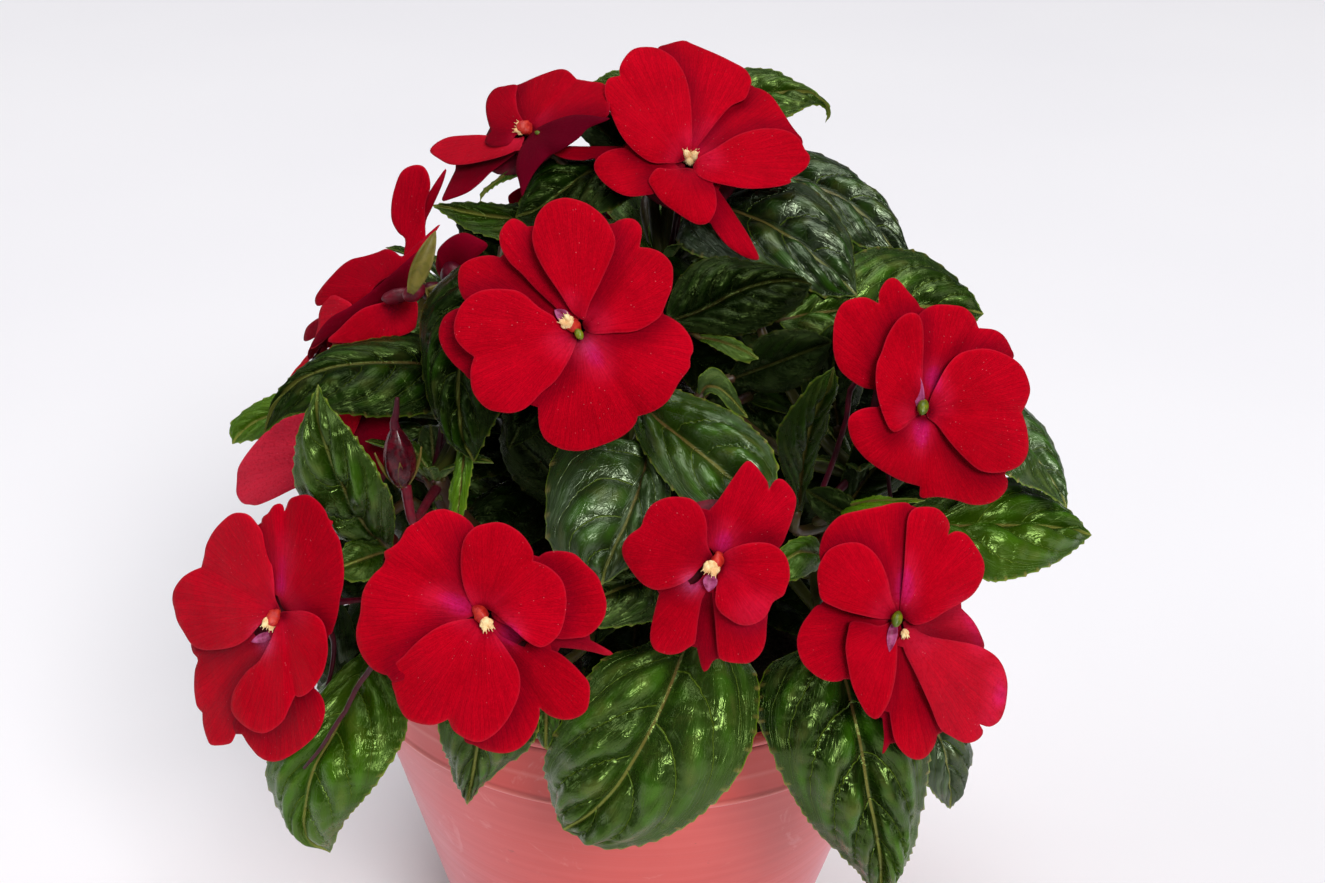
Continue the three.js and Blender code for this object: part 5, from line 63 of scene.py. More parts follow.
    {"name":"flower_10","P":[-63.6,-50,182.22],"n":[-0.4465,-0.8397,0.309],"g":[0.1567,-0.8841,0.4402],"own":False,"stalk":[[-59.4,-42,179.3],[-58,-39.5,178.4],[-50.7,-45.2,173.8],[-43.3,-50.8,173.8]],"spur":[[-59.8,-42.9,179.6],[-58.7,-40.8,175.8],[-56.8,-37.2,167.8],[-57.8,-39,158.8],[-59.6,-42.5,154.8]],"lobes":[{"petal":4,"layer":-0.6,"org":[-63.6,-50,182.22],"r":[0.8985,-0.4389,0],"u":[0.1409,0.2885,0.9471],"pts":[[0.4,-0.8],[1.2,3.8],[2.7,7.3],[6.2,9.4],[10.1,9.3],[11.6,6.1],[11.6,1.7],[11.5,-1.9],[10,-4],[6.6,-3.4]],"dark":0.75},{"petal":1,"layer":-0.2,"org":[-63.6,-50,182.22],"r":[0.8829,-0.4695,0],"u":[0.1451,0.2728,0.9511],"pts":[[-0.3,0.1],[-3.9,3.8],[-4.7,8.1],[-2.7,10.8],[1,10.9],[3,8.7],[2.5,5.3],[1.5,2.4]]},{"petal":3,"layer":0.5,"org":[-63.6,-50,182.22],"r":[0.8668,-0.4986,0],"u":[0.1472,0.2559,0.9554],"pts":[[0.3,-0.4],[-3.7,3.8],[-8.4,4.9],[-11.9,4.5],[-15.3,3],[-18.4,1.1],[-22.8,-3.4],[-26.1,-8],[-28.3,-12.2],[-28.3,-15.5,1],[-27.8,-18.2],[-25.8,-19.8],[-23.5,-19.6],[-21.2,-19],[-16.8,-16.2],[-11.7,-12.6],[-4.9,-8.5]],"pink":0.52},{"petal":5,"layer":-0.9,"org":[-63.6,-50,182.22],"r":[0.8939,-0.4482,0],"u":[0.1022,0.2038,0.9737],"pts":[[0.6,-0.8],[5.9,-3.6],[8.9,-7.4],[8.4,-11.6],[3.4,-14.2],[-2.5,-14.1],[-6,-11],[-4.7,-6.1]]}],"parts":[],"spots":[[2.82,-15.99,3.71,0,0.2]]},
    {"name":"flower_11","P":[-42.61,-22,212.39],"n":[-0.4415,0.7647,0.4695],"g":[0.1065,-0.9257,0.363],"own":True,"stalk":[[-38.4,-29.3,207.9],[-37.1,-31.6,206.5],[-40.5,-41.8,186.8],[-44,-52,176]],"spur":[[-38.6,-28.9,208.2],[-37.1,-31.5,202.2],[-36.6,-32.3,194.2],[-38.1,-29.7,187.2]],"lobes":[{"petal":1,"layer":0,"org":[-42.61,-22,212.39],"r":[0.9397,-0.342,0],"u":[0.117,0.3214,0.9397],"pts":[[-0.9,-0.8],[-3.7,1.7],[-4.1,4.3],[-2.2,6.9],[0,8.5],[2.1,9.1],[4.7,8.5],[7.8,7.2],[5.8,4.5],[3,1.8]],"dark":0.7},{"petal":2,"layer":0,"org":[-42.61,-17,212.39],"r":[0.766,-0.6428,0],"u":[0.1116,0.133,0.9848],"pts":[[-0.3,-3.4],[-4.1,-3.9],[-5.8,-1.5],[-4.9,1.5],[-1.3,3.4],[1.6,1.8]],"dark":0.7},{"petal":3,"layer":0,"org":[-42.61,-14,212.39],"r":[-0.9397,-0.342,0],"u":[0.0594,-0.1632,0.9848],"pts":[[0.8,-4.1],[-1.5,-2.5],[-5.3,-3.5],[-7.3,-6.9],[-6,-11.1],[-2.7,-12.3],[0.7,-9.7]],"dark":0.7}],"parts":[],"spots":[]},
    {"name":"flower_12","P":[-24.72,56.86,201],"n":[-0.3141,0.6735,0.6691],"g":[-0.3141,0.6735,0.6691],"own":False,"stalk":[[-21.7,50.5,194.6],[-20.8,48.4,192.6],[-10.4,48.2,188.8],[0,48,190]],"spur":[[-22.1,51.1,195.3],[-21.3,49.4,190.6],[-19.6,45.8,182.6],[-20.4,47.6,173.6],[-22.1,51.3,169.6]],"lobes":[{"petal":1,"layer":0.6,"org":[-24.72,56.86,201],"r":[-0.9063,-0.4226,0],"u":[0.2828,-0.6064,0.7431],"pts":[[0,1.6],[-5.9,5.9],[-11.9,13.5],[-13.5,20],[-10.8,25.1],[-5.4,27],[0,23.8,1],[5.9,27],[11.1,24.8],[13.5,19.4],[11.6,13],[5.9,5.9]]},{"petal":2,"layer":0.0,"org":[-24.72,56.86,201],"r":[-0.9063,-0.4226,0],"u":[0.2828,-0.6064,0.7431],"pts":[[0.9,0.3],[2.3,4.5],[5.5,9.3],[8.9,11.4],[12.4,10.8],[14.4,8.1],[13.6,4.4,1],[16.6,1.6],[16.3,-1.7],[13.6,-4.1],[9.6,-4.2],[4.5,-2.3]]},{"petal":3,"layer":0.3,"org":[-24.72,56.86,201],"r":[-0.9063,-0.4226,0],"u":[0.2828,-0.6064,0.7431],"pts":[[-1.6,0.5],[-8,-4.1],[-17.7,-7.7],[-24.9,-7.2],[-29.2,-2.7],[-29.4,3.5],[-24.3,7.9,1],[-25.6,15],[-21.7,19.6],[-15.4,20.2],[-9.4,16.2],[-4.1,8]]},{"petal":4,"layer":-0.6,"org":[-24.72,56.86,201],"r":[-0.9063,-0.4226,0],"u":[0.2828,-0.6064,0.7431],"pts":[[0.7,-1],[6.5,-0.7],[13.8,-2.3],[17.7,-5.4],[18.1,-9.8],[15.3,-13.6],[10.3,-14.2,1],[7.8,-19],[3.4,-20.2],[-0.5,-18.2],[-2.1,-13.4],[-1.4,-6.4]]},{"petal":5,"layer":-0.9,"org":[-24.72,56.86,201],"r":[-0.9063,-0.4226,0],"u":[0.2828,-0.6064,0.7431],"pts":[[-1,-1.4],[1.2,-8.5],[1.4,-18.3],[-1.3,-24.7],[-6.6,-27.4],[-12.1,-25.8],[-14.5,-19.9,1],[-21.3,-19.2],[-24.1,-14.3],[-22.8,-8.4],[-17.3,-4],[-8.4,-1.5]]}],"parts":[{"kind":"body","c":[-24.74,56.9,201.85],"d":[-0.421,0.903,0.089],"l":5.0,"w":2.6},{"kind":"cap","c":[-25.7,58.96,202.01],"d":[-0.421,0.903,0.089],"l":3.6,"w":3.6}],"spots":[]},
    {"name":"flower_13","P":[36.91,54.72,204],"n":[0.4407,0.6533,0.6157],"g":[0.4407,0.6533,0.6157],"own":False,"stalk":[[32.7,48.5,198.2],[31.4,46.6,196.3],[38.7,36.3,190],[46,26,190]],"spur":[[33.2,49.2,198.8],[32.1,47.5,194.2],[29.8,44.2,186.2],[30.9,45.9,177.2],[33.2,49.2,173.2]],"lobes":[{"petal":1,"layer":0.6,"org":[36.91,54.72,204],"r":[-0.829,0.5592,0],"u":[-0.3443,-0.5104,0.788],"pts":[[0,1.6],[-5.9,5.9],[-11.9,13.5],[-13.5,20],[-10.8,25.1],[-5.4,27],[0,23.8,1],[5.9,27],[11.1,24.8],[13.5,19.4],[11.6,13],[5.9,5.9]]},{"petal":2,"layer":0.0,"org":[36.91,54.72,204],"r":[-0.829,0.5592,0],"u":[-0.3443,-0.5104,0.788],"pts":[[1.6,0.5],[4,7.8],[9.5,16],[15.4,19.7],[21.3,18.7],[24.9,14],[23.4,7.6,1],[28.5,2.8],[28.1,-3],[23.5,-7.1],[16.5,-7.3],[7.8,-4]]},{"petal":3,"layer":0.3,"org":[36.91,54.72,204],"r":[-0.829,0.5592,0],"u":[-0.3443,-0.5104,0.788],"pts":[[-1.6,0.5],[-8,-4.1],[-17.7,-7.7],[-24.9,-7.2],[-29.2,-2.7],[-29.4,3.5],[-24.3,7.9,1],[-25.6,15],[-21.7,19.6],[-15.4,20.2],[-9.4,16.2],[-4.1,8]]},{"petal":4,"layer":-0.6,"org":[36.91,54.72,204],"r":[-0.829,0.5592,0],"u":[-0.3443,-0.5104,0.788],"pts":[[0.9,-1.3],[8.8,-0.9],[18.6,-3.2],[23.9,-7.3],[24.5,-13.3],[20.7,-18.3],[14,-19.2,1],[10.5,-25.7],[4.7,-27.3],[-0.7,-24.5],[-2.8,-18.1],[-1.9,-8.7]]},{"petal":5,"layer":-0.9,"org":[36.91,54.72,204],"r":[-0.829,0.5592,0],"u":[-0.3443,-0.5104,0.788],"pts":[[-1,-1.4],[1.2,-8.5],[1.4,-18.3],[-1.3,-24.7],[-6.6,-27.4],[-12.1,-25.8],[-14.5,-19.9,1],[-21.3,-19.2],[-24.1,-14.3],[-22.8,-8.4],[-17.3,-4],[-8.4,-1.5]]}],"parts":[{"kind":"body","c":[36.96,54.8,204.84],"d":[0.559,0.829,0.02],"l":5.0,"w":2.6},{"kind":"cap","c":[38.24,56.69,204.85],"d":[0.559,0.829,0.02],"l":3.6,"w":3.6}],"spots":[]},
    {"name":"flower_14","P":[-77.62,19.35,176],"n":[-0.7885,0.2562,0.5592],"g":[-0.7885,0.2562,0.5592],"own":False,"stalk":[[-70.1,16.9,170.7],[-67.8,16.2,169],[-54.9,21.1,165.2],[-42,26,168]],"spur":[[-70.9,17.2,171.2],[-69,16.5,166.8],[-65.1,15.3,158.8],[-67,15.9,149.8],[-70.9,17.2,145.8]],"lobes":[{"petal":1,"layer":0.6,"org":[-77.62,19.35,176],"r":[-0.309,-0.9511,0],"u":[0.5318,-0.1728,0.829],"pts":[[0,1.6],[-5.9,5.9],[-11.9,13.5],[-13.5,20],[-10.8,25.1],[-5.4,27],[0,23.8,1],[5.9,27],[11.1,24.8],[13.5,19.4],[11.6,13],[5.9,5.9]]},{"petal":2,"layer":0.0,"org":[-77.62,19.35,176],"r":[-0.309,-0.9511,0],"u":[0.5318,-0.1728,0.829],"pts":[[1.6,0.5],[4,7.8],[9.5,16],[15.4,19.7],[21.3,18.7],[24.9,14],[23.4,7.6,1],[28.5,2.8],[28.1,-3],[23.5,-7.1],[16.5,-7.3],[7.8,-4]]},{"petal":3,"layer":0.3,"org":[-77.62,19.35,176],"r":[-0.309,-0.9511,0],"u":[0.5318,-0.1728,0.829],"pts":[[-1.6,0.5],[-8,-4.1],[-17.7,-7.7],[-24.9,-7.2],[-29.2,-2.7],[-29.4,3.5],[-24.3,7.9,1],[-25.6,15],[-21.7,19.6],[-15.4,20.2],[-9.4,16.2],[-4.1,8]]},{"petal":4,"layer":-0.6,"org":[-77.62,19.35,176],"r":[-0.309,-0.9511,0],"u":[0.5318,-0.1728,0.829],"pts":[[0.9,-1.3],[8.8,-0.9],[18.6,-3.2],[23.9,-7.3],[24.5,-13.3],[20.7,-18.3],[14,-19.2,1],[10.5,-25.7],[4.7,-27.3],[-0.7,-24.5],[-2.8,-18.1],[-1.9,-8.7]]},{"petal":5,"layer":-0.9,"org":[-77.62,19.35,176],"r":[-0.309,-0.9511,0],"u":[0.5318,-0.1728,0.829],"pts":[[-1,-1.4],[1.2,-8.5],[1.4,-18.3],[-1.3,-24.7],[-6.6,-27.4],[-12.1,-25.8],[-14.5,-19.9,1],[-21.3,-19.2],[-24.1,-14.3],[-22.8,-8.4],[-17.3,-4],[-8.4,-1.5]]}],"parts":[{"kind":"body","c":[-77.78,19.4,176.83],"d":[-0.95,0.309,-0.05],"l":5.0,"w":2.6},{"kind":"cap","c":[-79.94,20.11,176.68],"d":[-0.95,0.309,-0.05],"l":3.6,"w":3.6}],"spots":[]},
]
# Leaves: rows of [midrib, left edge, right edge] from base to tip.
LEAVES = [
    {"name":"leaf_1","att":[-29.5,-29.5,144.3],"rows":[[[-57.1,-66,140.9],[-60.2,-66.5,139.3],[-55,-68.5,140.7]],[[-58.9,-74,138],[-65.9,-71.4,136],[-50.5,-76.4,138.7]],[[-61,-80.1,134.2],[-71.3,-76.6,132.8],[-47.4,-81.8,134.6]],[[-63.8,-84.5,129.5],[-76.2,-80.8,128.1],[-48.4,-86.3,129.7]],[[-67.2,-87.1,123.8],[-78.4,-83.1,120.2],[-51.6,-90.5,125.3]],[[-69.2,-87.8,115.9],[-76.8,-83.9,111.3],[-55.8,-92,119.7]],[[-70,-86.8,106.4],[-72.4,-85,104],[-61,-90.2,111.6]],[[-65.5,-84,98.8],[-65.5,-84,98.8],[-65.5,-84,98.8]]],"look":{"quilt":0.85,"veins":6.0,"lit":0.3,"cells":0.5}},
    {"name":"leaf_2","att":[-2.5,-41.3,147.6],"rows":[[[-29.5,-84,151.3],[-31.9,-84.4,150.7],[-27.3,-84.7,151]],[[-29.8,-89.4,149.5],[-35,-88.7,149.1],[-22.9,-89.2,149.3]],[[-30.3,-93.5,146.9],[-37.6,-92.3,146.7],[-19.4,-93.2,146.5]],[[-30.6,-96.2,143.4],[-39.3,-94.9,143],[-18.3,-96.4,142.2]],[[-31,-97.5,138.9],[-38.9,-96.2,138.3],[-20.7,-97.7,137]],[[-31.7,-97.4,133.5],[-37.5,-96,132.5],[-25.4,-97.5,133]],[[-32.7,-95.9,127],[-36,-94.7,126.1],[-29.8,-96.2,127.2]],[[-34,-93,119.4],[-34,-93,119.4],[-34,-93,119.4]]],"look":{"quilt":1.0,"veins":6}},
    {"name":"leaf_3","att":[-2.7,-46.1,153.3],"rows":[[[12.6,-82,157.4],[8.4,-83.3,157.1],[16,-82.4,156.3]],[[10,-89.6,154.1],[1,-86.6,156],[25.3,-87,152.3]],[[7.6,-95.4,149.8],[-6.1,-89.7,154.4],[26.6,-96.2,145.5]],[[4.7,-99.6,144.7],[-10.3,-94.1,149.8],[23.5,-102.6,137.6]],[[1.4,-102,138.7],[-14.2,-96.4,143.3],[16.8,-105.8,129.5]],[[-2.4,-102.7,131.8],[-17.2,-96.6,134.8],[7.7,-105.9,122]],[[-7.5,-101.7,124.6],[-16.3,-96.9,125.5],[-2.8,-103.6,117]],[[-13.3,-99,118.1],[-13.3,-99,118.1],[-13.3,-99,118.1]]],"look":{"quilt":1.25,"veins":5.0,"grey":0.12,"lit":0.08}},
    {"name":"leaf_4","att":[40.8,-38.5,152.6],"rows":[[[42.1,-80,154.7],[38.5,-80.6,153.7],[45.9,-80.8,154]],[[44.5,-87.1,150.3],[29.3,-84,151.2],[54.7,-83.4,152.1]],[[46.4,-92.4,144.7],[26.1,-91.5,145.6],[61.9,-87.1,147.6]],[[48.3,-95.9,137.8],[29.2,-96.8,138.1],[63.3,-91.5,139.7]],[[49.9,-97.6,129.6],[33.8,-99.4,129.3],[62.8,-93.9,130]],[[52.2,-97.6,120],[39.9,-99.4,119.5],[62,-94.2,118.7]],[[54.3,-95.7,108.7],[47.9,-96.8,109.1],[60,-93.4,106.7]],[[55.4,-92,95.5],[55.4,-92,95.5],[55.4,-92,95.5]]],"look":{"quilt":1.15,"veins":6.5,"lit_edge":(1,0.45,0.9,0.4)}},
    {"name":"leaf_5","att":[34.5,-31.9,144.2],"rows":[[[60.1,-66,138.3],[57,-72,140],[63.7,-60.8,135.1]],[[62.2,-70.7,136.8],[58,-76.7,138],[67,-65.1,133.8]],[[64.3,-74.3,134.6],[59.3,-79.4,134.8],[70,-69.7,132.4]],[[66.2,-77,131.5],[60.6,-81.6,131.3],[72.6,-72.5,129.2]],[[67.9,-78.7,127.6],[61.9,-83.3,127.3],[74.9,-73.6,124.6]],[[69.3,-79.5,122.8],[63.5,-84.1,122.8],[74.9,-74.7,119.4]],[[70.3,-79.2,117.2],[66.6,-82.4,117.4],[73.7,-75.5,114]],[[71,-78,110.6],[71,-78,110.6],[71,-78,110.6]]],"look":{"quilt":1.0,"grey":0.1,"satin":True}},
    {"name":"leaf_6","att":[46.8,-45.7,168.2],"rows":[[[56.7,-62,173],[56.8,-59.6,174.7],[56.5,-64.9,172]],[[63,-59.5,171.5],[63.4,-53.8,175.2],[61.9,-67,168.8]],[[69.3,-57.2,170.4],[70.3,-49.1,175.7],[67.6,-68.7,166]],[[75.7,-55,169.6],[77.5,-45.2,175.9],[73.9,-69.1,163.9]],[[82.1,-53,168.7],[84.7,-43,175],[80.9,-66.8,162.9]],[[88.5,-51.2,167.8],[90.9,-44.1,172],[87.9,-62.5,163]],[[95,-49.5,166.2],[96.9,-45.4,168.4],[94.8,-56.1,163.3]],[[101.4,-48,164],[101.4,-48,164],[101.4,-48,164]]],"look":{"quilt":1.05,"veins":4.5,"lit":0.24}},
    {"name":"leaf_7","att":[48,-48,178],"rows":[[[72.6,-36,187],[72.2,-29.9,187.8],[70.1,-44.3,186.7]],[[76.5,-39.1,187],[77.9,-30.1,188.6],[72.1,-50.5,186.4]],[[80.3,-42,186.5],[83.6,-31.1,189],[74.6,-55,185.5]],[[83.8,-44.7,185.1],[87.9,-35,187.6],[77.6,-57.7,184]],[[86.8,-47.3,183],[90.6,-40.2,184.9],[81.3,-57.9,181.9]],[[89.4,-49.7,180.2],[92.7,-44.7,181.4],[85.8,-55.9,179.6]],[[91.7,-51.9,177.1],[94.2,-49.1,177.5],[89.8,-55,176.9]],[[93.8,-54,173.8],[93.8,-54,173.8],[93.8,-54,173.8]]],"look":{"satin":True,"grey":0.12,"lit":0.1}},
    {"name":"leaf_8","att":[48,-48,178],"rows":[[[31.6,-36,209],[31.6,-33.9,210.7],[31.8,-38.8,207.5]],[[37.8,-33.5,209.5],[37.3,-27.8,214.1],[37.6,-41.6,205.5]],[[44.1,-31.2,209.5],[43.7,-21.7,217],[44,-42.6,204]],[[50.6,-29,209.1],[51.2,-16.7,218.7],[50.7,-41.7,202.9]],[[57.1,-27,208.9],[59.3,-14.6,218.1],[57.6,-39.5,202.6]],[[63.7,-25.2,208.5],[66.5,-15.7,215.2],[64.5,-36,203]],[[70.3,-23.5,207.5],[72.7,-18.1,210.9],[71,-30,204.1]],[[76.9,-22,205.7],[76.9,-22,205.7],[76.9,-22,205.7]]],"look":{"quilt":0.9,"lit":0.05,"cells":0.4,"dark":0.1}},
    {"name":"leaf_9","att":[5,-10,210],"rows":[[[27.3,6,228.3],[27.9,12,229.8],[28.2,1.3,226.5]],[[33.6,2.4,228.4],[35.1,15.8,231.7],[32.5,-5,224.9]],[[39.6,-1.1,227.5],[42.3,10.9,230.7],[36.9,-9.9,223.1]],[[45.2,-4.4,225.9],[48.8,5.8,228.5],[41.5,-13.7,221.1]],[[50.2,-7.6,222.9],[54.4,1.1,225],[46.8,-14.6,219.2]],[[54.4,-10.5,219],[58.4,-4.3,220.2],[52.4,-13.9,217.2]],[[57.7,-13.3,214.3],[60.8,-9.6,214.6],[56.7,-14.7,213.6]],[[60.2,-16,209.1],[60.2,-16,209.1],[60.2,-16,209.1]]],"look":{"cells":0.3,"quilt":0.8,"grey":0.0,"dark":0.22,"satin":True,"veins":5.5}},
    {"name":"leaf_10","att":[5,-10,210],"rows":[[[10.2,-4.7,224.7],[11.8,-1,225.9],[9.1,-8.2,223.1]],[[16.4,-10.4,225.5],[19.5,-4,227.7],[7.2,-17.3,219.1]],[[22.4,-15.4,225.6],[27.2,-5.8,229.3],[13.4,-24.7,218.5]],[[28.1,-19.8,224.6],[34.8,-6.4,230.2],[20.3,-28.3,218.4]],[[33.4,-23.5,222.7],[40.9,-12,227.8],[27,-31,217.3]],[[38.1,-26.6,219.8],[45.3,-18,223.5],[33.7,-32.3,215.4]],[[42.8,-29,216.5],[46.8,-24.6,218.2],[40.4,-32.7,213.3]],[[47.4,-30.8,212.7],[47.4,-30.8,212.7],[47.4,-30.8,212.7]]],"look":{"cells":0.2,"quilt":0.85,"grey":0.0,"dark":0.3,"satin":True,"veins":5.5}},
    {"name":"leaf_11","att":[-3,-60,186],"rows":[[[6.7,-44,211.4],[5.8,-42.5,214.2],[7.7,-45.3,209.6]],[[11,-42.9,212.5],[7.4,-39.8,218.6],[12.4,-45.3,209.1]],[[15.1,-41.7,214.1],[11,-37.8,222],[17.2,-45.6,208.6]],[[19,-40.6,216.1],[16.1,-36.9,223.4],[22,-45.6,208.9]],[[23.2,-39.4,217.6],[21.4,-36.6,222.9],[26.4,-44.6,210.5]],[[27.6,-38.3,218.5],[26.8,-36.5,221.8],[30.7,-42.8,212.2]],[[32.2,-37.1,218.5],[32.1,-36.1,220.4],[34.6,-39.8,214.2]],[[36.8,-36,217.3],[36.8,-36,217.3],[36.8,-36,217.3]]],"look":{"dark":0.88,"quilt":1.2}},
    {"name":"leaf_12","att":[5,-10,210],"rows":[[[17.2,14,241],[16.7,16.9,244],[18.7,9.9,238.4]],[[19.3,14.1,242],[18.4,17.9,245.8],[20.6,8.3,238.1]],[[21.4,14.2,243.1],[20.2,19.1,247.6],[22.6,6.5,238]],[[23.6,14.2,243.8],[22.3,20.2,249],[24.7,5.4,238.4]],[[25.9,14.2,244.3],[25,19.9,249.1],[26.8,5.3,239.1]],[[28.1,14.2,244.8],[27.6,19.2,249],[28.7,5.6,239.8]],[[30.4,14.1,245.1],[30.2,18.3,248.7],[30.7,6.2,240.6]],[[32.7,13.9,245.5],[32.7,17.1,248.1],[32.4,7.2,241.6]],[[35,13.7,245.6],[35.1,15.8,247.3],[34.4,7.6,242.2]],[[37.3,13.5,245.2],[37.4,14.6,246.2],[36.4,9.1,242.8]],[[39.4,13.2,244.2],[39.5,13.8,244.8],[38.4,11.2,243.2]],[[41.2,12.8,242.8],[41.6,13.3,243.2],[40.5,12.3,242.7]],[[42.1,12.4,240.7],[42.6,12.5,240.9],[41.6,12.3,240.8]],[[41.4,12,238.7],[41.4,12,238.7],[41.4,12,238.7]]],"look":{"lit":0.12,"dark":0.1,"cells":0.5}},
    {"name":"leaf_13","att":[5,-10,210],"rows":[[[0.4,-2.3,233.2],[-0.1,1.3,234.9],[1.4,-6.5,231.8]],[[-4.3,-6.3,233.8],[-5.5,-3,235.7],[-1.3,-15.3,230.2]],[[-8.9,-9.9,234.3],[-10.6,-8.3,235.7],[-5.3,-21.8,229.2]],[[-13.1,-13,233.4],[-15.8,-10.2,235.5],[-9.6,-24.5,227.5]],[[-16.8,-15.6,231.3],[-21.2,-10.2,235.4],[-14.2,-25.1,225.4]],[[-20.4,-17.7,228.9],[-25.3,-12.3,233],[-19,-25.3,223.6]],[[-24.2,-19.3,226.5],[-27.1,-16,229],[-24.1,-23.6,223.5]],[[-28.5,-20.4,225.2],[-28.5,-20.4,225.2],[-28.5,-20.4,225.2]]],"look":{"dark":0.74}},
    {"name":"leaf_14","att":[5,-10,210],"rows":[[[-11.8,-24,224.9],[-11.9,-21.8,226.8],[-11.6,-27.3,222.8]],[[-17.1,-19.2,223.5],[-17,-16.3,226.4],[-17.1,-23.5,220.4]],[[-22.4,-15,222.4],[-22.3,-12.1,225.6],[-22.6,-19.7,218.5]],[[-27.8,-11.5,221.5],[-27.7,-9,224.5],[-28.3,-15.8,217.5]],[[-33.2,-8.7,220.9],[-33.1,-6.6,223.5],[-34,-12.5,217]],[[-38.6,-6.4,220.7],[-38.6,-4.7,222.9],[-39.4,-9.4,217.5]],[[-43.9,-4.9,221.1],[-43.9,-3.8,222.5],[-44.4,-6.5,219.3]],[[-49.1,-4,221.7],[-49.1,-4,221.7],[-49.1,-4,221.7]]],"look":{"dark":0.16,"lit":0.14,"grey":0.0}},
    {"name":"leaf_15","att":[5,-10,210],"rows":[[[-30.7,-40,221.3],[-33.6,-38,221.2],[-27.4,-43.2,220.4]],[[-33.4,-46.2,217.9],[-41.1,-38.2,218.9],[-24.1,-50.6,217.5]],[[-35.6,-51.5,213.8],[-45.7,-43.1,214.4],[-22.7,-57.2,213.9]],[[-37,-56,209.3],[-46.7,-49.6,208.9],[-23.2,-62.2,209.6]],[[-37.5,-59.8,204.2],[-45.5,-55.3,203.1],[-25.3,-64.8,204.7]],[[-37.3,-62.7,198.7],[-43.6,-59.7,196.9],[-28.1,-66,199.3]],[[-36.3,-64.7,192.9],[-40,-63.3,191.1],[-30.9,-66.4,193.5]],[[-33.9,-66,187.2],[-33.9,-66,187.2],[-33.9,-66,187.2]]],"look":{"dark":0.54}},
    {"name":"leaf_16","att":[-44,-52,176],"rows":[[[-41.5,-44,198.8],[-40.8,-46.3,196.5],[-41.4,-40.1,200.8]],[[-47.8,-46.3,200.8],[-43.4,-53.1,193.3],[-47.5,-38.9,204.4]],[[-54.2,-48.6,201.8],[-48.8,-57.6,193.2],[-54.6,-42,205.1]],[[-60.5,-50.9,202.3],[-54.8,-60,194.4],[-61.4,-45.5,205]],[[-66.6,-53.1,201.8],[-60.9,-61.7,195.3],[-67.9,-49.1,203.8]],[[-72.3,-55.4,199.6],[-67.2,-61.3,195.7],[-73.2,-53.4,200.7]],[[-76.6,-57.7,195.2],[-73.6,-60,193.8],[-77.3,-56.8,195.7]],[[-79.1,-60,189.5],[-79.1,-60,189.5],[-79.1,-60,189.5]]],"look":{"dark":0.6,"quilt":0.65}},
    {"name":"leaf_17","att":[-44,-52,176],"rows":[[[-70.1,-30,181.8],[-69.3,-32.5,180],[-70.8,-28,183.8]],[[-73.9,-29,181],[-72.2,-33.2,178],[-75.1,-25.8,184.2]],[[-77.6,-28.4,180.3],[-75.3,-33.7,176.4],[-79.5,-24.6,183.9]],[[-81.2,-28,179.5],[-78.6,-34,175.2],[-83.7,-24.7,182.5]],[[-84.7,-28,178.4],[-82.2,-33.2,174.9],[-87.6,-25.2,180.7]],[[-88,-28.4,177],[-85.8,-32.2,174.7],[-91.2,-26,178.4]],[[-90.8,-29,174.7],[-89.4,-31.2,173.4],[-93.6,-27.3,175.2]],[[-93,-30,172],[-93,-30,172],[-93,-30,172]]],"look":{"lit":0.5}},
    {"name":"leaf_18","att":[-40.1,-45.2,162.9],"rows":[[[-52.4,-68,167.5],[-54,-68.3,166.8],[-51.2,-68.3,168.4]],[[-55.7,-71.7,173.7],[-60,-70.7,169.8],[-49.6,-73.9,177.7]],[[-58.2,-74.3,180],[-65.1,-72.2,174.4],[-49.9,-78.5,186.1]],[[-60.1,-75.7,186.2],[-68.6,-74.3,181],[-52.1,-78.8,191.4]],[[-62,-76,191.7],[-70.1,-75.3,188.3],[-55.1,-78,195.8]],[[-63.6,-75.1,196.9],[-69.3,-74.6,195],[-58,-76.5,199.9]],[[-64.7,-73.1,201.7],[-67.2,-72.9,200.9],[-62,-73.9,202.8]],[[-64.9,-70,206.1],[-64.9,-70,206.1],[-64.9,-70,206.1]]],"look":{"lit":0.12,"dark":0.34,"quilt":0.85,"veins":5.0}},
    {"name":"leaf_19","att":[-44,-52,176],"rows":[[[-36.4,-58,188.4],[-38.1,-57.8,187],[-34,-60,188.2]],[[-36.6,-60.1,184.8],[-38.8,-59.6,183.5],[-34.3,-62,184.8]],[[-36.9,-61.9,181.2],[-39.3,-61.2,179.9],[-35.1,-63.3,181]],[[-37.3,-63.4,177.3],[-39.8,-62.5,176.1],[-35.9,-64.4,177.1]],[[-37.8,-64.5,173.2],[-40.1,-63.6,172.2],[-36.5,-65.4,173.1]],[[-38.3,-65.3,169],[-40.4,-64.5,168.1],[-36.6,-66.5,169.1]],[[-38.8,-65.8,164.6],[-40,-65.3,163.9],[-37.5,-66.6,164.7]],[[-39.1,-66,159.9],[-39.1,-66,159.9],[-39.1,-66,159.9]]],"look":{"lit":0.75,"quilt":0.6}},
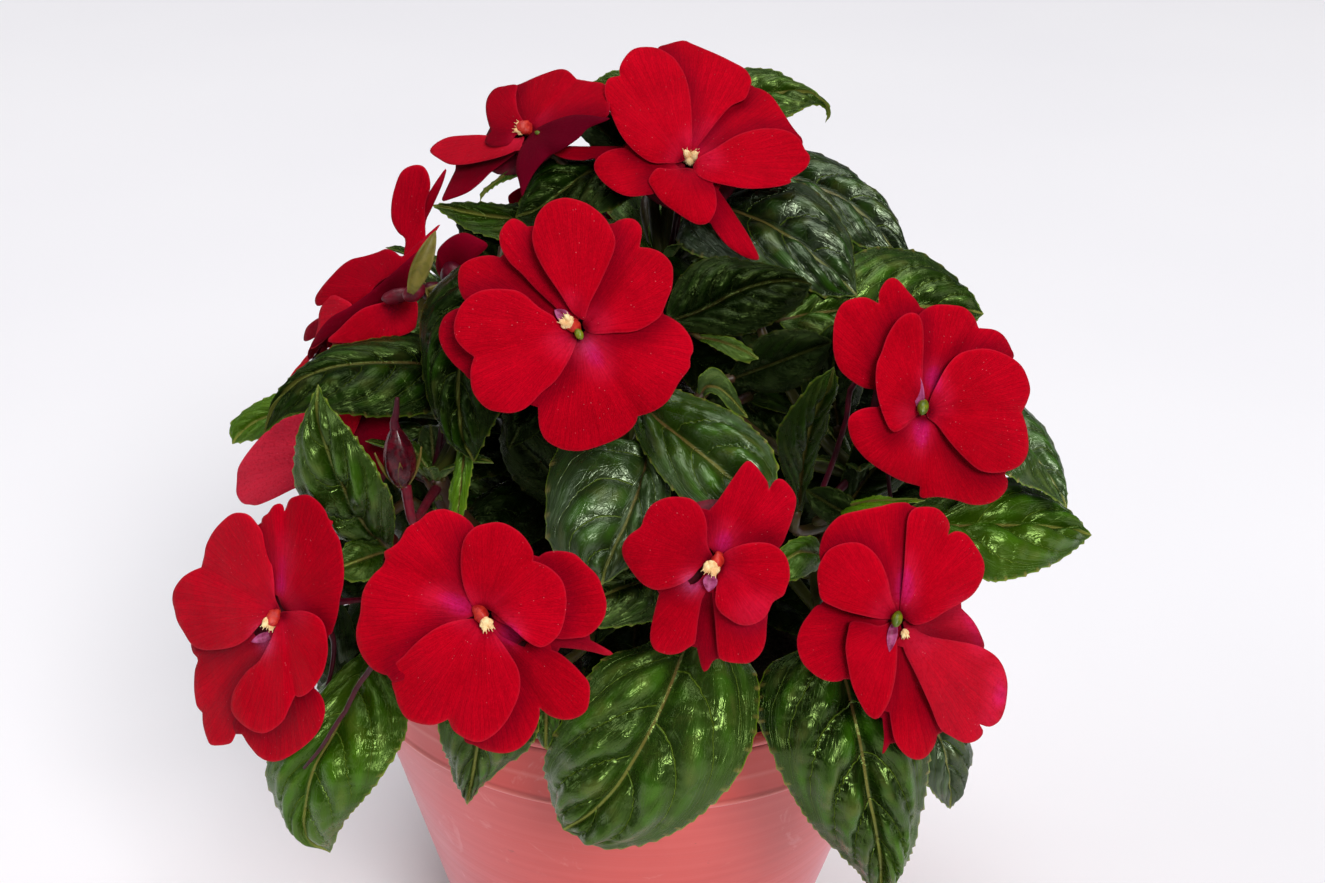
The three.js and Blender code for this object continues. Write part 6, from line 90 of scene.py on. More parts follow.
    {"name":"leaf_20","att":[-3,-60,186],"rows":[[[2.4,-70,195.4],[-1.3,-68.3,194.4],[5.3,-71.9,195.3]],[[2,-74.6,192.7],[-8.6,-65.5,193],[7.2,-77,192.7]],[[1.1,-78.7,189.9],[-15.8,-65.7,191.9],[7.4,-81.3,189.5]],[[-0.3,-82.4,187.1],[-18.1,-72.6,188.3],[6.2,-84.9,186.1]],[[-1.7,-85.5,184.1],[-18,-79.5,183.9],[4.2,-87.9,182.7]],[[-3.5,-88.2,181],[-17.1,-84.9,178.9],[1.5,-90.3,179.5]],[[-5,-90.3,177.5],[-12.2,-88.6,175.4],[-1.9,-91.7,176.5]],[[-6,-92,173.5],[-6,-92,173.5],[-6,-92,173.5]]],"look":{"grey":0.12,"lit":0.06,"quilt":1.3,"satin":True,"veins":5.0}},
    {"name":"leaf_21","att":[-3,-60,186],"rows":[[[0.5,-64,201.2],[2.6,-63.5,201.9],[-1.1,-65.9,199.7]],[[4.1,-69.2,200.1],[8.2,-63,203.7],[0.1,-72.5,196.9]],[[7.9,-73.9,199.2],[13.9,-67.4,203.8],[3,-78.7,194.7]],[[11.7,-78.1,198.1],[19.2,-71.8,203.2],[6.5,-84,192.7]],[[15.3,-81.8,196.8],[23.9,-76.2,201.7],[10.5,-88.1,190.8]],[[18.9,-85,195.1],[27.5,-81,199.1],[15.6,-90.2,190.1]],[[22.6,-87.8,193.5],[28.5,-85.9,195.4],[21,-90.9,190.3]],[[26.2,-90,191.6],[26.2,-90,191.6],[26.2,-90,191.6]]],"look":{"lit":0.16,"quilt":1.5,"veins":4.5,"satin":True}},
    {"name":"leaf_22","att":[46.8,-45.7,168.2],"rows":[[[35,-58,173.2],[34.1,-58.8,174.1],[36.1,-57.7,173.5]],[[35,-59.9,179.4],[32.3,-62.1,181.3],[36.8,-59.2,179.4]],[[35,-61.7,185.4],[30.1,-65.3,188.3],[37.6,-60.7,185]],[[35.4,-63.3,191.2],[28.9,-67.8,194.9],[38.6,-62,190.5]],[[36,-64.7,196.8],[30.2,-68.7,200.5],[39.6,-63.5,196]],[[37.1,-66,202.1],[32.8,-68.7,205.1],[40.2,-65.2,201.6]],[[38.8,-67.1,207],[36,-68.8,209.1],[41.1,-66.5,206.8]],[[39.8,-68,212],[39.8,-68,212],[39.8,-68,212]]],"look":{"lit":0.1,"dark":0.7}},
    {"name":"leaf_23","att":[-3,-53.5,165],"rows":[[[7.2,-80,170],[6.8,-78.1,171.8],[8.6,-82,168.1]],[[4.1,-83.5,170.6],[2.9,-80.5,173.9],[8.6,-86.5,165.8]],[[1,-86.4,171],[-1,-83.3,175.3],[5.9,-90.7,165.1]],[[-2.2,-88.9,171.2],[-4.8,-85.9,175.8],[1.8,-93.8,165.7]],[[-5.2,-90.9,170.8],[-8.4,-88,175.4],[-2.3,-95.6,166]],[[-8.1,-92.4,169.9],[-11.4,-90,173.9],[-6.4,-96.1,166]],[[-11.2,-93.5,169.1],[-13.5,-92,171.4],[-10.4,-95.2,167.2]],[[-14.3,-94,168.2],[-14.3,-94,168.2],[-14.3,-94,168.2]]],"look":{"dark":0.4}},
    {"name":"leaf_24","att":[45.8,-44.3,163.2],"rows":[[[44.6,-50,167.2],[43.6,-50.2,168.5],[45.5,-50,166.2]],[[46.2,-50,170.3],[43.9,-50.4,173.3],[48.4,-50.1,168.8]],[[47.9,-50,173.4],[44.7,-50.5,177.9],[51.4,-50.2,171.2]],[[49.6,-50,176.5],[45.7,-50.5,182.3],[54.6,-50.4,173.3]],[[51.4,-50,179.5],[46.8,-50,186.4],[57.4,-50.9,175.9]],[[53.6,-50,182.1],[50.1,-49.7,188.6],[58.8,-51.1,179.7]],[[55.8,-50,184.6],[53.8,-49.9,187.5],[58.3,-50.5,183.4]],[[57.8,-50,187.2],[57.8,-50,187.2],[57.8,-50,187.2]]],"look":{"dark":0.55}},
    {"name":"leaf_25","att":[48,-48,178],"rows":[[[24.8,-40,192.4],[24.3,-38.9,194.3],[25.7,-41.2,190.6]],[[27.7,-37.1,194],[24.8,-35.8,198.3],[29.8,-40.7,188.8]],[[31.2,-34.7,195],[27.5,-32.6,201.5],[34.2,-39.4,187.5]],[[35.1,-32.8,195.5],[32.1,-30,202.7],[38.6,-37.6,187.2]],[[39,-31.3,195.9],[37.2,-28.6,202.3],[42.8,-35.9,188]],[[42.9,-30.4,196.4],[42.3,-28.1,201.4],[46.1,-34,190.4]],[[46.9,-30,196.6],[47.1,-28.4,199.7],[48.6,-32.1,193.4]],[[50.8,-30,196.6],[50.8,-30,196.6],[50.8,-30,196.6]]],"look":{"dark":0.72}},
    {"name":"leaf_26","att":[48,-48,178],"rows":[[[43.7,-44,187.5],[41.5,-44.6,187.7],[45.5,-44,187.6]],[[42.8,-45.8,192],[37.9,-46.6,191.4],[47.1,-45.7,192]],[[42,-47,196.1],[35.4,-48,195.7],[48.2,-47.2,196.5]],[[41.4,-47.8,200],[34.7,-48.6,200.4],[48.7,-48.4,201]],[[41.4,-48.1,203.7],[35.2,-48.6,204.7],[48.5,-48.8,205.3]],[[41.7,-47.9,207.1],[36.4,-48.1,208.6],[47.7,-48.2,208.9]],[[42,-47.2,210.3],[39,-47.2,211.4],[45.6,-47,211.7]],[[42.4,-46,213.2],[42.4,-46,213.2],[42.4,-46,213.2]]],"look":{"dark":0.6}},
    {"name":"leaf_27","att":[35.4,28,151.2],"rows":[[[45.3,8,150],[45.6,6.5,150.2],[45,9.5,150.2]],[[54.6,9.6,150.3],[56.3,0.5,151.4],[53,18.8,151.4]],[[63.8,11.2,149.1],[66.5,-2,150.6],[61.8,24.6,150.6]],[[72.7,12.8,146.4],[75.9,-1.8,148.1],[70.7,27.7,148.1]],[[81.1,14.3,142.5],[84.4,0.4,143.9],[79.5,28.5,143.9]],[[88.8,15.7,137.2],[91.7,4.3,138.3],[87.7,27.3,138.3]],[[95.7,16.9,130.8],[97.5,10.2,131.4],[95.1,23.8,131.4]],[[101.4,17.9,123.4],[101.4,17.9,123.4],[101.4,17.9,123.4]]]},
    {"name":"leaf_28","att":[35.4,28,151.2],"rows":[[[33.5,37.2,146],[34.6,36.1,146.2],[32.3,38.2,146.2]],[[40.1,44.6,146],[47.6,38,147.1],[32.8,51.3,147.1]],[[46.8,51.9,144.4],[57.7,42.6,146.1],[36.3,61.9,146.1]],[[53.1,59,141.4],[65.5,48.8,143.2],[41.7,70.3,143.2]],[[59.2,65.7,137],[71.1,56.2,138.6],[48.5,76.6,138.6]],[[64.7,71.8,131.4],[74.6,64.2,132.5],[56,80.9,132.5]],[[69.5,77.2,124.5],[75.5,72.8,125.1],[64.5,82.7,125.1]],[[73.7,81.8,116.7],[73.7,81.8,116.7],[73.7,81.8,116.7]]]},
    {"name":"leaf_29","att":[2.2,43.2,151.2],"rows":[[[3.8,53.9,150],[5.3,53.7,150.2],[2.2,54,150.2]],[[4.4,63.5,150.6],[14,62.9,151.7],[-5.1,64.2,151.7]],[[5.1,73.2,149.6],[19.1,72.5,151.3],[-8.8,74.5,151.3]],[[5.8,82.6,147.1],[21.3,82.1,148.9],[-9.6,84.2,148.9]],[[6.4,91.4,143.2],[21.1,91.2,144.7],[-8.2,93.3,144.7]],[[7,99.5,137.9],[19.1,99.6,139],[-5,101.2,139]],[[7.5,106.7,131.3],[14.6,106.8,131.9],[0.4,107.8,131.9]],[[7.9,112.7,123.7],[7.9,112.7,123.7],[7.9,112.7,123.7]]]},
    {"name":"leaf_30","att":[-35.4,25.9,151.2],"rows":[[[-28,41.5,146],[-26.6,42.3,146.2],[-29.3,40.6,146.2]],[[-33.6,49.7,146.1],[-25.4,55.4,147.3],[-41.8,44.3,147.3]],[[-39.1,58,144.8],[-27.4,66.3,146.4],[-51.2,50.2,146.4]],[[-44.5,65.9,141.9],[-31.6,75.4,143.7],[-58.1,57.5,143.7]],[[-49.5,73.4,137.7],[-37.4,82.7,139.3],[-62.6,65.7,139.3]],[[-54.2,80.3,132.2],[-44.3,88.1,133.4],[-65,74.1,133.4]],[[-58.3,86.5,125.5],[-52.6,91.1,126.1],[-64.8,82.9,126.1]],[[-61.9,91.7,117.7],[-61.9,91.7,117.7],[-61.9,91.7,117.7]]]},
    {"name":"leaf_31","att":[-35.4,25.9,151.2],"rows":[[[-41.8,13.6,152],[-41.4,15,152.2],[-42.3,12.2,152.2]],[[-50.8,16.5,152.6],[-47.9,25.4,153.8],[-53.7,7.7,153.8]],[[-59.7,19.4,151.9],[-55.8,32.3,153.5],[-64.1,6.6,153.5]],[[-68.5,22.3,149.8],[-64.3,36.7,151.6],[-73.6,8.1,151.6]],[[-76.9,25,146.5],[-73.1,38.7,148],[-81.9,11.6,148]],[[-84.7,27.5,141.8],[-81.8,38.9,143],[-89,16.6,143]],[[-91.8,29.8,136.1],[-90.2,36.6,136.7],[-94.4,23.4,136.7]],[[-98,31.9,129.3],[-98,31.9,129.3],[-98,31.9,129.3]]]},
    {"name":"leaf_32","att":[42.9,27.9,171],"rows":[[[39.8,23,176],[40.5,21.8,176.2],[39.1,24.1,176.2]],[[47,27.1,178.4],[51,19.8,179.4],[42.6,34.3,179.4]],[[54.3,31.3,179.7],[60.3,20.8,181.2],[48.1,41.8,181.2]],[[61.7,35.6,179.9],[68.5,24,181.6],[55,47.4,181.6]],[[69.1,39.9,179],[75.7,28.9,180.6],[62.9,51.1,180.6]],[[76.3,44.1,177.1],[81.9,35.1,178.3],[71.4,53.4,178.3]],[[83.3,48.1,174],[86.6,42.8,174.7],[80.4,53.6,174.7]],[[89.8,51.8,169.9],[89.8,51.8,169.9],[89.8,51.8,169.9]]]},
    {"name":"leaf_33","att":[1.8,48.5,171],"rows":[[[15.5,47.6,176],[16.8,47.1,176.2],[14.1,47.9,176.2]],[[18.1,55.7,178.2],[26.3,52.9,179.2],[9.8,58.2,179.2]],[[20.8,64.1,179.1],[32.8,60.1,180.6],[8.8,67.9,180.6]],[[23.6,72.5,178.9],[36.9,68.3,180.5],[10.3,77,180.5]],[[26.3,80.8,177.4],[39,77.1,178.9],[13.7,85.3,178.9]],[[28.9,88.9,174.8],[39.4,85.9,176],[18.6,92.7,176]],[[31.4,96.5,171],[37.6,94.9,171.7],[25.3,98.8,171.7]],[[33.6,103.5,166.1],[33.6,103.5,166.1],[33.6,103.5,166.1]]]},
    {"name":"leaf_34","att":[1.8,48.5,171],"rows":[[[-17.1,47,176],[-15.8,47.4,176.2],[-18.4,46.5,176.2]],[[-20,55,178.5],[-11.8,57.7,179.5],[-28.1,51.8,179.5]],[[-23,63.2,179.7],[-11.1,67.4,181.2],[-34.8,58.8,181.2]],[[-26,71.5,179.8],[-12.9,76.4,181.4],[-39.2,66.9,181.4]],[[-29,79.8,178.6],[-16.7,84.6,180.2],[-41.6,75.5,180.2]],[[-32,87.8,176.3],[-21.9,92,177.5],[-42.4,84.5,177.5]],[[-34.7,95.5,172.8],[-28.8,98,173.5],[-40.9,93.6,173.5]],[[-37.3,102.6,168.2],[-37.3,102.6,168.2],[-37.3,102.6,168.2]]]},
    {"name":"leaf_35","att":[-42.9,25.8,171],"rows":[[[-39,24.4,176],[-38.3,25.5,176.2],[-39.7,23.2,176.2]],[[-45.9,28.7,178.7],[-41.3,35.6,179.7],[-50.1,21.5,179.7]],[[-53,33.1,180.4],[-46.4,43.3,181.8],[-59.3,22.7,181.8]],[[-60.3,37.7,181],[-53.1,49.1,182.6],[-67.4,26.2,182.6]],[[-67.5,42.2,180.6],[-60.9,53.2,182.1],[-74.5,31.4,182.1]],[[-74.7,46.7,179],[-69.4,55.8,180.3],[-80.5,37.9,180.3]],[[-81.6,51,176.5],[-78.6,56.4,177.2],[-85.2,45.9,177.2]],[[-88.3,55.1,173],[-88.3,55.1,173],[-88.3,55.1,173]]]},
]
SMALL = [
    {"name":"young_leaf_1","att":[5,-10,210],"rows":[[[-25.8,-12,234.7],[-26.1,-10.5,236.1],[-25.4,-13.5,233.4]],[[-27.5,-11.8,233.9],[-27.7,-10.6,235],[-27.1,-13.1,232.8]],[[-29.2,-11.5,233.1],[-29.3,-10.7,233.8],[-28.8,-12.6,232.1]],[[-30.7,-11.2,232],[-31,-10.5,232.7],[-30.4,-12.3,231.2]],[[-32.3,-11,230.9],[-32.6,-10.4,231.4],[-31.9,-11.9,230.1]],[[-33.8,-10.8,229.6],[-34.1,-10.2,230],[-33.4,-11.5,229.1]],[[-35.2,-10.5,228.3],[-35.7,-9.9,228.6],[-35,-10.9,228]],[[-36.5,-10.2,226.8],[-36.9,-9.8,226.9],[-36.4,-10.4,226.7]],[[-37.3,-10,225],[-37.3,-10,225],[-37.3,-10,225]]],"look":{"lit":0.3,"quilt":0.5,"veins":5}},
    {"name":"young_leaf_2","att":[-40.8,-46.5,165.1],"rows":[[[-52.2,-72,168.5],[-52.5,-73.2,168.2],[-53.5,-71.4,169.6]],[[-54.2,-73.8,168.8],[-52.6,-76.9,167],[-56,-72,170.8]],[[-56.2,-75.4,168.8],[-54.3,-79.5,166.3],[-58.5,-72.7,171.6]],[[-58.2,-76.6,168.5],[-57,-80.4,166],[-60.6,-74.3,170.9]],[[-60.2,-77.4,168],[-59.9,-79.9,166.2],[-61.5,-76.3,169.2]],[[-62.3,-78,167.3],[-62.3,-78,167.3],[-62.3,-78,167.3]]],"look":{"lit":0.2,"quilt":0.6,"veins":5}},
    {"name":"young_leaf_3","att":[-3,-60,186],"rows":[[[13.2,-50,195.5],[12.5,-50.2,196],[13.7,-50,195]],[[14.3,-51,199],[12.7,-50.4,201.1],[15.2,-51.7,198]],[[17,-51.8,199.3],[15.9,-49.6,203.2],[17.3,-53.1,197.6]],[[19.5,-52.2,197.5],[19.2,-51.1,200.7],[19,-53.4,195.6]],[[21.6,-52.2,195.1],[21.6,-51.9,196.9],[21.1,-53.1,193.8]],[[23.6,-52,192.5],[23.6,-52,192.5],[23.6,-52,192.5]]],"look":{"grey":0.45,"quilt":0.5,"veins":5}},
    {"name":"young_leaf_4","att":[-3,-60,186],"rows":[[[13.3,-46,208.2],[13.5,-45.2,208.8],[13.3,-47,207.8]],[[15.8,-47.8,208.6],[16.2,-46.8,209.4],[15.6,-49.6,207.6]],[[18.3,-49.4,208.6],[18.8,-48.3,209.6],[17.9,-51.5,207.2]],[[20.7,-50.6,208.1],[21.3,-49.6,209],[20.2,-52.8,206.5]],[[23,-51.4,207.4],[23.7,-50.7,208],[22.8,-53,206.1]],[[25.3,-52,206.3],[25.3,-52,206.3],[25.3,-52,206.3]]],"look":{"lit":0.25,"dark":0.45,"quilt":0.4,"veins":5}},
    {"name":"young_leaf_5","att":[47,-46.2,170.6],"rows":[[[39.6,-80,174.8],[39.2,-79.8,176.1],[39.6,-81.1,174]],[[36.7,-82.9,177.2],[36.7,-80.8,179.5],[37.3,-85.8,174.6]],[[33.9,-85.1,178.5],[33.2,-83,180.7],[34.6,-89.6,175.3]],[[31.5,-86.7,177.8],[30.3,-85.1,179.8],[32.1,-90.3,174.5]],[[29.5,-87.7,176.3],[28.6,-86.8,177.5],[29.6,-89.6,173.7]],[[27.4,-88,174.5],[27.4,-88,174.5],[27.4,-88,174.5]]],"look":{"lit":0.35,"quilt":0.5,"veins":5}},
    {"name":"young_leaf_6","att":[-2.5,-41.3,147.6],"rows":[[[-17.3,-92,145.7],[-19.5,-91.9,145.6],[-14.4,-92.1,145.9]],[[-17.1,-94.1,144.7],[-19.6,-94.2,144.5],[-14.1,-94.3,144.7]],[[-17,-95.5,143.2],[-19.7,-95.7,142.8],[-14.1,-95.7,143]],[[-17,-96.3,141.3],[-19.4,-96.4,140.7],[-14.7,-96.4,141]],[[-17,-96.5,138.9],[-18.5,-96.4,138.3],[-15.7,-96.5,138.6]],[[-17,-96,136.1],[-17,-96,136.1],[-17,-96,136.1]]],"look":{"quilt":0.5,"veins":5}},
    {"name":"young_leaf_7","att":[5,-10,210],"rows":[[[1.6,4,245.4],[1.7,1.6,243.4],[0.4,7.5,249.1]],[[-1.3,4.8,246.4],[-1.5,2.1,244.1],[-2.6,8.1,249.8]],[[-4.4,5.6,247.2],[-4.6,2.6,244.8],[-5.6,8.9,250.5]],[[-7.4,6.4,247.9],[-7.8,3.4,245.6],[-8.6,9.1,250.3]],[[-10.6,7.2,247.9],[-10.8,5.1,246.4],[-11.4,8.6,248.9]],[[-13.8,8,247.1],[-13.8,8,247.1],[-13.8,8,247.1]]],"look":{"lit":0.2,"quilt":0.6,"veins":5}},
    {"name":"young_leaf_8","att":[47,-46.2,170.6],"rows":[[[43,-60,174.5],[43.1,-59,174.9],[43.3,-62.7,174]],[[46.3,-62.4,177.5],[46.3,-61.1,178],[46.5,-65.4,177]],[[49.7,-64.8,179.7],[49.7,-63.5,180.2],[49.9,-67.5,179.2]],[[53.2,-67.2,181.3],[53.3,-66.2,181.7],[53.3,-69.3,180.8]],[[56.7,-69.6,182.9],[56.7,-68.9,183.1],[56.7,-71.3,182.5]],[[60.1,-72,184.2],[60.1,-72,184.2],[60.1,-72,184.2]]],"look":{"lit":0.85,"quilt":0.4,"veins":5}},
    # shade leaves: near-black leaves set into gaps behind the front parts, as painted shade
    {"name":"shade_leaf_1","att":[-36.6,-39.9,155.4],"rows":[[[-52.3,-55,158],[-53.7,-54.6,158.4],[-50.8,-55.6,157.6]],[[-54.7,-58.2,153.2],[-58.3,-57,154.4],[-50.9,-59.7,152.4]],[[-57.1,-60.8,148.2],[-61.9,-59.5,149.6],[-52.4,-62.9,147]],[[-59.7,-63,142.9],[-64.3,-61.9,143.9],[-55.3,-65.1,141.4]],[[-62.3,-64.8,137.2],[-65.7,-64,137.6],[-59.4,-66.3,135.9]],[[-65,-66,131.3],[-65,-66,131.3],[-65,-66,131.3]]],"look":{"dark":0.92,"res":0.5,"quilt":0.8}},
    {"name":"shade_leaf_2","att":[5,-10,210],"rows":[[[-4.3,2,233.6],[-5.1,1.2,232.8],[-3.4,2.6,234.5]],[[-6.9,2.8,235.6],[-8.9,0.7,233.4],[-4.6,4.4,237.8]],[[-9.5,3.6,237.5],[-12.5,0.9,234.8],[-6.8,5.7,240.6]],[[-12.1,4.4,239.5],[-15.2,2,237.2],[-10,6.5,242.6]],[[-14.8,5.2,241.4],[-17.1,3.7,240.2],[-13.6,6.7,243.7]],[[-17.4,6,243.4],[-17.4,6,243.4],[-17.4,6,243.4]]],"look":{"dark":0.92,"res":0.5,"quilt":0.8}},
    {"name":"shade_leaf_3","att":[-2.8,-48.2,156.2],"rows":[[[-13,-38,162.9],[-14.4,-38.3,161.3],[-11.5,-38,164.6]],[[-16.5,-38.8,167.3],[-20.1,-39.6,163.2],[-12.5,-38.7,171.3]],[[-19.9,-39.6,171.6],[-25,-40.7,166.8],[-15.2,-39.6,177.3]],[[-23.4,-40.4,175.9],[-28.5,-41.5,172.1],[-19.4,-40.5,181.7]],[[-26.7,-41.2,180.2],[-30.5,-42,178.2],[-24.6,-41.4,184.5]],[[-30.1,-42,184.4],[-30.1,-42,184.4],[-30.1,-42,184.4]]],"look":{"dark":0.92,"res":0.5,"quilt":0.8}},
    {"name":"shade_leaf_4","att":[34.5,-31.9,144.2],"rows":[[[50.5,-28,148.8],[48.1,-29,147.4],[52.8,-27.4,150.5]],[[46.1,-29.2,155.6],[40.3,-31.7,151.6],[52.1,-27.6,159.5]],[[41.7,-30.4,162.2],[33.8,-33.8,157.8],[49.1,-28.5,168.1]],[[37.4,-31.6,168.8],[29.6,-34.9,165.7],[43.5,-30,175.1]],[[33.2,-32.8,175.2],[27.6,-35.1,174],[36.6,-31.9,180]],[[29,-34,181.6],[29,-34,181.6],[29,-34,181.6]]],"look":{"dark":0.92,"res":0.5,"quilt":0.8}},
    {"name":"shade_leaf_5","att":[46.4,-45.1,165.7],"rows":[[[47.6,-44,168.6],[47.2,-43.4,169.9],[48,-44.8,167.4]],[[51.9,-44.4,170.1],[50.8,-42.9,173.4],[52.7,-46.3,167]],[[56.2,-44.8,171.7],[55.1,-42.9,176],[57.6,-47.3,167.8]],[[60.5,-45.2,173.2],[59.8,-43.5,177.4],[62.1,-47.6,169.7]],[[64.8,-45.6,174.7],[64.6,-44.5,177.7],[66.2,-47.2,172.5]],[[69,-46,176.3],[69,-46,176.3],[69,-46,176.3]]],"look":{"dark":0.92,"res":0.5,"quilt":0.8}},
    {"name":"shade_leaf_6","att":[-33.2,-35,150],"rows":[[[-48.2,-42,153.6],[-49.8,-41.9,152.6],[-46.5,-42.4,154.8]],[[-49.7,-43.3,158.4],[-53.7,-43,155.6],[-45.5,-44.3,161.1]],[[-51.2,-44.5,163],[-56.6,-44.3,160],[-45.9,-45.8,167]],[[-52.7,-45.5,167.5],[-57.9,-45.5,165.4],[-48.1,-46.7,171.7]],[[-54.2,-46.3,171.8],[-57.7,-46.5,171.1],[-51.4,-47.1,175]],[[-55.8,-47,176.1],[-55.8,-47,176.1],[-55.8,-47,176.1]]],"look":{"dark":0.92,"res":0.5,"quilt":0.8}},
    {"name":"shade_leaf_7","att":[4.1,-9.4,200],"rows":[[[-29.5,-8,205.3],[-30.4,-8.6,204.3],[-28.5,-7.7,206.5]],[[-31.9,-8,207.6],[-34.3,-9.4,204.9],[-29.3,-7.1,210.3]],[[-34.4,-8,209.9],[-37.7,-9.8,206.6],[-31.2,-6.9,213.7]],[[-36.8,-8,212.2],[-40.3,-9.7,209.6],[-34.3,-6.9,216]],[[-39.3,-8,214.5],[-41.8,-9.1,213.1],[-38,-7.3,217.2]],[[-41.7,-8,216.8],[-41.7,-8,216.8],[-41.7,-8,216.8]]],"look":{"dark":0.92,"res":0.5,"quilt":0.8}},
    {"name":"shade_leaf_13","att":[-46,22,190],"rows":[[[-32.2,-2,210.4],[-32.8,-2.5,209.5],[-31.6,-1.7,211.3]],[[-34.6,-1.1,211.7],[-36.1,-2.4,209.4],[-32.8,-0.3,214]],[[-37,-0.3,213],[-39.2,-1.9,210.2],[-34.9,0.8,216.1]],[[-39.3,0.3,214.4],[-41.7,-1.1,212],[-37.8,1.4,217.5]],[[-41.7,0.7,215.8],[-43.5,-0.2,214.4],[-40.9,1.5,218]],[[-44,1,217.3],[-44,1,217.3],[-44,1,217.3]]],"look":{"dark":0.92,"res":0.5,"quilt":0.8}},
    {"name":"shade_leaf_16","att":[46.8,-45.7,168.2],"rows":[[[49.5,-62,172.3],[48.9,-62.5,171.4],[50,-61.7,173.3]],[[46.8,-62,174],[45.4,-63.2,171.7],[48.3,-61.2,176.4]],[[44.1,-62,175.7],[42.1,-63.5,172.8],[45.8,-61,179]],[[41.4,-62,177.3],[39.3,-63.4,174.9],[42.7,-61,180.6]],[[38.8,-62,179],[37.1,-62.9,177.5],[39.4,-61.4,181.3]],[[36.1,-62,180.6],[36.1,-62,180.6],[36.1,-62,180.6]]],"look":{"dark":0.92,"res":0.5,"quilt":0.8}},
    {"name":"shade_leaf_17","att":[-39.1,-43.7,160.5],"rows":[[[-55.3,-50,165.2],[-56,-49.6,166.3],[-54.6,-50.6,164.2]],[[-58.1,-50.4,163.5],[-59.7,-49.3,166.4],[-56.1,-51.9,161]],[[-60.8,-50.8,161.8],[-63.3,-49.4,165.4],[-58.5,-52.8,158.4]],[[-63.6,-51.2,160.2],[-66.3,-50,163.2],[-61.9,-53.1,156.7]],[[-66.4,-51.6,158.5],[-68.5,-50.8,160.2],[-65.6,-52.9,156]],[[-69.1,-52,156.8],[-69.1,-52,156.8],[-69.1,-52,156.8]]],"look":{"dark":0.92,"res":0.5,"quilt":0.8}},
    {"name":"shade_leaf_18","att":[-29.5,-29.5,144.3],"rows":[[[-55.3,-55,136.2],[-55.8,-55.4,135],[-54.7,-54.8,137.5]],[[-57.9,-55.4,137.8],[-59.1,-56.3,134.7],[-56.2,-54.9,141]],[[-60.4,-55.8,139.4],[-62.4,-57.1,135.5],[-58.6,-55.2,143.9]],[[-63,-56.2,141.1],[-65.2,-57.4,137.7],[-61.7,-55.7,145.4]],[[-65.5,-56.6,142.7],[-67.3,-57.4,140.8],[-65,-56.3,145.7]],[[-68.1,-57,144.3],[-68.1,-57,144.3],[-68.1,-57,144.3]]],"look":{"dark":0.92,"res":0.5,"quilt":0.8}},
    {"name":"shade_leaf_14","att":[-3,-60,186],"rows":[[[20.5,-50,200.9],[19.8,-49.6,202.7],[21.3,-50.7,199.2]],[[24.6,-50.4,202.9],[22.4,-49.3,207.3],[26.2,-52.1,198.5]],[[28.6,-50.8,204.8],[26.3,-49.4,210.9],[31.2,-53.1,199.3]],[[32.6,-51.2,206.8],[31.1,-50,212.6],[35.6,-53.4,202]],[[36.5,-51.6,208.7],[36.1,-50.9,212.7],[39,-53,205.9]],[[40.5,-52,210.7],[40.5,-52,210.7],[40.5,-52,210.7]]],"look":{"dark":0.92,"res":0.5,"quilt":0.8}},
    {"name":"shade_leaf_15","att":[-29.5,-29.5,144.3],"rows":[[[-55.5,-57,147.8],[-56.5,-57.3,146.4],[-54.4,-56.9,149.3]],[[-57.5,-57.5,150],[-59.9,-58.3,146.4],[-54.8,-57.3,153.5]],[[-59.6,-57.9,152.1],[-63.1,-59,147.7],[-56.3,-57.5,157.1]],[[-61.7,-58.1,154.1],[-65.3,-59.2,150.7],[-59.2,-57.7,159]],[[-63.8,-58.1,155.9],[-66.3,-58.8,154.2],[-62.7,-57.8,159.2]],[[-65.9,-58,157.7],[-65.9,-58,157.7],[-65.9,-58,157.7]]],"look":{"dark":0.92,"res":0.5,"quilt":0.8}},
    {"name":"shade_leaf_8","att":[2.7,-7.2,184.1],"rows":[[[23.9,-18,190.6],[22.9,-19.2,188.9],[24.9,-17.1,192.4]],[[18.9,-18.8,193.6],[16.6,-21.8,189.2],[21.7,-16.5,198]],[[14,-19.6,196.6],[10.4,-23.6,191.2],[17.1,-16.7,202.7]],[[9.1,-20.4,199.5],[5.2,-24.2,195],[11.3,-17.8,205.6]],[[4.3,-21.2,202.5],[1.2,-23.8,199.8],[5.2,-19.6,206.7]],[[-0.5,-22,205.4],[-0.5,-22,205.4],[-0.5,-22,205.4]]],"look":{"dark":0.92,"res":0.5,"quilt":0.8}},
    {"name":"shade_leaf_9","att":[3,-8,188],"rows":[[[-4.2,-28,193.2],[-6.4,-28.6,192],[-1.9,-27.7,194.5]],[[-7.2,-28,199],[-12.6,-29.5,195.8],[-1.5,-27.4,202]],[[-10.2,-28,204.7],[-17.6,-30,201.2],[-3.1,-27.2,209.2]],[[-13.2,-28,210.4],[-20.3,-29.8,207.9],[-7,-27.2,215.2]],[[-16.1,-28,215.9],[-21.1,-29.2,215],[-12.4,-27.5,219.7]],[[-19,-28,221.5],[-19,-28,221.5],[-19,-28,221.5]]],"look":{"dark":0.92,"res":0.5,"quilt":0.8}},
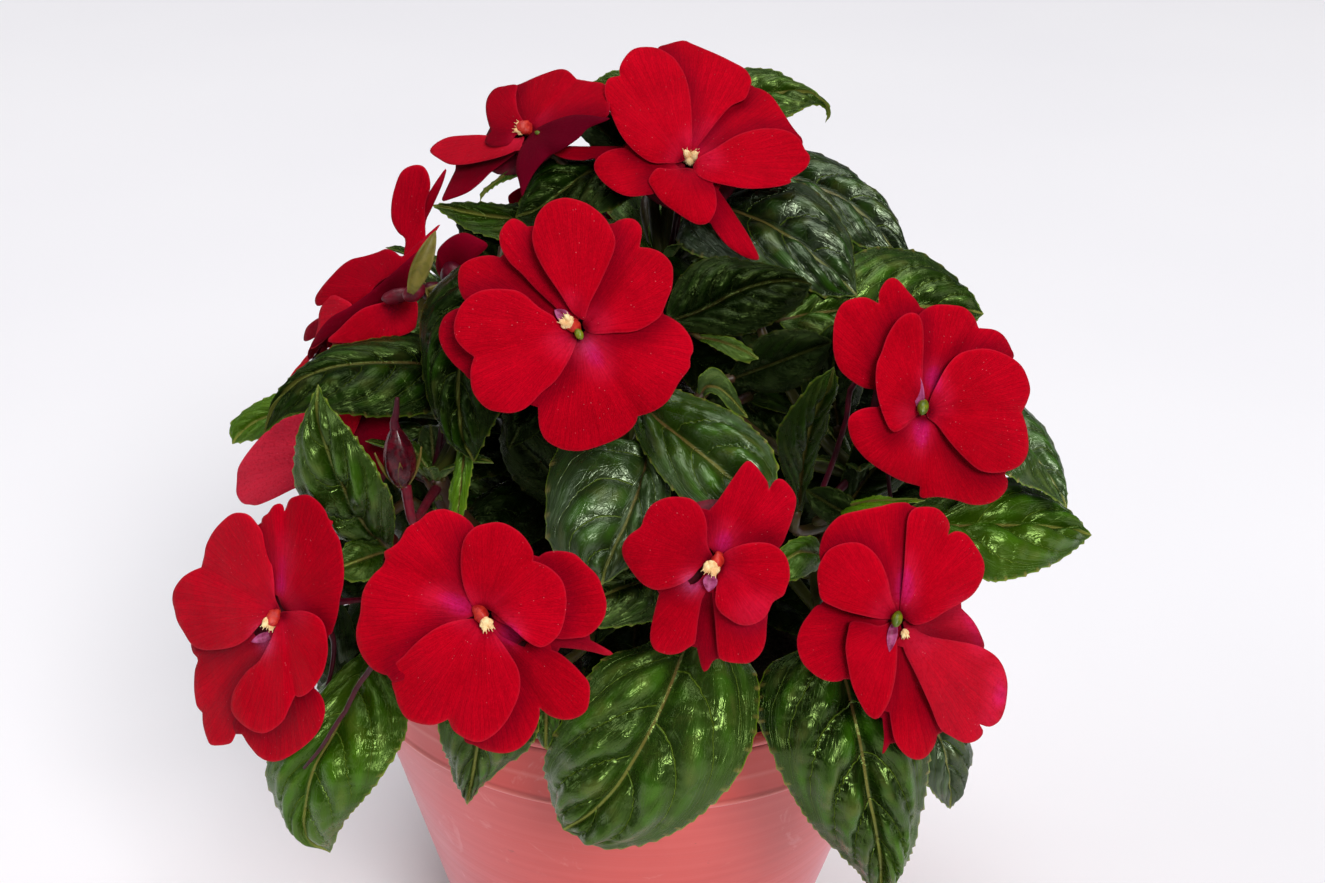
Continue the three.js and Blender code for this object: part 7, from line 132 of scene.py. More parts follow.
    {"name":"shade_leaf_11","att":[44,-42,158],"rows":[[[57.1,-26,163.6],[55.2,-26.6,162.8],[59,-25.6,164.5]],[[54.6,-25.6,168.6],[49.8,-27.2,166.5],[59.5,-24.7,170.7]],[[52,-25.2,173.6],[45.5,-27.3,171.3],[58.2,-24,176.8]],[[49.5,-24.8,178.6],[43.2,-26.7,177.1],[54.9,-23.7,182.2]],[[47,-24.4,183.5],[42.6,-25.6,183.1],[50.2,-23.6,186.4]],[[44.6,-24,188.3],[44.6,-24,188.3],[44.6,-24,188.3]]],"look":{"dark":0.92,"res":0.5,"quilt":0.8}},
    {"name":"shade_leaf_12","att":[-29.5,-29.5,144.3],"rows":[[[-64.3,-58,114.7],[-66.2,-57.6,113.9],[-62.5,-58.7,115.7]],[[-65.1,-60.9,125.6],[-69.7,-60,123.6],[-60.4,-62.6,127.9]],[[-66,-63.1,135.8],[-71.8,-62.3,133.7],[-60,-65.1,138.8]],[[-66.9,-64.7,145.3],[-72.4,-64.2,144],[-61.5,-66.3,148.4]],[[-68,-65.7,154.3],[-71.8,-65.4,153.8],[-64.2,-66.6,156.7]],[[-69.1,-66,162.7],[-69.1,-66,162.7],[-69.1,-66,162.7]]],"look":{"dark":0.92,"res":0.5,"quilt":0.8}},
    {"name":"shade_leaf_10","att":[3.6,-8.9,194.6],"rows":[[[13.3,-20,199.1],[11.8,-20.9,197.9],[14.7,-19.4,200.4]],[[9.5,-20,202.9],[6.1,-22.3,199.7],[13.2,-18.4,206.1]],[[5.8,-20,206.7],[1,-23,202.8],[10.3,-17.9,211.3]],[[2.1,-20,210.5],[-2.8,-22.8,207.4],[5.7,-18.1,215.2]],[[-1.6,-20,214.2],[-5.2,-21.8,212.6],[0.4,-18.7,217.7]],[[-5.2,-20,217.9],[-5.2,-20,217.9],[-5.2,-20,217.9]]],"look":{"dark":0.92,"res":0.5,"quilt":0.8}},
]
STEMS = [
    {"name":"stem_front_left","pts":[[-12,-8,106.4],[-24,-22,135],[-38,-42,158],[-44,-52,176]]},
    {"name":"stem_front","pts":[[0,-14,106.4],[-2,-34,138],[-3,-52,162],[-3,-60,186]]},
    {"name":"stem_front_right","pts":[[12,-8,106.4],[28,-25,135],[44,-42,158],[48,-48,178]]},
    {"name":"stem_middle","pts":[[0,2,106.4],[0,0,150],[3,-8,188],[5,-10,210]]},
    {"name":"stem_back_left","pts":[[-10,10,106.4],[-30,24,140],[-42,26,168],[-46,22,190]]},
    {"name":"stem_back_right","pts":[[10,10,106.4],[30,26,140],[42,28,168],[46,26,190]]},
    {"name":"stem_back","pts":[[0,14,106.4],[2,38,140],[2,48,168],[0,48,190]]},
]
BUD = {'path': [[-45.8, -74, 176.9], [-46.9, -74, 182.1], [-47.2, -74, 185.3], [-47.9, -74, 188.1], [-48.6, -74, 193.6], [-48.8, -74, 198.6], [-48.7, -74, 201.7], [-48.3, -74, 205.3]], 'att': [-43.3, -50.8, 173.8]}
# Leaves that fill the inside, top and back: compass angle, foot, size and arch.
# the inner ones with a high dark value are painted near-black, as the shade deep inside the plant
EXTRA = [
    {"phi":-8,"rb":22,"zb":150,"ln":44,"wd":24,"pitch":8,"droop":40,"look":{"dark":0.86,"res":0.5}},
    {"phi":22,"rb":20,"zb":160,"ln":44,"wd":24,"pitch":8,"droop":40,"look":{"dark":0.86,"res":0.5}},
    {"phi":-38,"rb":22,"zb":158,"ln":44,"wd":24,"pitch":8,"droop":40,"look":{"dark":0.86,"res":0.5}},
    {"phi":50,"rb":22,"zb":156,"ln":44,"wd":24,"pitch":8,"droop":40,"look":{"dark":0.86,"res":0.5}},
    {"phi":-68,"rb":24,"zb":162,"ln":44,"wd":24,"pitch":8,"droop":40,"look":{"dark":0.86,"res":0.5}},
    {"phi":78,"rb":22,"zb":166,"ln":42,"wd":22,"pitch":8,"droop":40,"look":{"dark":0.86,"res":0.5}},
    {"phi":4,"rb":16,"zb":186,"ln":40,"wd":22,"pitch":8,"droop":40,"look":{"dark":0.86,"res":0.5}},
    {"phi":-30,"rb":18,"zb":190,"ln":40,"wd":20,"pitch":8,"droop":40,"look":{"dark":0.86,"res":0.5}},
    {"phi":34,"rb":18,"zb":190,"ln":40,"wd":20,"pitch":8,"droop":40,"look":{"dark":0.86,"res":0.5}},
    {"phi":-60,"rb":20,"zb":196,"ln":36,"wd":18,"pitch":8,"droop":40,"look":{"dark":0.86,"res":0.5}},
    {"phi":62,"rb":20,"zb":200,"ln":36,"wd":18,"pitch":8,"droop":40,"look":{"dark":0.86,"res":0.5}},
    {"phi":10,"rb":8,"zb":212,"ln":34,"wd":18,"pitch":8,"droop":40,"look":{"dark":0.86,"res":0.5}},
    {"phi":-50,"rb":26,"zb":132,"ln":44,"wd":24,"pitch":8,"droop":40,"look":{"dark":0.86,"res":0.5}},
    {"phi":56,"rb":26,"zb":130,"ln":44,"wd":24,"pitch":8,"droop":40,"look":{"dark":0.86,"res":0.5}},
    {"phi":0,"rb":26,"zb":126,"ln":44,"wd":24,"pitch":8,"droop":40,"look":{"dark":0.86,"res":0.5}},
    {"phi":0,"rb":6,"zb":128,"ln":40,"wd":26,"pitch":42,"droop":36,"look":{"dark":0.92,"res":0.4}},
    {"phi":137,"rb":13,"zb":139,"ln":40,"wd":26,"pitch":37,"droop":36,"look":{"dark":0.92,"res":0.4}},
    {"phi":274,"rb":20,"zb":150,"ln":40,"wd":26,"pitch":32,"droop":36,"look":{"dark":0.92,"res":0.4}},
    {"phi":51,"rb":27,"zb":161,"ln":40,"wd":26,"pitch":27,"droop":36,"look":{"dark":0.92,"res":0.4}},
    {"phi":188,"rb":8,"zb":172,"ln":40,"wd":26,"pitch":22,"droop":36,"look":{"dark":0.92,"res":0.4}},
    {"phi":325,"rb":15,"zb":183,"ln":40,"wd":26,"pitch":41,"droop":36,"look":{"dark":0.92,"res":0.4}},
    {"phi":102,"rb":22,"zb":194,"ln":40,"wd":26,"pitch":36,"droop":36,"look":{"dark":0.92,"res":0.4}},
    {"phi":239,"rb":29,"zb":129,"ln":40,"wd":26,"pitch":31,"droop":36,"look":{"dark":0.92,"res":0.4}},
    {"phi":16,"rb":10,"zb":140,"ln":40,"wd":26,"pitch":26,"droop":36,"look":{"dark":0.92,"res":0.4}},
    {"phi":153,"rb":17,"zb":151,"ln":40,"wd":26,"pitch":21,"droop":36,"look":{"dark":0.92,"res":0.4}},
    {"phi":290,"rb":24,"zb":162,"ln":40,"wd":26,"pitch":40,"droop":36,"look":{"dark":0.92,"res":0.4}},
    {"phi":67,"rb":31,"zb":173,"ln":40,"wd":26,"pitch":35,"droop":36,"look":{"dark":0.92,"res":0.4}},
    {"phi":204,"rb":12,"zb":184,"ln":40,"wd":26,"pitch":30,"droop":36,"look":{"dark":0.92,"res":0.4}},
    {"phi":341,"rb":19,"zb":195,"ln":40,"wd":26,"pitch":25,"droop":36,"look":{"dark":0.92,"res":0.4}},
    {"phi":118,"rb":26,"zb":130,"ln":40,"wd":26,"pitch":20,"droop":36,"look":{"dark":0.92,"res":0.4}},
    {"phi":255,"rb":7,"zb":141,"ln":40,"wd":26,"pitch":39,"droop":36,"look":{"dark":0.92,"res":0.4}},
    {"phi":182,"rb":16,"zb":206,"ln":50,"wd":24,"pitch":30,"droop":62,"look":{"lit":0.05}},
    {"phi":142,"rb":18,"zb":208,"ln":46,"wd":22,"pitch":26,"droop":60,"look":{"lit":0.05}},
    {"phi":212,"rb":14,"zb":200,"ln":38,"wd":19,"pitch":20,"droop":60,"look":{"lit":0.05}},
    {"phi":104,"rb":20,"zb":204,"ln":44,"wd":20,"pitch":24,"droop":56,"look":{"lit":0.05}},
    {"phi":270,"rb":20,"zb":196,"ln":42,"wd":20,"pitch":10,"droop":56,"look":{"lit":0.05}},
    {"phi":168,"rb":33,"zb":188,"ln":47,"wd":23,"pitch":13,"droop":66,"look":{"lit":0.05}},
    {"phi":196,"rb":35,"zb":185,"ln":50,"wd":25,"pitch":8,"droop":58,"look":{"lit":0.05}},
    {"phi":117,"rb":34,"zb":192,"ln":50,"wd":22,"pitch":22,"droop":66,"look":{"lit":0.05}},
    {"phi":233,"rb":32,"zb":186,"ln":44,"wd":22,"pitch":12,"droop":58,"look":{"lit":0.05}},
    {"phi":180,"rb":46,"zb":160,"ln":58,"wd":27,"pitch":4,"droop":52,"look":{"lit":0.05}},
    {"phi":153,"rb":41,"zb":168,"ln":50,"wd":25,"pitch":12,"droop":66,"look":{"lit":0.05}},
    {"phi":215,"rb":45,"zb":161,"ln":55,"wd":27,"pitch":2,"droop":54,"look":{"lit":0.05}},
    {"phi":106,"rb":41,"zb":160,"ln":55,"wd":25,"pitch":0,"droop":50,"look":{"lit":0.05}},
    {"phi":247,"rb":38,"zb":167,"ln":49,"wd":24,"pitch":9,"droop":60,"look":{"lit":0.05}},
    {"phi":86,"rb":36,"zb":186,"ln":46,"wd":20,"pitch":14,"droop":50,"look":{"lit":0.05}},
    {"phi":276,"rb":36,"zb":186,"ln":46,"wd":20,"pitch":14,"droop":50,"look":{"lit":0.05}},
    {"phi":180,"rb":8,"zb":222,"ln":34,"wd":16,"pitch":40,"droop":60,"look":{"lit":0.05}},
    {"phi":164,"rb":36,"zb":138,"ln":54,"wd":28,"pitch":10,"droop":62,"twist":6,"look":{"dark":0.1}},
    {"phi":196,"rb":30,"zb":146,"ln":50,"wd":27,"pitch":16,"droop":70,"twist":-10,"look":{"dark":0.1}},
    {"phi":226,"rb":38,"zb":136,"ln":52,"wd":27,"pitch":6,"droop":58,"twist":12,"look":{"dark":0.1}},
    {"phi":132,"rb":34,"zb":142,"ln":54,"wd":27,"pitch":12,"droop":64,"twist":-8,"look":{"dark":0.1}},
    {"phi":98,"rb":36,"zb":136,"ln":50,"wd":26,"pitch":6,"droop":56,"twist":10,"look":{"dark":0.1}},
    {"phi":262,"rb":34,"zb":140,"ln":50,"wd":26,"pitch":10,"droop":60,"twist":-6,"look":{"dark":0.1}},
    {"phi":180,"rb":22,"zb":130,"ln":46,"wd":27,"pitch":22,"droop":50,"twist":14,"look":{"dark":0.1}},
    {"phi":148,"rb":20,"zb":134,"ln":46,"wd":26,"pitch":26,"droop":52,"twist":-14,"look":{"dark":0.1}},
    {"phi":214,"rb":20,"zb":132,"ln":46,"wd":26,"pitch":24,"droop":50,"twist":8,"look":{"dark":0.1}},
    {"phi":116,"rb":22,"zb":130,"ln":44,"wd":25,"pitch":18,"droop":48,"twist":6,"look":{"dark":0.1}},
    {"phi":246,"rb":22,"zb":130,"ln":44,"wd":25,"pitch":18,"droop":48,"twist":-9,"look":{"dark":0.1}},
]


# ------------------------------------------------------------------ helpers
def lin(r, g, b):
    """sRGB 0..255 to linear."""
    o = []
    for c in (r, g, b):
        c /= 255.0
        o.append(c / 12.92 if c <= 0.04045 else ((c + 0.055) / 1.055) ** 2.4)
    return (o[0], o[1], o[2], 1.0)


def unit(v):
    v = np.asarray(v, float)
    return v / (np.linalg.norm(v) + 1e-12)


def sstep(a, b, x):
    t = np.clip((np.asarray(x, float) - a) / (b - a), 0, 1)
    return t * t * (3 - 2 * t)


def catmull(P, n, closed=False):
    """n points along a smooth curve through P, evenly spaced by length."""
    P = np.asarray(P, float)
    Q = np.vstack([2 * P[0] - P[1], P, 2 * P[-1] - P[-2]])
    out = []
    m = 14
    for i in range(1, len(Q) - 2):
        t = np.linspace(0, 1, m, endpoint=False)[:, None]
        out.append(0.5 * (2 * Q[i] + (-Q[i - 1] + Q[i + 1]) * t + (2 * Q[i - 1] - 5 * Q[i] + 4 * Q[i + 1] - Q[i + 2]) * t ** 2
                          + (-Q[i - 1] + 3 * Q[i] - 3 * Q[i + 1] + Q[i + 2]) * t ** 3))
    out = np.vstack(out + [P[-1:]])
    d = np.r_[0, np.cumsum(np.linalg.norm(np.diff(out, axis=0), axis=1))]
    s = np.linspace(0, d[-1], n)
    return np.stack([np.interp(s, d, out[:, k]) for k in range(P.shape[1])], 1)


PIECES = []


def make(name, verts, faces, mats, attrs=None, rep=(), face_mat=None):
    """A mesh object from millimetre vertices."""
    me = bpy.data.meshes.new(name)
    me.from_pydata((np.asarray(verts, float) * 0.001).tolist(), [], faces)
    for k, a in (attrs or {}).items():
        at = me.attributes.new(k, "FLOAT", "POINT")
        at.data.foreach_set("value", np.asarray(a, np.float32))
    me.polygons.foreach_set("use_smooth", [True] * len(me.polygons))
    for m in mats:
        me.materials.append(m)
    if face_mat is not None:
        me.polygons.foreach_set("material_index", list(face_mat))
    me.update()
    o = bpy.data.objects.new(name, me)
    bpy.context.scene.collection.objects.link(o)
    for r in rep:
        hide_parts(r)
    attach(o, "root")
    PIECES.append(o)
    return o


class Bag:
    """Collects several surfaces into one mesh."""

    def __init__(self):
        self.v, self.f, self.m, self.a, self.n = [], [], [], {}, 0

    def add(self, verts, faces, mat=0, **attrs):
        verts = np.asarray(verts, float)
        k = len(verts)
        self.v.append(verts)
        self.f += [tuple(int(i) + self.n for i in f) for f in faces]
        self.m += [mat] * len(faces)
        for key in set(self.a) | set(attrs):
            if key not in self.a:
                self.a[key] = [np.zeros(self.n)]
            val = attrs.get(key, 0.0)
            self.a[key].append(np.broadcast_to(np.asarray(val, float), (k,)).copy())
        self.n += k

    def done(self, name, mats, rep=()):
        return make(name, np.vstack(self.v), self.f, mats, {k: np.concatenate(a) for k, a in self.a.items()}, rep, self.m)


def tube(path, radii, sides=10, n=24, squash=1.0):
    """A closed round tube along a smooth path; radii are given along it."""
    P = catmull(path, n)
    r = np.interp(np.linspace(0, 1, n), np.linspace(0, 1, len(radii)), radii)
    T = np.gradient(P, axis=0)
    T /= np.linalg.norm(T, axis=1)[:, None] + 1e-12
    a = unit(np.cross(T[0], [0.3, 0.2, 1.0]))
    rings, ang = [], np.linspace(0, 2 * np.pi, sides, endpoint=False)
    for i in range(n):
        a = unit(a - (a @ T[i]) * T[i])
        b = np.cross(T[i], a)
        rings.append(P[i] + r[i] * (np.cos(ang)[:, None] * a + squash * np.sin(ang)[:, None] * b))
    V = np.vstack(rings + [P[:1] - T[:1] * r[0] * 0.5, P[-1:] + T[-1:] * r[-1] * 0.5])
    F = []
    for i in range(n - 1):
        for j in range(sides):
            k = (j + 1) % sides
            F.append((i * sides + j, i * sides + k, (i + 1) * sides + k, (i + 1) * sides + j))
    c0, c1 = n * sides, n * sides + 1
    for j in range(sides):
        k = (j + 1) % sides
        F.append((c0, k, j))
        F.append((c1, (n - 1) * sides + j, (n - 1) * sides + k))
    along = np.r_[np.repeat(np.linspace(0, 1, n), sides), 0, 1]
    return V, F, along


def blob(c, axis, length, width, wid2=None, n=14, m=14, power=1.0, bend=0.0, lumps=0.0, seed=0):
    """A lumpy egg along axis (tip at +axis)."""
    axis = unit(axis)
    a = unit(np.cross(axis, [0.31, 0.2, 0.93]))
    b = np.cross(axis, a)
    wid2 = width if wid2 is None else wid2
    rs = np.random.RandomState(abs(int(seed)) + 1)
    ph = rs.rand(6) * 6.28
    V, F = [], []
    for i in range(n):
        th = np.pi * (i + 0.5) / n
        z, r = -np.cos(th), np.sin(th) ** power
        for j in range(m):
            p = 2 * np.pi * j / m
            k = 1 + lumps * (np.sin(3 * p + ph[0] + 2 * z) + 0.6 * np.sin(5 * z * 2 + ph[1] + 2 * p))
            V.append(np.asarray(c) + axis * (z * length / 2) + a * (r * k * np.cos(p) * width / 2 + bend * z * z) + b * (r * k * np.sin(p) * wid2 / 2))
    V.append(np.asarray(c) - axis * length / 2 + a * bend)
    V.append(np.asarray(c) + axis * length / 2 + a * bend)
    for i in range(n - 1):
        for j in range(m):
            k = (j + 1) % m
            F.append((i * m + j, i * m + k, (i + 1) * m + k, (i + 1) * m + j))
    for j in range(m):
        k = (j + 1) % m
        F.append((n * m, k, j))
        F.append((n * m + 1, (n - 1) * m + j, (n - 1) * m + k))
    return np.array(V), F


# ---------------------------------------------------------------- materials
class Mat:
    """Small wrapper to write node materials in few lines."""

    def __init__(self, name):
        self.m = bpy.data.materials.new(name)
        self.m.use_nodes = True
        self.t = self.m.node_tree
        self.t.nodes.clear()
        self.out = self.t.nodes.new("ShaderNodeOutputMaterial")
        self.p = self.t.nodes.new("ShaderNodeBsdfPrincipled")
        self.t.links.new(self.p.outputs[0], self.out.inputs[0])
        tc = self.t.nodes.new("ShaderNodeTexCoord")
        self.obj = tc.outputs["Object"]

    def put(self, sock, val):
        if hasattr(val, "default_value") and hasattr(val, "node"):
            self.t.links.new(val, sock)
        elif isinstance(val, (tuple, list)) and len(val) == 3 and sock.type == "RGBA":
            sock.default_value = (*val, 1.0)
        else:
            sock.default_value = val

    def attr(self, name):
        n = self.t.nodes.new("ShaderNodeAttribute")
        n.attribute_name = name
        return n.outputs["Fac"]

    def math(self, op, a, b=None, c=None, clamp=False):
        n = self.t.nodes.new("ShaderNodeMath")
        n.operation = op
        n.use_clamp = clamp
        for i, x in enumerate((a, b, c)):
            if x is not None:
                self.put(n.inputs[i], x)
        return n.outputs[0]

    def ramp(self, x, a, b, c=0.0, d=1.0, smooth=True):
        n = self.t.nodes.new("ShaderNodeMapRange")
        n.interpolation_type = "SMOOTHSTEP" if smooth else "LINEAR"
        n.clamp = True
        for k, v in (("Value", x), ("From Min", a), ("From Max", b), ("To Min", c), ("To Max", d)):
            self.put(n.inputs[k], v)
        return n.outputs[0]

    def mix(self, f, a, b, mode="MIX"):
        n = self.t.nodes.new("ShaderNodeMix")
        n.data_type = "RGBA"
        n.blend_type = mode
        n.clamp_factor = True
        self.put(n.inputs[0], f)
        self.put(n.inputs[6], a)
        self.put(n.inputs[7], b)
        return n.outputs[2]

    def noise(self, scale, detail=3.0, rough=0.55, vec=None, dist=0.0, out="Fac"):
        n = self.t.nodes.new("ShaderNodeTexNoise")
        n.inputs["Scale"].default_value = scale
        n.inputs["Detail"].default_value = detail
        n.inputs["Roughness"].default_value = rough
        n.inputs["Distortion"].default_value = dist
        self.put(n.inputs["Vector"], self.obj if vec is None else vec)
        return n.outputs[out]

    def voronoi(self, scale, feature="F1", vec=None, rand=1.0, out="Distance"):
        n = self.t.nodes.new("ShaderNodeTexVoronoi")
        n.feature = feature
        n.inputs["Scale"].default_value = scale
        n.inputs["Randomness"].default_value = rand
        self.put(n.inputs["Vector"], self.obj if vec is None else vec)
        return n.outputs[out]

    def xyz(self, x, y, z=0.0):
        n = self.t.nodes.new("ShaderNodeCombineXYZ")
        for i, v in enumerate((x, y, z)):
            self.put(n.inputs[i], v)
        return n.outputs[0]

    def bump(self, h, strength, dist, normal=None):
        n = self.t.nodes.new("ShaderNodeBump")
        n.inputs["Strength"].default_value = strength
        n.inputs["Distance"].default_value = dist
        self.put(n.inputs["Height"], h)
        if normal is not None:
            self.put(n.inputs["Normal"], normal)
        return n.outputs[0]

    def done(self, **k):
        for key, v in k.items():
            self.put(self.p.inputs[key.replace("_", " ")], v)
        return self.m


def line(M, x, w):
    """1 where x is near a whole number, within w."""
    f = M.math("FRACT", x)
    d = M.math("ABSOLUTE", M.math("SUBTRACT", f, 0.5))
    return M.ramp(d, 0.5 - w, 0.5, 0.0, 1.0)


def petal_material():
    M = Mat("petal_red")
    r, a, rim = M.attr("pr"), M.attr("pa"), M.attr("rim")
    fl, dk, pk, bk = M.attr("flush"), M.attr("dark"), M.attr("pink"), M.attr("back")
    warp = M.math("MULTIPLY", M.math("SUBTRACT", M.noise(260, 2.0), 0.5), 0.9)
    warp2 = M.math("MULTIPLY", M.math("SUBTRACT", M.noise(1100, 2.0), 0.5), 0.5)
    ph = M.math("ADD", M.math("MULTIPLY", a, 6.2), M.math("ADD", warp, warp2))
    v1 = line(M, ph, 0.16)
    ph2 = M.math("ADD", M.math("MULTIPLY", a, 12.4), M.math("ADD", M.math("MULTIPLY", warp, 1.6), warp2))
    v2 = M.math("MULTIPLY", line(M, ph2, 0.12), M.ramp(r, 7, 13))
    ph3 = M.math("ADD", M.math("MULTIPLY", a, 24.8), M.math("ADD", M.math("MULTIPLY", warp, 2.6), warp2))
    v3 = M.math("MULTIPLY", line(M, ph3, 0.16), M.ramp(r, 15, 22, 0, 0.8))
    cells = M.voronoi(1.0, "DISTANCE_TO_EDGE", M.xyz(M.math("MULTIPLY", a, 16.0), M.math("MULTIPLY", r, 0.75), 0.0))
    net = M.ramp(cells, 0.0, 0.09, 1.0, 0.0)
    vein = M.math("MAXIMUM", v1, M.math("MAXIMUM", v2, M.math("MAXIMUM", v3, M.math("MULTIPLY", net, 0.55))))
    vein = M.math("MULTIPLY", vein, M.ramp(rim, 0.0, 1.6, 0.25, 1.0))
    big = M.noise(70, 3.0)
    red = M.mix(M.ramp(big, 0.3, 0.72), lin(170, 0, 19), lin(194, 1, 27))
    red = M.mix(M.ramp(M.noise(160, 2.0), 0.45, 0.75, 0, 0.35), red, lin(192, 3, 24))
    red = M.mix(M.math("MULTIPLY", vein, 0.52), red, lin(112, 0, 15))
    # shade towards the throat and in the crease
    red = M.mix(M.ramp(r, 1.5, 9.0, 0.32, 0.0), red, lin(120, 2, 26))
    red = M.mix(M.ramp(fl, 0.0, 0.55, 0.0, 0.66), red, lin(208, 24, 58))
    red = M.mix(M.ramp(fl, 0.48, 0.98, 0.0, 0.85), red, lin(214, 30, 108))
    # painted shade: a near-black ring in the hollow of the throat
    red = M.mix(M.ramp(r, 1.0, 3.2, 0.85, 0.0), red, lin(58, 0, 16))
    red = M.mix(M.math("MULTIPLY", M.attr("white"), 1.0, clamp=True), red, lin(214, 120, 178))
    # long soft streaks that fan out from the throat
    streak = M.noise(1.0, 2.0, 0.55, M.xyz(M.math("MULTIPLY", a, 6.5), M.math("MULTIPLY", r, 0.09), 2.0))
    red = M.mix(M.ramp(streak, 0.34, 0.66, 0.30, 0.0), red, lin(116, 0, 14))
    red = M.mix(M.ramp(rim, 0.05, 0.45, 0.36, 0.0), red, lin(190, 34, 56))
    red = M.mix(pk, red, lin(226, 58, 84))
    red = M.mix(M.math("MULTIPLY", bk, 0.45), red, lin(150, 4, 40))
    speck_cells = M.voronoi(760, "F1", None, 1.0)
    dots = M.math("MULTIPLY", M.ramp(speck_cells, 0.04, 0.09, 1.0, 0.0), M.ramp(M.noise(90, 1.0), 0.46, 0.58))
    red = M.mix(M.math("MULTIPLY", dots, 0.55), red, lin(240, 130, 140))
    fine = M.noise(2600, 2.0)
    red = M.mix(M.ramp(fine, 0.42, 0.70, 0.0, 0.30), red, lin(206, 8, 34))
    red = M.mix(M.ramp(M.noise(1300, 2.0), 0.50, 0.72, 0.0, 0.30), red, lin(132, 0, 18))
    # painted shade: dark holds each lobe's set darkness, partly the deeper colour of turned petal backs and partly
    # shade, plus the painted shadow under overlapping lobes
    red = M.mix(dk, red, lin(74, 0, 20))
    h = M.math("ADD", M.math("MULTIPLY", vein, -0.7), M.math("MULTIPLY", fine, 0.35))
    h = M.math("ADD", h, M.math("MULTIPLY", streak, 1.2))
    h = M.math("ADD", h, M.math("MULTIPLY", big, 0.8))
    nrm = M.bump(h, 0.45, 0.00022)
    return M.done(Base_Color=red, Roughness=M.ramp(fine, 0.3, 0.7, 0.66, 0.82), Specular_IOR_Level=0.10, Specular_Tint=lin(255, 70, 96), Sheen_Weight=0.05,
                  Sheen_Roughness=0.40, Sheen_Tint=lin(255, 60, 84), Normal=nrm)


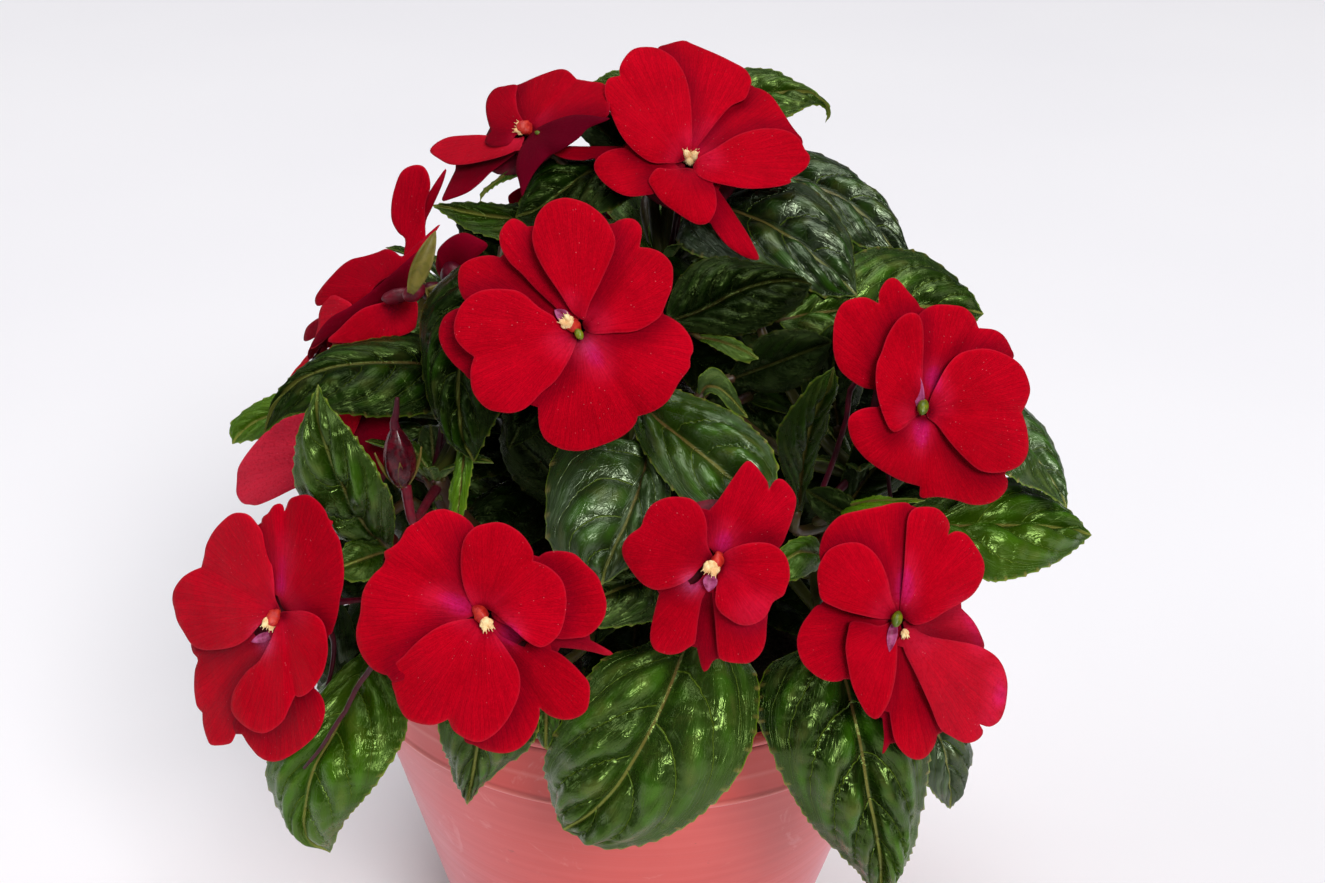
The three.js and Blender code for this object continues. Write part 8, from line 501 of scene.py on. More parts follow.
def leaf_material(name="leaf_green", spec=0.74, tint=(210, 255, 142), r0=0.23, r1=0.32):
    M = Mat(name)
    s, p, ln, sd = M.attr("s"), M.attr("p"), M.attr("ln"), M.attr("sd")
    edge, lit, dk, bk, gy = M.attr("edge"), M.attr("lit"), M.attr("dark"), M.attr("back"), M.attr("grey")
    w = M.math("MULTIPLY", M.math("SUBTRACT", M.noise(190, 2.0), 0.5), 0.16)
    pw = M.math("ADD", p, w)
    inner = M.ramp(s, 0.92, 0.74)
    side = M.math("MULTIPLY", line(M, pw, 0.028), inner)
    vein_valley_shade = M.math("MULTIPLY", line(M, pw, 0.31), inner)
    crest = M.math("MULTIPLY", M.math("SUBTRACT", 1.0, line(M, pw, 0.46)), inner)
    cell = M.math("MULTIPLY", line(M, M.math("ADD", M.attr("p2"), w), 0.20), M.ramp(s, 0.78, 0.5))
    lat = M.math("ABSOLUTE", sd)
    mid = M.ramp(lat, 0.18, 0.42, 1.0, 0.0)
    midrib_groove_shade = M.ramp(lat, 0.4, 2.4, 1.0, 0.0)
    net_v = M.xyz(M.math("MULTIPLY", p, 3.3), M.math("MULTIPLY", sd, 0.36), 0.0)
    net = M.ramp(M.voronoi(1.0, "DISTANCE_TO_EDGE", net_v), 0.0, 0.06, 1.0, 0.0)
    net2 = M.ramp(M.voronoi(3.1, "DISTANCE_TO_EDGE", net_v), 0.0, 0.16, 1.0, 0.0)
    big, mid_n = M.noise(55, 3.0), M.noise(240, 3.0)
    g = M.mix(M.ramp(big, 0.3, 0.7), lin(2, 10, 0), lin(5, 25, 0))
    g = M.mix(M.ramp(mid_n, 0.4, 0.75, 0, 0.38), g, lin(27, 55, 2))
    # painted light: the domes between the veins are painted paler, with slight brownish highlight patches, and the
    # valleys are painted deep green, near-black, as shade
    dome_highlight = M.ramp(M.noise(85, 2.0), 0.38, 0.66)
    g = M.mix(M.math("MULTIPLY", crest, M.math("MULTIPLY", dome_highlight, 0.78)), g, lin(48, 92, 6))
    g = M.mix(M.math("MULTIPLY", M.math("MULTIPLY", crest, M.ramp(M.noise(130, 2.0), 0.48, 0.66)), 0.55), g, lin(84, 84, 40))
    g = M.mix(M.math("MULTIPLY", vein_valley_shade, 0.88), g, lin(2, 8, 0))
    # painted shade in the seams between the rounder cells
    g = M.mix(M.math("MULTIPLY", cell, 0.65), g, lin(3, 10, 0))
    # painted shade in the groove along the midrib
    g = M.mix(M.math("MULTIPLY", midrib_groove_shade, 0.6), g, lin(5, 14, 0))
    g = M.mix(gy, g, lin(70, 92, 48))
    g = M.mix(lit, g, M.mix(M.ramp(big, 0.35, 0.7), lin(56, 100, 4), lin(98, 140, 16)))
    g = M.mix(M.math("MULTIPLY", net, 0.26), g, lin(54, 82, 14))
    g = M.mix(M.math("MULTIPLY", net2, 0.07), g, lin(54, 82, 14))
    g = M.mix(M.math("MULTIPLY", side, 0.80), g, lin(104, 130, 38))
    g = M.mix(M.ramp(edge, 0.05, 0.42, 0.66, 0.0), g, lin(116, 146, 26))
    g = M.mix(M.math("MULTIPLY", M.attr("tooth"), 0.6), g, lin(186, 160, 84))
    g = M.mix(M.math("MULTIPLY", mid, 0.85), g, M.mix(M.ramp(ln, 0.15, 0.9), lin(108, 84, 46), lin(126, 128, 56)))
    under = M.mix(M.ramp(big, 0.3, 0.7), lin(84, 118, 62), lin(108, 140, 78))
    under = M.mix(M.math("MULTIPLY", M.math("MAXIMUM", side, mid), 0.8), under, lin(156, 168, 104))
    g = M.mix(bk, g, under)
    # painted shade: leaves deep inside and behind are darkened towards near-black by their dark value
    g = M.mix(dk, g, lin(3, 8, 1))
    h = M.math("MULTIPLY", side, -0.9)
    h = M.math("ADD", h, M.math("MULTIPLY", net, -0.10))
    h = M.math("ADD", h, M.math("MULTIPLY", net2, -0.05))
    h = M.math("ADD", h, M.math("MULTIPLY", mid_n, 0.18))
    h = M.math("ADD", h, M.math("MULTIPLY", big, 1.6))
    h = M.math("ADD", h, M.math("MULTIPLY", M.noise(900, 2.0), 0.05))
    nrm = M.bump(h, 0.70, 0.00060)
    rough = M.ramp(mid_n, 0.3, 0.7, r0, r1)
    return M.done(Base_Color=g, Roughness=rough, Specular_IOR_Level=spec, Specular_Tint=lin(*tint), Normal=nrm)


def flesh_material(name, c0, c1, c2, rough=0.38, streak=260, spec=0.5):
    """Stems, stalks and spurs: streaked along, slightly mottled."""
    M = Mat(name)
    al = M.attr("al")
    st = M.noise(streak, 3.0, 0.6, None, 0.6)
    sp = M.noise(900, 2.0)
    c = M.mix(M.ramp(st, 0.35, 0.68), c0, c1)
    c = M.mix(M.ramp(al, 0.0, 1.0, 0.0, 0.75), c, c2)
    c = M.mix(M.ramp(sp, 0.55, 0.75, 0.0, 0.35), c, c2)
    h = M.math("ADD", M.math("MULTIPLY", st, 0.8), M.math("MULTIPLY", sp, 0.3))
    return M.done(Base_Color=c, Roughness=M.ramp(sp, 0.3, 0.7, rough - 0.06, rough + 0.1), Specular_IOR_Level=spec, Normal=M.bump(h, 0.35, 0.0003))


def stamen_material(name, c0, c1, rough=0.5):
    M = Mat(name)
    n1, n2 = M.noise(700, 3.0), M.noise(2400, 2.0)
    c = M.mix(M.ramp(n1, 0.35, 0.65), c0, c1)
    return M.done(Base_Color=c, Roughness=rough, Specular_IOR_Level=0.4, Normal=M.bump(M.math("ADD", n1, M.math("MULTIPLY", n2, 0.5)), 0.6, 0.0002))


def pot_material():
    M = Mat("pot_plastic")
    sep = M.t.nodes.new("ShaderNodeSeparateXYZ")
    M.t.links.new(M.obj, sep.inputs[0])
    z = sep.outputs["Z"]
    # fine horizontal rings left by the mould, slightly uneven round the pot
    wav = M.math("MULTIPLY", M.noise(30, 2.0), 0.0009)
    zz = M.math("ADD", z, wav)
    ring = M.noise(1.0, 2.0, 0.6, M.xyz(0.0, 0.0, M.math("MULTIPLY", zz, 900.0)))
    ring2 = M.noise(1.0, 2.0, 0.5, M.xyz(3.0, 0.0, M.math("MULTIPLY", zz, 240.0)))
    big = M.noise(22, 4.0, 0.6)
    fine = M.noise(1500, 2.0)
    c = M.mix(M.ramp(big, 0.3, 0.7), lin(196, 70, 62), lin(206, 80, 72))
    c = M.mix(M.ramp(ring2, 0.35, 0.7, 0.0, 0.45), c, lin(214, 96, 90))
    c = M.mix(M.ramp(ring, 0.5, 0.75, 0.0, 0.30), c, lin(188, 66, 58))
    c = M.mix(M.math("MULTIPLY", M.attr("rimtone"), 1.0), c, lin(206, 58, 46))
    # painted shade in the hollows under the collar and under the lip
    c = M.mix(M.math("MULTIPLY", M.attr("groove"), 0.7), c, lin(96, 26, 22))
    # painted highlight on the ridges and on the top of the lip
    c = M.mix(M.math("MULTIPLY", M.attr("bead"), 0.5), c, lin(236, 150, 140))
    scuff = M.math("MULTIPLY", M.ramp(M.noise(55, 5.0, 0.7, None, 1.2), 0.60, 0.68), 0.25)
    c = M.mix(scuff, c, lin(226, 156, 150))
    dirt = M.math("MULTIPLY", M.ramp(M.noise(170, 5.0, 0.75), 0.66, 0.74), 0.5)
    c = M.mix(dirt, c, lin(92, 52, 40))
    h = M.math("ADD", M.math("MULTIPLY", ring, 0.5), M.math("ADD", M.math("MULTIPLY", ring2, 0.7), M.math("MULTIPLY", fine, 0.14)))
    rough = M.ramp(big, 0.3, 0.7, 0.30, 0.44)
    return M.done(Base_Color=c, Roughness=rough, Specular_IOR_Level=0.5, Coat_Weight=0.12, Coat_Roughness=0.25, Sheen_Weight=0.24, Sheen_Roughness=0.45,
                  Sheen_Tint=lin(255, 196, 232), Normal=M.bump(h, 0.30, 0.0003))


def soil_material():
    M = Mat("soil")
    a, b, c3 = M.noise(90, 5.0, 0.7), M.noise(420, 4.0, 0.7), M.voronoi(700)
    c = M.mix(M.ramp(a, 0.35, 0.65), lin(30, 20, 14), lin(58, 42, 30))
    c = M.mix(M.ramp(b, 0.55, 0.72), c, lin(92, 70, 48))
    c = M.mix(M.ramp(c3, 0.02, 0.12, 0.6, 0.0), c, lin(22, 14, 10))
    h = M.math("ADD", a, M.math("ADD", b, M.math("MULTIPLY", c3, -0.6)))
    return M.done(Base_Color=c, Roughness=0.92, Specular_IOR_Level=0.25, Normal=M.bump(h, 1.0, 0.0012))


def floor_material():
    M = Mat("floor_pale")
    n1 = M.noise(3.0, 2.0)
    c = M.mix(M.ramp(n1, 0.3, 0.7), (0.855, 0.845, 0.875), (0.875, 0.865, 0.89))
    # the floor ends in a soft edge far out, so that no horizon line shows
    far = M.t.nodes.new("ShaderNodeVectorMath")
    far.operation = "LENGTH"
    M.t.links.new(M.obj, far.inputs[0])
    return M.done(Base_Color=c, Roughness=0.9, Specular_IOR_Level=0.1, Alpha=M.ramp(far.outputs["Value"], 1.9, 3.3, 1.0, 0.0))


# ------------------------------------------------------------------- petals
def outline(pts, step):
    """Closed smooth outline through the points, broken at the corners."""
    n = len(pts)
    P = np.array([q[:2] for q in pts], float)
    cor = [len(q) > 2 and q[2] for q in pts]
    start = cor.index(1) if 1 in cor else 0
    run, runs = [P[start]], []
    m = 10
    for j in range(n):
        i = (start + j) % n
        p1, p2 = P[i], P[(i + 1) % n]
        p0 = P[i - 1] if not cor[i] else 2 * p1 - p2
        p3 = P[(i + 2) % n] if not cor[(i + 1) % n] else 2 * p2 - p1
        for k in range(1, m + 1):
            t = k / m
            run.append(0.5 * (2 * p1 + (-p0 + p2) * t + (2 * p0 - 5 * p1 + 4 * p2 - p3) * t * t + (-p0 + 3 * p1 - 3 * p2 + p3) * t ** 3))
        if cor[(i + 1) % n] or j == n - 1:
            runs.append(np.array(run))
            run = [run[-1]]
    out = []
    for q in runs:
        d = np.r_[0, np.cumsum(np.linalg.norm(np.diff(q, axis=0), axis=1))]
        k = max(2, int(round(d[-1] / step)))
        s = np.linspace(0, d[-1], k, endpoint=False)
        out.append(np.stack([np.interp(s, d, q[:, 0]), np.interp(s, d, q[:, 1])], 1))
    return np.vstack(out)


def inside(P, Q):
    """Which points P lie in polygon Q."""
    x, y = P[:, 0][:, None], P[:, 1][:, None]
    x1, y1 = Q[:, 0], Q[:, 1]
    x2, y2 = np.roll(x1, -1), np.roll(y1, -1)
    c = ((y1 > y) != (y2 > y)) & (x < (x2 - x1) * (y - y1) / (y2 - y1 + 1e-12) + x1)
    return c.sum(1) % 2 == 1


def mesh2d(Q, h):
    """Triangles inside outline Q with points about h apart."""
    lo, hi = Q.min(0), Q.max(0)
    ys = np.arange(lo[1], hi[1], h * 0.866)
    G = np.array([(x + (0.5 * h if i % 2 else 0), y) for i, y in enumerate(ys) for x in np.arange(lo[0], hi[0], h)])
    if len(G):
        d = np.sqrt(((G[:, None, :] - Q[None, :, :]) ** 2).sum(2)).min(1)
        G = G[inside(G, Q) & (d > 0.6 * h)]
    V = [Vector(q) for q in Q] + [Vector(g) for g in G]
    E = [(i, (i + 1) % len(Q)) for i in range(len(Q))]
    v, e, f, *_ = delaunay_2d_cdt(V, E, [], 1, 1e-5)
    return np.array([(q.x, q.y) for q in v]), [tuple(t) for t in f]


def to_face(f, lb, Q, k="face"):
    """Points of a lobe's own plane, laid flat along the flower's axis or along its line of growth."""
    X = np.array(lb["org"], float) + Q[:, :1] * np.array(lb["r"], float) + Q[:, 1:] * np.array(lb["u"], float) - np.array(f["P"], float)
    r0, u0 = f[k]
    return np.stack([X @ r0, X @ u0], 1)


def away_from(P0, Q):
    return np.sqrt(((P0[:, None, :] - Q[None, :, :]) ** 2).sum(2)).min(1)


def tuck(f, lb, Q, over):
    """Carry the outline on beneath the lobes that lie over it."""
    nx = np.roll(Q, -1, 0) - np.roll(Q, 1, 0)
    nx = nx / (np.linalg.norm(nx, axis=1)[:, None] + 1e-9)
    no = np.stack([nx[:, 1], -nx[:, 0]], 1)
    area = 0.5 * np.sum(Q[:, 0] * np.roll(Q[:, 1], -1) - np.roll(Q[:, 0], -1) * Q[:, 1])
    if area < 0:
        no = -no
    R = np.hypot(Q[:, 0], Q[:, 1])
    own = to_face(f, lb, Q, "grow")
    step = np.zeros(len(Q))
    for Qo in over:
        near = inside(own, Qo) | (away_from(own, Qo) < 1.0)
        for k in (0.8, 1.4, 2.0, 2.6):
            P1 = to_face(f, lb, Q + no * k, "grow")
            ok = near & inside(P1, Qo) & (away_from(P1, Qo) > 0.35)
            step = np.where(ok, np.maximum(step, k), step)
    step = step * sstep(2.0, 4.5, R)
    for _ in range(3):
        step = np.minimum(step, (np.roll(step, 1) + np.roll(step, -1) + step) / 3 + 0.2)
    # whatever still looks out from beneath stays where it was
    P1 = to_face(f, lb, Q + no * step[:, None], "grow")
    hid = np.zeros(len(Q), bool)
    for Qo in over:
        hid |= inside(P1, Qo)
    keep = hid | (step < 0.05)
    step = np.where(keep & np.roll(keep, 1) & np.roll(keep, -1), step, 0.0)
    for _ in range(2):
        step = np.minimum(step, (np.roll(step, 1) + np.roll(step, -1) + step) / 3 + 0.2)
    return Q + no * step[:, None]


def petal(bag, f, lb, seed):
    rs = np.random.RandomState(abs(int(seed)) + 1)
    org, r, u = (np.array(lb[k], float) for k in ("org", "r", "u"))
    n, g = np.array(f["n"], float), np.array(f["g"], float)
    nn = unit(np.cross(r, u))
    if nn @ n < 0:
        nn = -nn
    Q = outline(lb["pts"], 0.75)
    if not f["own"] and lb["over"]:
        Q = tuck(f, lb, Q, lb["cover"])
    A, F = mesh2d(Q, 0.95)
    a, b = A[:, 0], A[:, 1]
    R = np.hypot(a, b)
    rim = np.sqrt(((A[:, None, :] - Q[None, :, :]) ** 2).sum(2)).min(1)
    corners = [q for q in lb["pts"] if len(q) > 2 and q[2]]
    cen = Q.mean(0)
    far = Q[np.argmax(np.hypot(Q[:, 0], Q[:, 1]))]
    ax = unit(corners[0][:2]) if corners else unit(cen)
    sd = np.array([-ax[1], ax[0]])
    x, y = A @ ax, A @ sd
    Rm = max(np.hypot(*far), 6.0)
    D = lb["layer"] * LAYER * (0.18 + 0.82 * sstep(1.5, 10, R))
    # the face is a little convex, with a hollow at the throat
    D = D + f.get("lift", 1.6) - 0.0030 * R ** 2 - 2.4 * np.exp(-(R / 3.0) ** 2) + 0.5 * np.exp(-((R - 6.5) / 3.2) ** 2)
    dent = 0.0
    if corners:
        cr = np.hypot(*corners[0][:2])
        dent = np.exp(-(y / 1.5) ** 2) * sstep(3, 9, x) * 0.75
        D = D - dent + 0.30 * np.exp(-((np.abs(y) - 4.5) / 3.0) ** 2) * sstep(5, 12, x)
        D = D - 0.5 * np.exp(-(((x - cr) ** 2 + y ** 2) / 6.0))
    else:
        D = D + 0.25 * np.cos(np.clip(y / 9.0, -1.5, 1.5)) * sstep(4, 12, x)
    # soft waves and a rolled rim
    k1, k2, k3 = rs.uniform(0.16, 0.26), rs.uniform(0.26, 0.42), rs.uniform(0, 6.28, 3)
    D = D + (0.50 * np.sin(k1 * a + 0.13 * b + k3[0]) + 0.32 * np.sin(k2 * b - 0.11 * a + k3[1])) * sstep(6, 16, R)
    fan = np.arctan2(b, a)
    D = D + (0.10 * np.sin(11 * fan + k3[1]) + 0.06 * np.sin(23 * fan + k3[2])) * sstep(3, 9, R) * sstep(22, 16, R)
    D = D + 0.10 * np.sin(0.9 * a + 0.5 * b + k3[2]) * sstep(8, 18, R)
    roll = lb.get("roll", -0.55)
    D = D + roll * np.exp(-rim / 1.1) * sstep(6, 12, R)
    V = org + a[:, None] * r + b[:, None] * u + D[:, None] * g
    th = 0.10 + 0.30 * (1 - np.exp(-rim / 0.8))
    W = V - nn * th[:, None]
    ang = np.arctan2(b, a)
    ref = math.atan2(cen[1], cen[0])
    ang = (ang - ref + np.pi) % (2 * np.pi) - np.pi
    pa = ang * 4.0 + (seed % 7) * 0.37
    flush, white = np.zeros(len(A)), np.zeros(len(A))
    flush += 0.22 * np.exp(-(R / 4.2) ** 2)
    if corners:
        flush += 0.14 * np.exp(-(y / 1.1) ** 2) * sstep(13, 4, x) * sstep(1, 3, x)
    for sx, sy, sr, kind, amt in f.get("spots", []):
        # spots are given in the flower's own plane
        w = 0.85 * amt * np.exp(-(((a - sx) ** 2 + (b - sy) ** 2) / (sr * sr)))
        if kind:
            white += w
        else:
            flush += w
    # painted shadow: darker where another lobe lies over this one, and next to its edge
    P0 = to_face(f, lb, A)
    under = np.zeros(len(A))
    for Qo in lb["over"]:
        dist = np.where(inside(P0, Qo), 0.0, away_from(P0, Qo))
        under = np.maximum(under, np.exp(-(dist / 3.2) ** 2))
    under *= 0.45 + 0.55 * sstep(2.5, 8.0, R)
    dk = lb.get("dark", 0.0)
    dk = dk + 0.50 * (1 - dk) * under
    base = dict(pr=R, rim=rim, flush=np.clip(flush, 0, 1), white=np.clip(white, 0, 1), dark=dk, pink=lb.get("pink", 0.0), pa=pa)
    N = len(V)
    used = {}
    F2 = []
    for t in F:
        p0, p1, p2 = V[t[0]], V[t[1]], V[t[2]]
        if np.cross(p1 - p0, p2 - p0) @ nn < 0:
            t = t[::-1]
        F2.append(t)
        for i in range(3):
            used[(t[i], t[(i + 1) % 3])] = 1
    faces = list(F2) + [tuple(N + i for i in t[::-1]) for t in F2]
    for (i, j) in used:
        if (j, i) not in used:
            faces.append((j, i, N + i, N + j))
    both = {k: (np.r_[v, v] if np.ndim(v) else v) for k, v in base.items()}
    both["back"] = np.r_[np.zeros(N), np.ones(N)]
    bag.add(np.vstack([V, W]), faces, 0, **both)


# ------------------------------------------------------------------- leaves
def arched(phi, rb, zb, ln, wd, pitch, droop, twist=0.0, n=8, swing=0.0, cx=0.0, cy=0.0):
    """Rows of a leaf that arches outwards. phi: 0 is the front, 90 the right."""
    a = math.radians(phi)
    P = np.array([cx + math.sin(a) * rb, cy - math.cos(a) * rb, zb])
    W = [0.16, 0.62, 0.90, 1.0, 0.95, 0.78, 0.46, 0.0]
    m = []
    for i in range(n):
        m.append(P.copy())
        t = (i + 0.5) / (n - 1)
        p = math.radians(pitch - droop * t)
        aa = a + math.radians(swing) * t
        out = np.array([math.sin(aa), -math.cos(aa), 0.0])
        P = P + (out * math.cos(p) + np.array([0, 0, 1.0]) * math.sin(p)) * ln / (n - 1)
    m = np.array(m)
    rows = []
    for i in range(n):
        ax = unit(m[min(i + 1, n - 1)] - m[max(i - 1, 0)])
        sd0 = unit(np.cross(ax, [0, 0, 1.0]) if abs(ax[2]) < 0.98 else np.array([math.cos(a), math.sin(a), 0]))
        nn = unit(np.cross(sd0, ax))
        tw = math.radians(twist) * (0.3 + 0.7 * i / (n - 1))
        sd = sd0 * math.cos(tw) + nn * math.sin(tw)
        up = unit(np.cross(sd, ax))
        h = wd / 2 * W[i]
        rows.append([m[i], m[i] - sd * h + up * 0.16 * h, m[i] + sd * h + up * 0.16 * h])
    return np.array(rows)


def stalk_path(m0, away, att, lead):
    a = m0 + away * lead
    b = np.asarray(att, float)
    mid = (a + b) / 2
    mid[2] -= np.linalg.norm(a - b) * 0.12
    return np.array([m0, a, mid, b])


def face_sign(rows, face):
    """+1 if side x along points to the upper side."""
    R = np.asarray(rows, float)
    s = R[3, 2] - R[3, 1]
    a = R[4, 0] - R[2, 0]
    n = np.cross(s, a)
    return 1.0 if n @ np.asarray(face, float) > 0 else -1.0


def leaf(name, rows, att, seed, rep=(), lit=0.0, dark=0.0, grey=0.0, veins=6.5, quilt=1.0, res=1.0, wave=0.35, face=None,
         stalk=(1.15, 1.35), lit_edge=None, curl=0.0, bulge=0.13, teeth=1.0, back=0.0, satin=False, cells=1.0):
    rs = np.random.RandomState(abs(int(seed)) + 1)
    rows = np.asarray(rows, float)
    M, L, R = rows[:, 0], rows[:, 1], rows[:, 2]
    # a narrow base that runs into the stalk
    b0 = M[0] + (M[0] - M[1]) * 0.22
    M = np.vstack([b0, M])
    L = np.vstack([b0 + unit(L[0] - M[1]) * 0.9, L])
    R = np.vstack([b0 + unit(R[0] - M[1]) * 0.9, R])
    d = np.r_[0, np.cumsum(np.linalg.norm(np.diff(M, axis=0), axis=1))]
    LEN = d[-1]
    nt = int(max(26, LEN / 0.52 * res))
    q = np.hstack([M, L - M, R - M])
    Q = np.vstack([2 * q[0] - q[1], q, 2 * q[-1] - q[-2]])
    t_all = []
    m = 16
    for i in range(1, len(Q) - 2):
        t = np.linspace(0, 1, m, endpoint=False)[:, None]
        t_all.append(0.5 * (2 * Q[i] + (-Q[i - 1] + Q[i + 1]) * t + (2 * Q[i - 1] - 5 * Q[i] + 4 * Q[i + 1] - Q[i + 2]) * t ** 2
                            + (-Q[i - 1] + 3 * Q[i] - 3 * Q[i + 1] + Q[i + 2]) * t ** 3))
    C = np.vstack(t_all + [q[-1:]])
    dd = np.r_[0, np.cumsum(np.linalg.norm(np.diff(C[:, :3], axis=0), axis=1))]
    ss = np.linspace(0, dd[-1], nt)
    C = np.stack([np.interp(ss, dd, C[:, k]) for k in range(9)], 1)
    M, EL, ER = C[:, :3], C[:, 3:6], C[:, 6:]
    # round the very tip
    T = np.gradient(M, axis=0)
    T /= np.linalg.norm(T, axis=1)[:, None] + 1e-12
    S = ER - EL
    S = S / (np.linalg.norm(S, axis=1)[:, None] + 1e-9)
    k = max(2, nt // 14)
    S[-k:] = S[-k - 1]
    N = np.cross(S, T)
    N /= np.linalg.norm(N, axis=1)[:, None] + 1e-9
    if face is None:
        face = CAM - M[nt // 2]
    sg = 1.0 if (N[nt // 2] @ np.asarray(face, float)) > 0 else -1.0
    N = N * sg
    tt = np.linspace(0, 1, nt)
    env = sstep(0.02, 0.14, tt) * sstep(1.0, 0.86, tt)
    nc = max(5, int(round(13 * min(1.0, res) ** 1.2)))
    js = (np.linspace(0, 1, nc + 1)) ** 1.05
    cols, att_s, att_p, att_sd, att_e, att_tooth = [], [], [], [], [], []
    nv = veins
    grid = []
    for side, E in ((-1, EL), (1, ER)):
        W = np.linalg.norm(E, axis=1)
        dirn = E / (W[:, None] + 1e-9)
        dirn[-k:] = dirn[-k - 1]
        ph0 = rs.uniform(0, 0.5) + (0.5 if side > 0 else 0.0)
        # teeth
        pitch = rs.uniform(2.4, 3.1) * (0.7 + 0.3 * min(1, LEN / 55))
        x = ss / pitch + 0.35 * np.sin(ss * 0.31 + seed + side)
        fr = x - np.floor(x)
        tooth = np.where(fr < 0.78, (fr / 0.78) ** 1.6, (1 - fr) / 0.22)
        amp = (0.46 + 0.20 * np.sin(ss * 0.53 + seed * 1.7)) * sstep(0.05, 0.16, tt) * sstep(1.0, 0.95, tt) * teeth * (0.6 + 0.4 * min(1, LEN / 60))
        edge_wave = wave * (np.sin(ss * 2 * np.pi / 13.0 + seed + side) + 0.6 * np.sin(ss * 2 * np.pi / 7.3 + 2.1 * seed)) * env
        for j in range(0 if side > 0 else 1, nc + 1):
            s = js[j]
            F = -0.27 * np.log(1 - min(s, 0.97) / 1.08) * s / (s + 0.20)
            p = (tt - F) * nv + ph0 + 10.0
            p = p + 0.10 * np.sin(2.3 * tt * nv + seed) * s
            qv = np.abs(np.sin(np.pi * p)) ** 0.62
            es = sstep(0.0, 0.16, s) * (1 - 0.96 * float(sstep(0.52, 0.90, s)))
            amp_q = quilt * np.minimum(3.5, 0.31 * LEN / nv) * (0.45 + 0.55 * np.minimum(1, W / 12.0)) * (0.86 + 0.28 * np.sin(5.1 * tt + 2.2 * side + seed))
            rimk = 1 - s ** 6
            # each dome is parted again across, into rounder cells
            c2 = s * (1.0 + W / 10.0) + 0.22 * np.sin(9 * tt + seed) + 0.5 * np.floor(p) + 0.3
            q2 = np.abs(np.sin(np.pi * c2)) ** 0.5
            h = amp_q * qv * (1 - 0.40 * cells + 0.40 * cells * q2) * es * env * rimk
            h = h + 0.10 * quilt * np.sin(1.3 * ss + 6.0 * s + seed) * env * es
            h = h + bulge * W * (1 - (2 * s - 1) ** 2) * env
            h = h - 0.55 * math.exp(-(s * 5.5) ** 2) * env * quilt
            h = h + edge_wave * s ** 2.2 + curl * W * s ** 3
            X = M + E * s + N * h[:, None]
            if j == nc:
                X = X + dirn * ((tooth - 0.5) * amp)[:, None] + T * (tooth * amp * 0.55)[:, None]
            elif j == nc - 1:
                X = X + dirn * ((tooth - 0.5) * amp * 0.25)[:, None]
            grid.append((side * s, X, dict(s=np.full(nt, s), p=p, p2=c2, sd=side * s * W, edge=(1 - s) * W, tooth=(tooth ** 4 if j == nc else 0 * tooth))))
    grid.sort(key=lambda g: g[0])
    ncol = len(grid)
    V = np.stack([g[1] for g in grid], 1).reshape(-1, 3)
    A = {kk: np.stack([g[2][kk] for g in grid], 1).reshape(-1) for kk in ("s", "p", "p2", "sd", "edge", "tooth")}
    A["ln"] = np.repeat(tt, ncol)
    NN = np.repeat(N, ncol, 0)
    th = 0.16 + 0.34 * (1 - np.exp(-A["edge"] / 1.2))
    B = V - NN * th[:, None]
    n = nt * ncol
    F = []
    for i in range(nt - 1):
        for j in range(ncol - 1):
            a = i * ncol + j
            F.append((a, a + 1, a + ncol + 1, a + ncol))
    n0 = np.cross(V[1] - V[0], V[ncol] - V[0])
    mid = (nt // 2) * ncol + ncol // 2
    n0 = np.cross(V[mid + 1] - V[mid], V[mid + ncol] - V[mid])
    flip = n0 @ NN[mid] < 0
    top = [t[::-1] for t in F] if flip else F
    bot = [tuple(n + i for i in t[::-1]) for t in top]
    edges = {}
    for t in top:
        for i in range(4):
            edges[(t[i], t[(i + 1) % 4])] = 1
    rim = [(j, i, n + i, n + j) for (i, j) in edges if (j, i) not in edges]
    A = {kk: np.r_[v, v] for kk, v in A.items()}
    A["back"] = np.r_[np.full(n, back), np.full(n, 1.0 - back)]
    A["lit"] = lit
    if lit_edge is not None:
        # brighter where light comes through, towards one part of the blade
        side, t0, t1, amt = lit_edge
        A["lit"] = np.clip(lit + amt * sstep(t0, t1, A["ln"]) * sstep(-0.2, 0.7, A["s"] * np.sign(A["sd"]) * side), 0, 1)
    A["dark"], A["grey"] = dark, grey
    bag = Bag()
    bag.add(np.vstack([V, B]), top + bot + rim, 0, **A)
    # stalk
    away = unit(rows[0, 0] - rows[1, 0])
    path = stalk_path(rows[0, 0] + away * 0.2 - N[0] * 0.5, away, att, 6)
    if dark < 0.6:
        tv, tf, al = tube(np.vstack([M[min(nt - 1, nt // 9)] - N[nt // 9] * 0.75, path]), [0.45, stalk[0], stalk[0], stalk[1], stalk[1] * 1.25], 9, 22)
    else:
        tv, tf, al = tube(path, [stalk[0], stalk[1] * 1.2], 7, 10)
    bag.add(tv, tf, 1, al=al, dark=dark)
    return bag.done(name, [MAT_SATIN if satin else MAT_LEAF if dark < 0.5 else MAT_SHADE, MAT_STALK], rep)


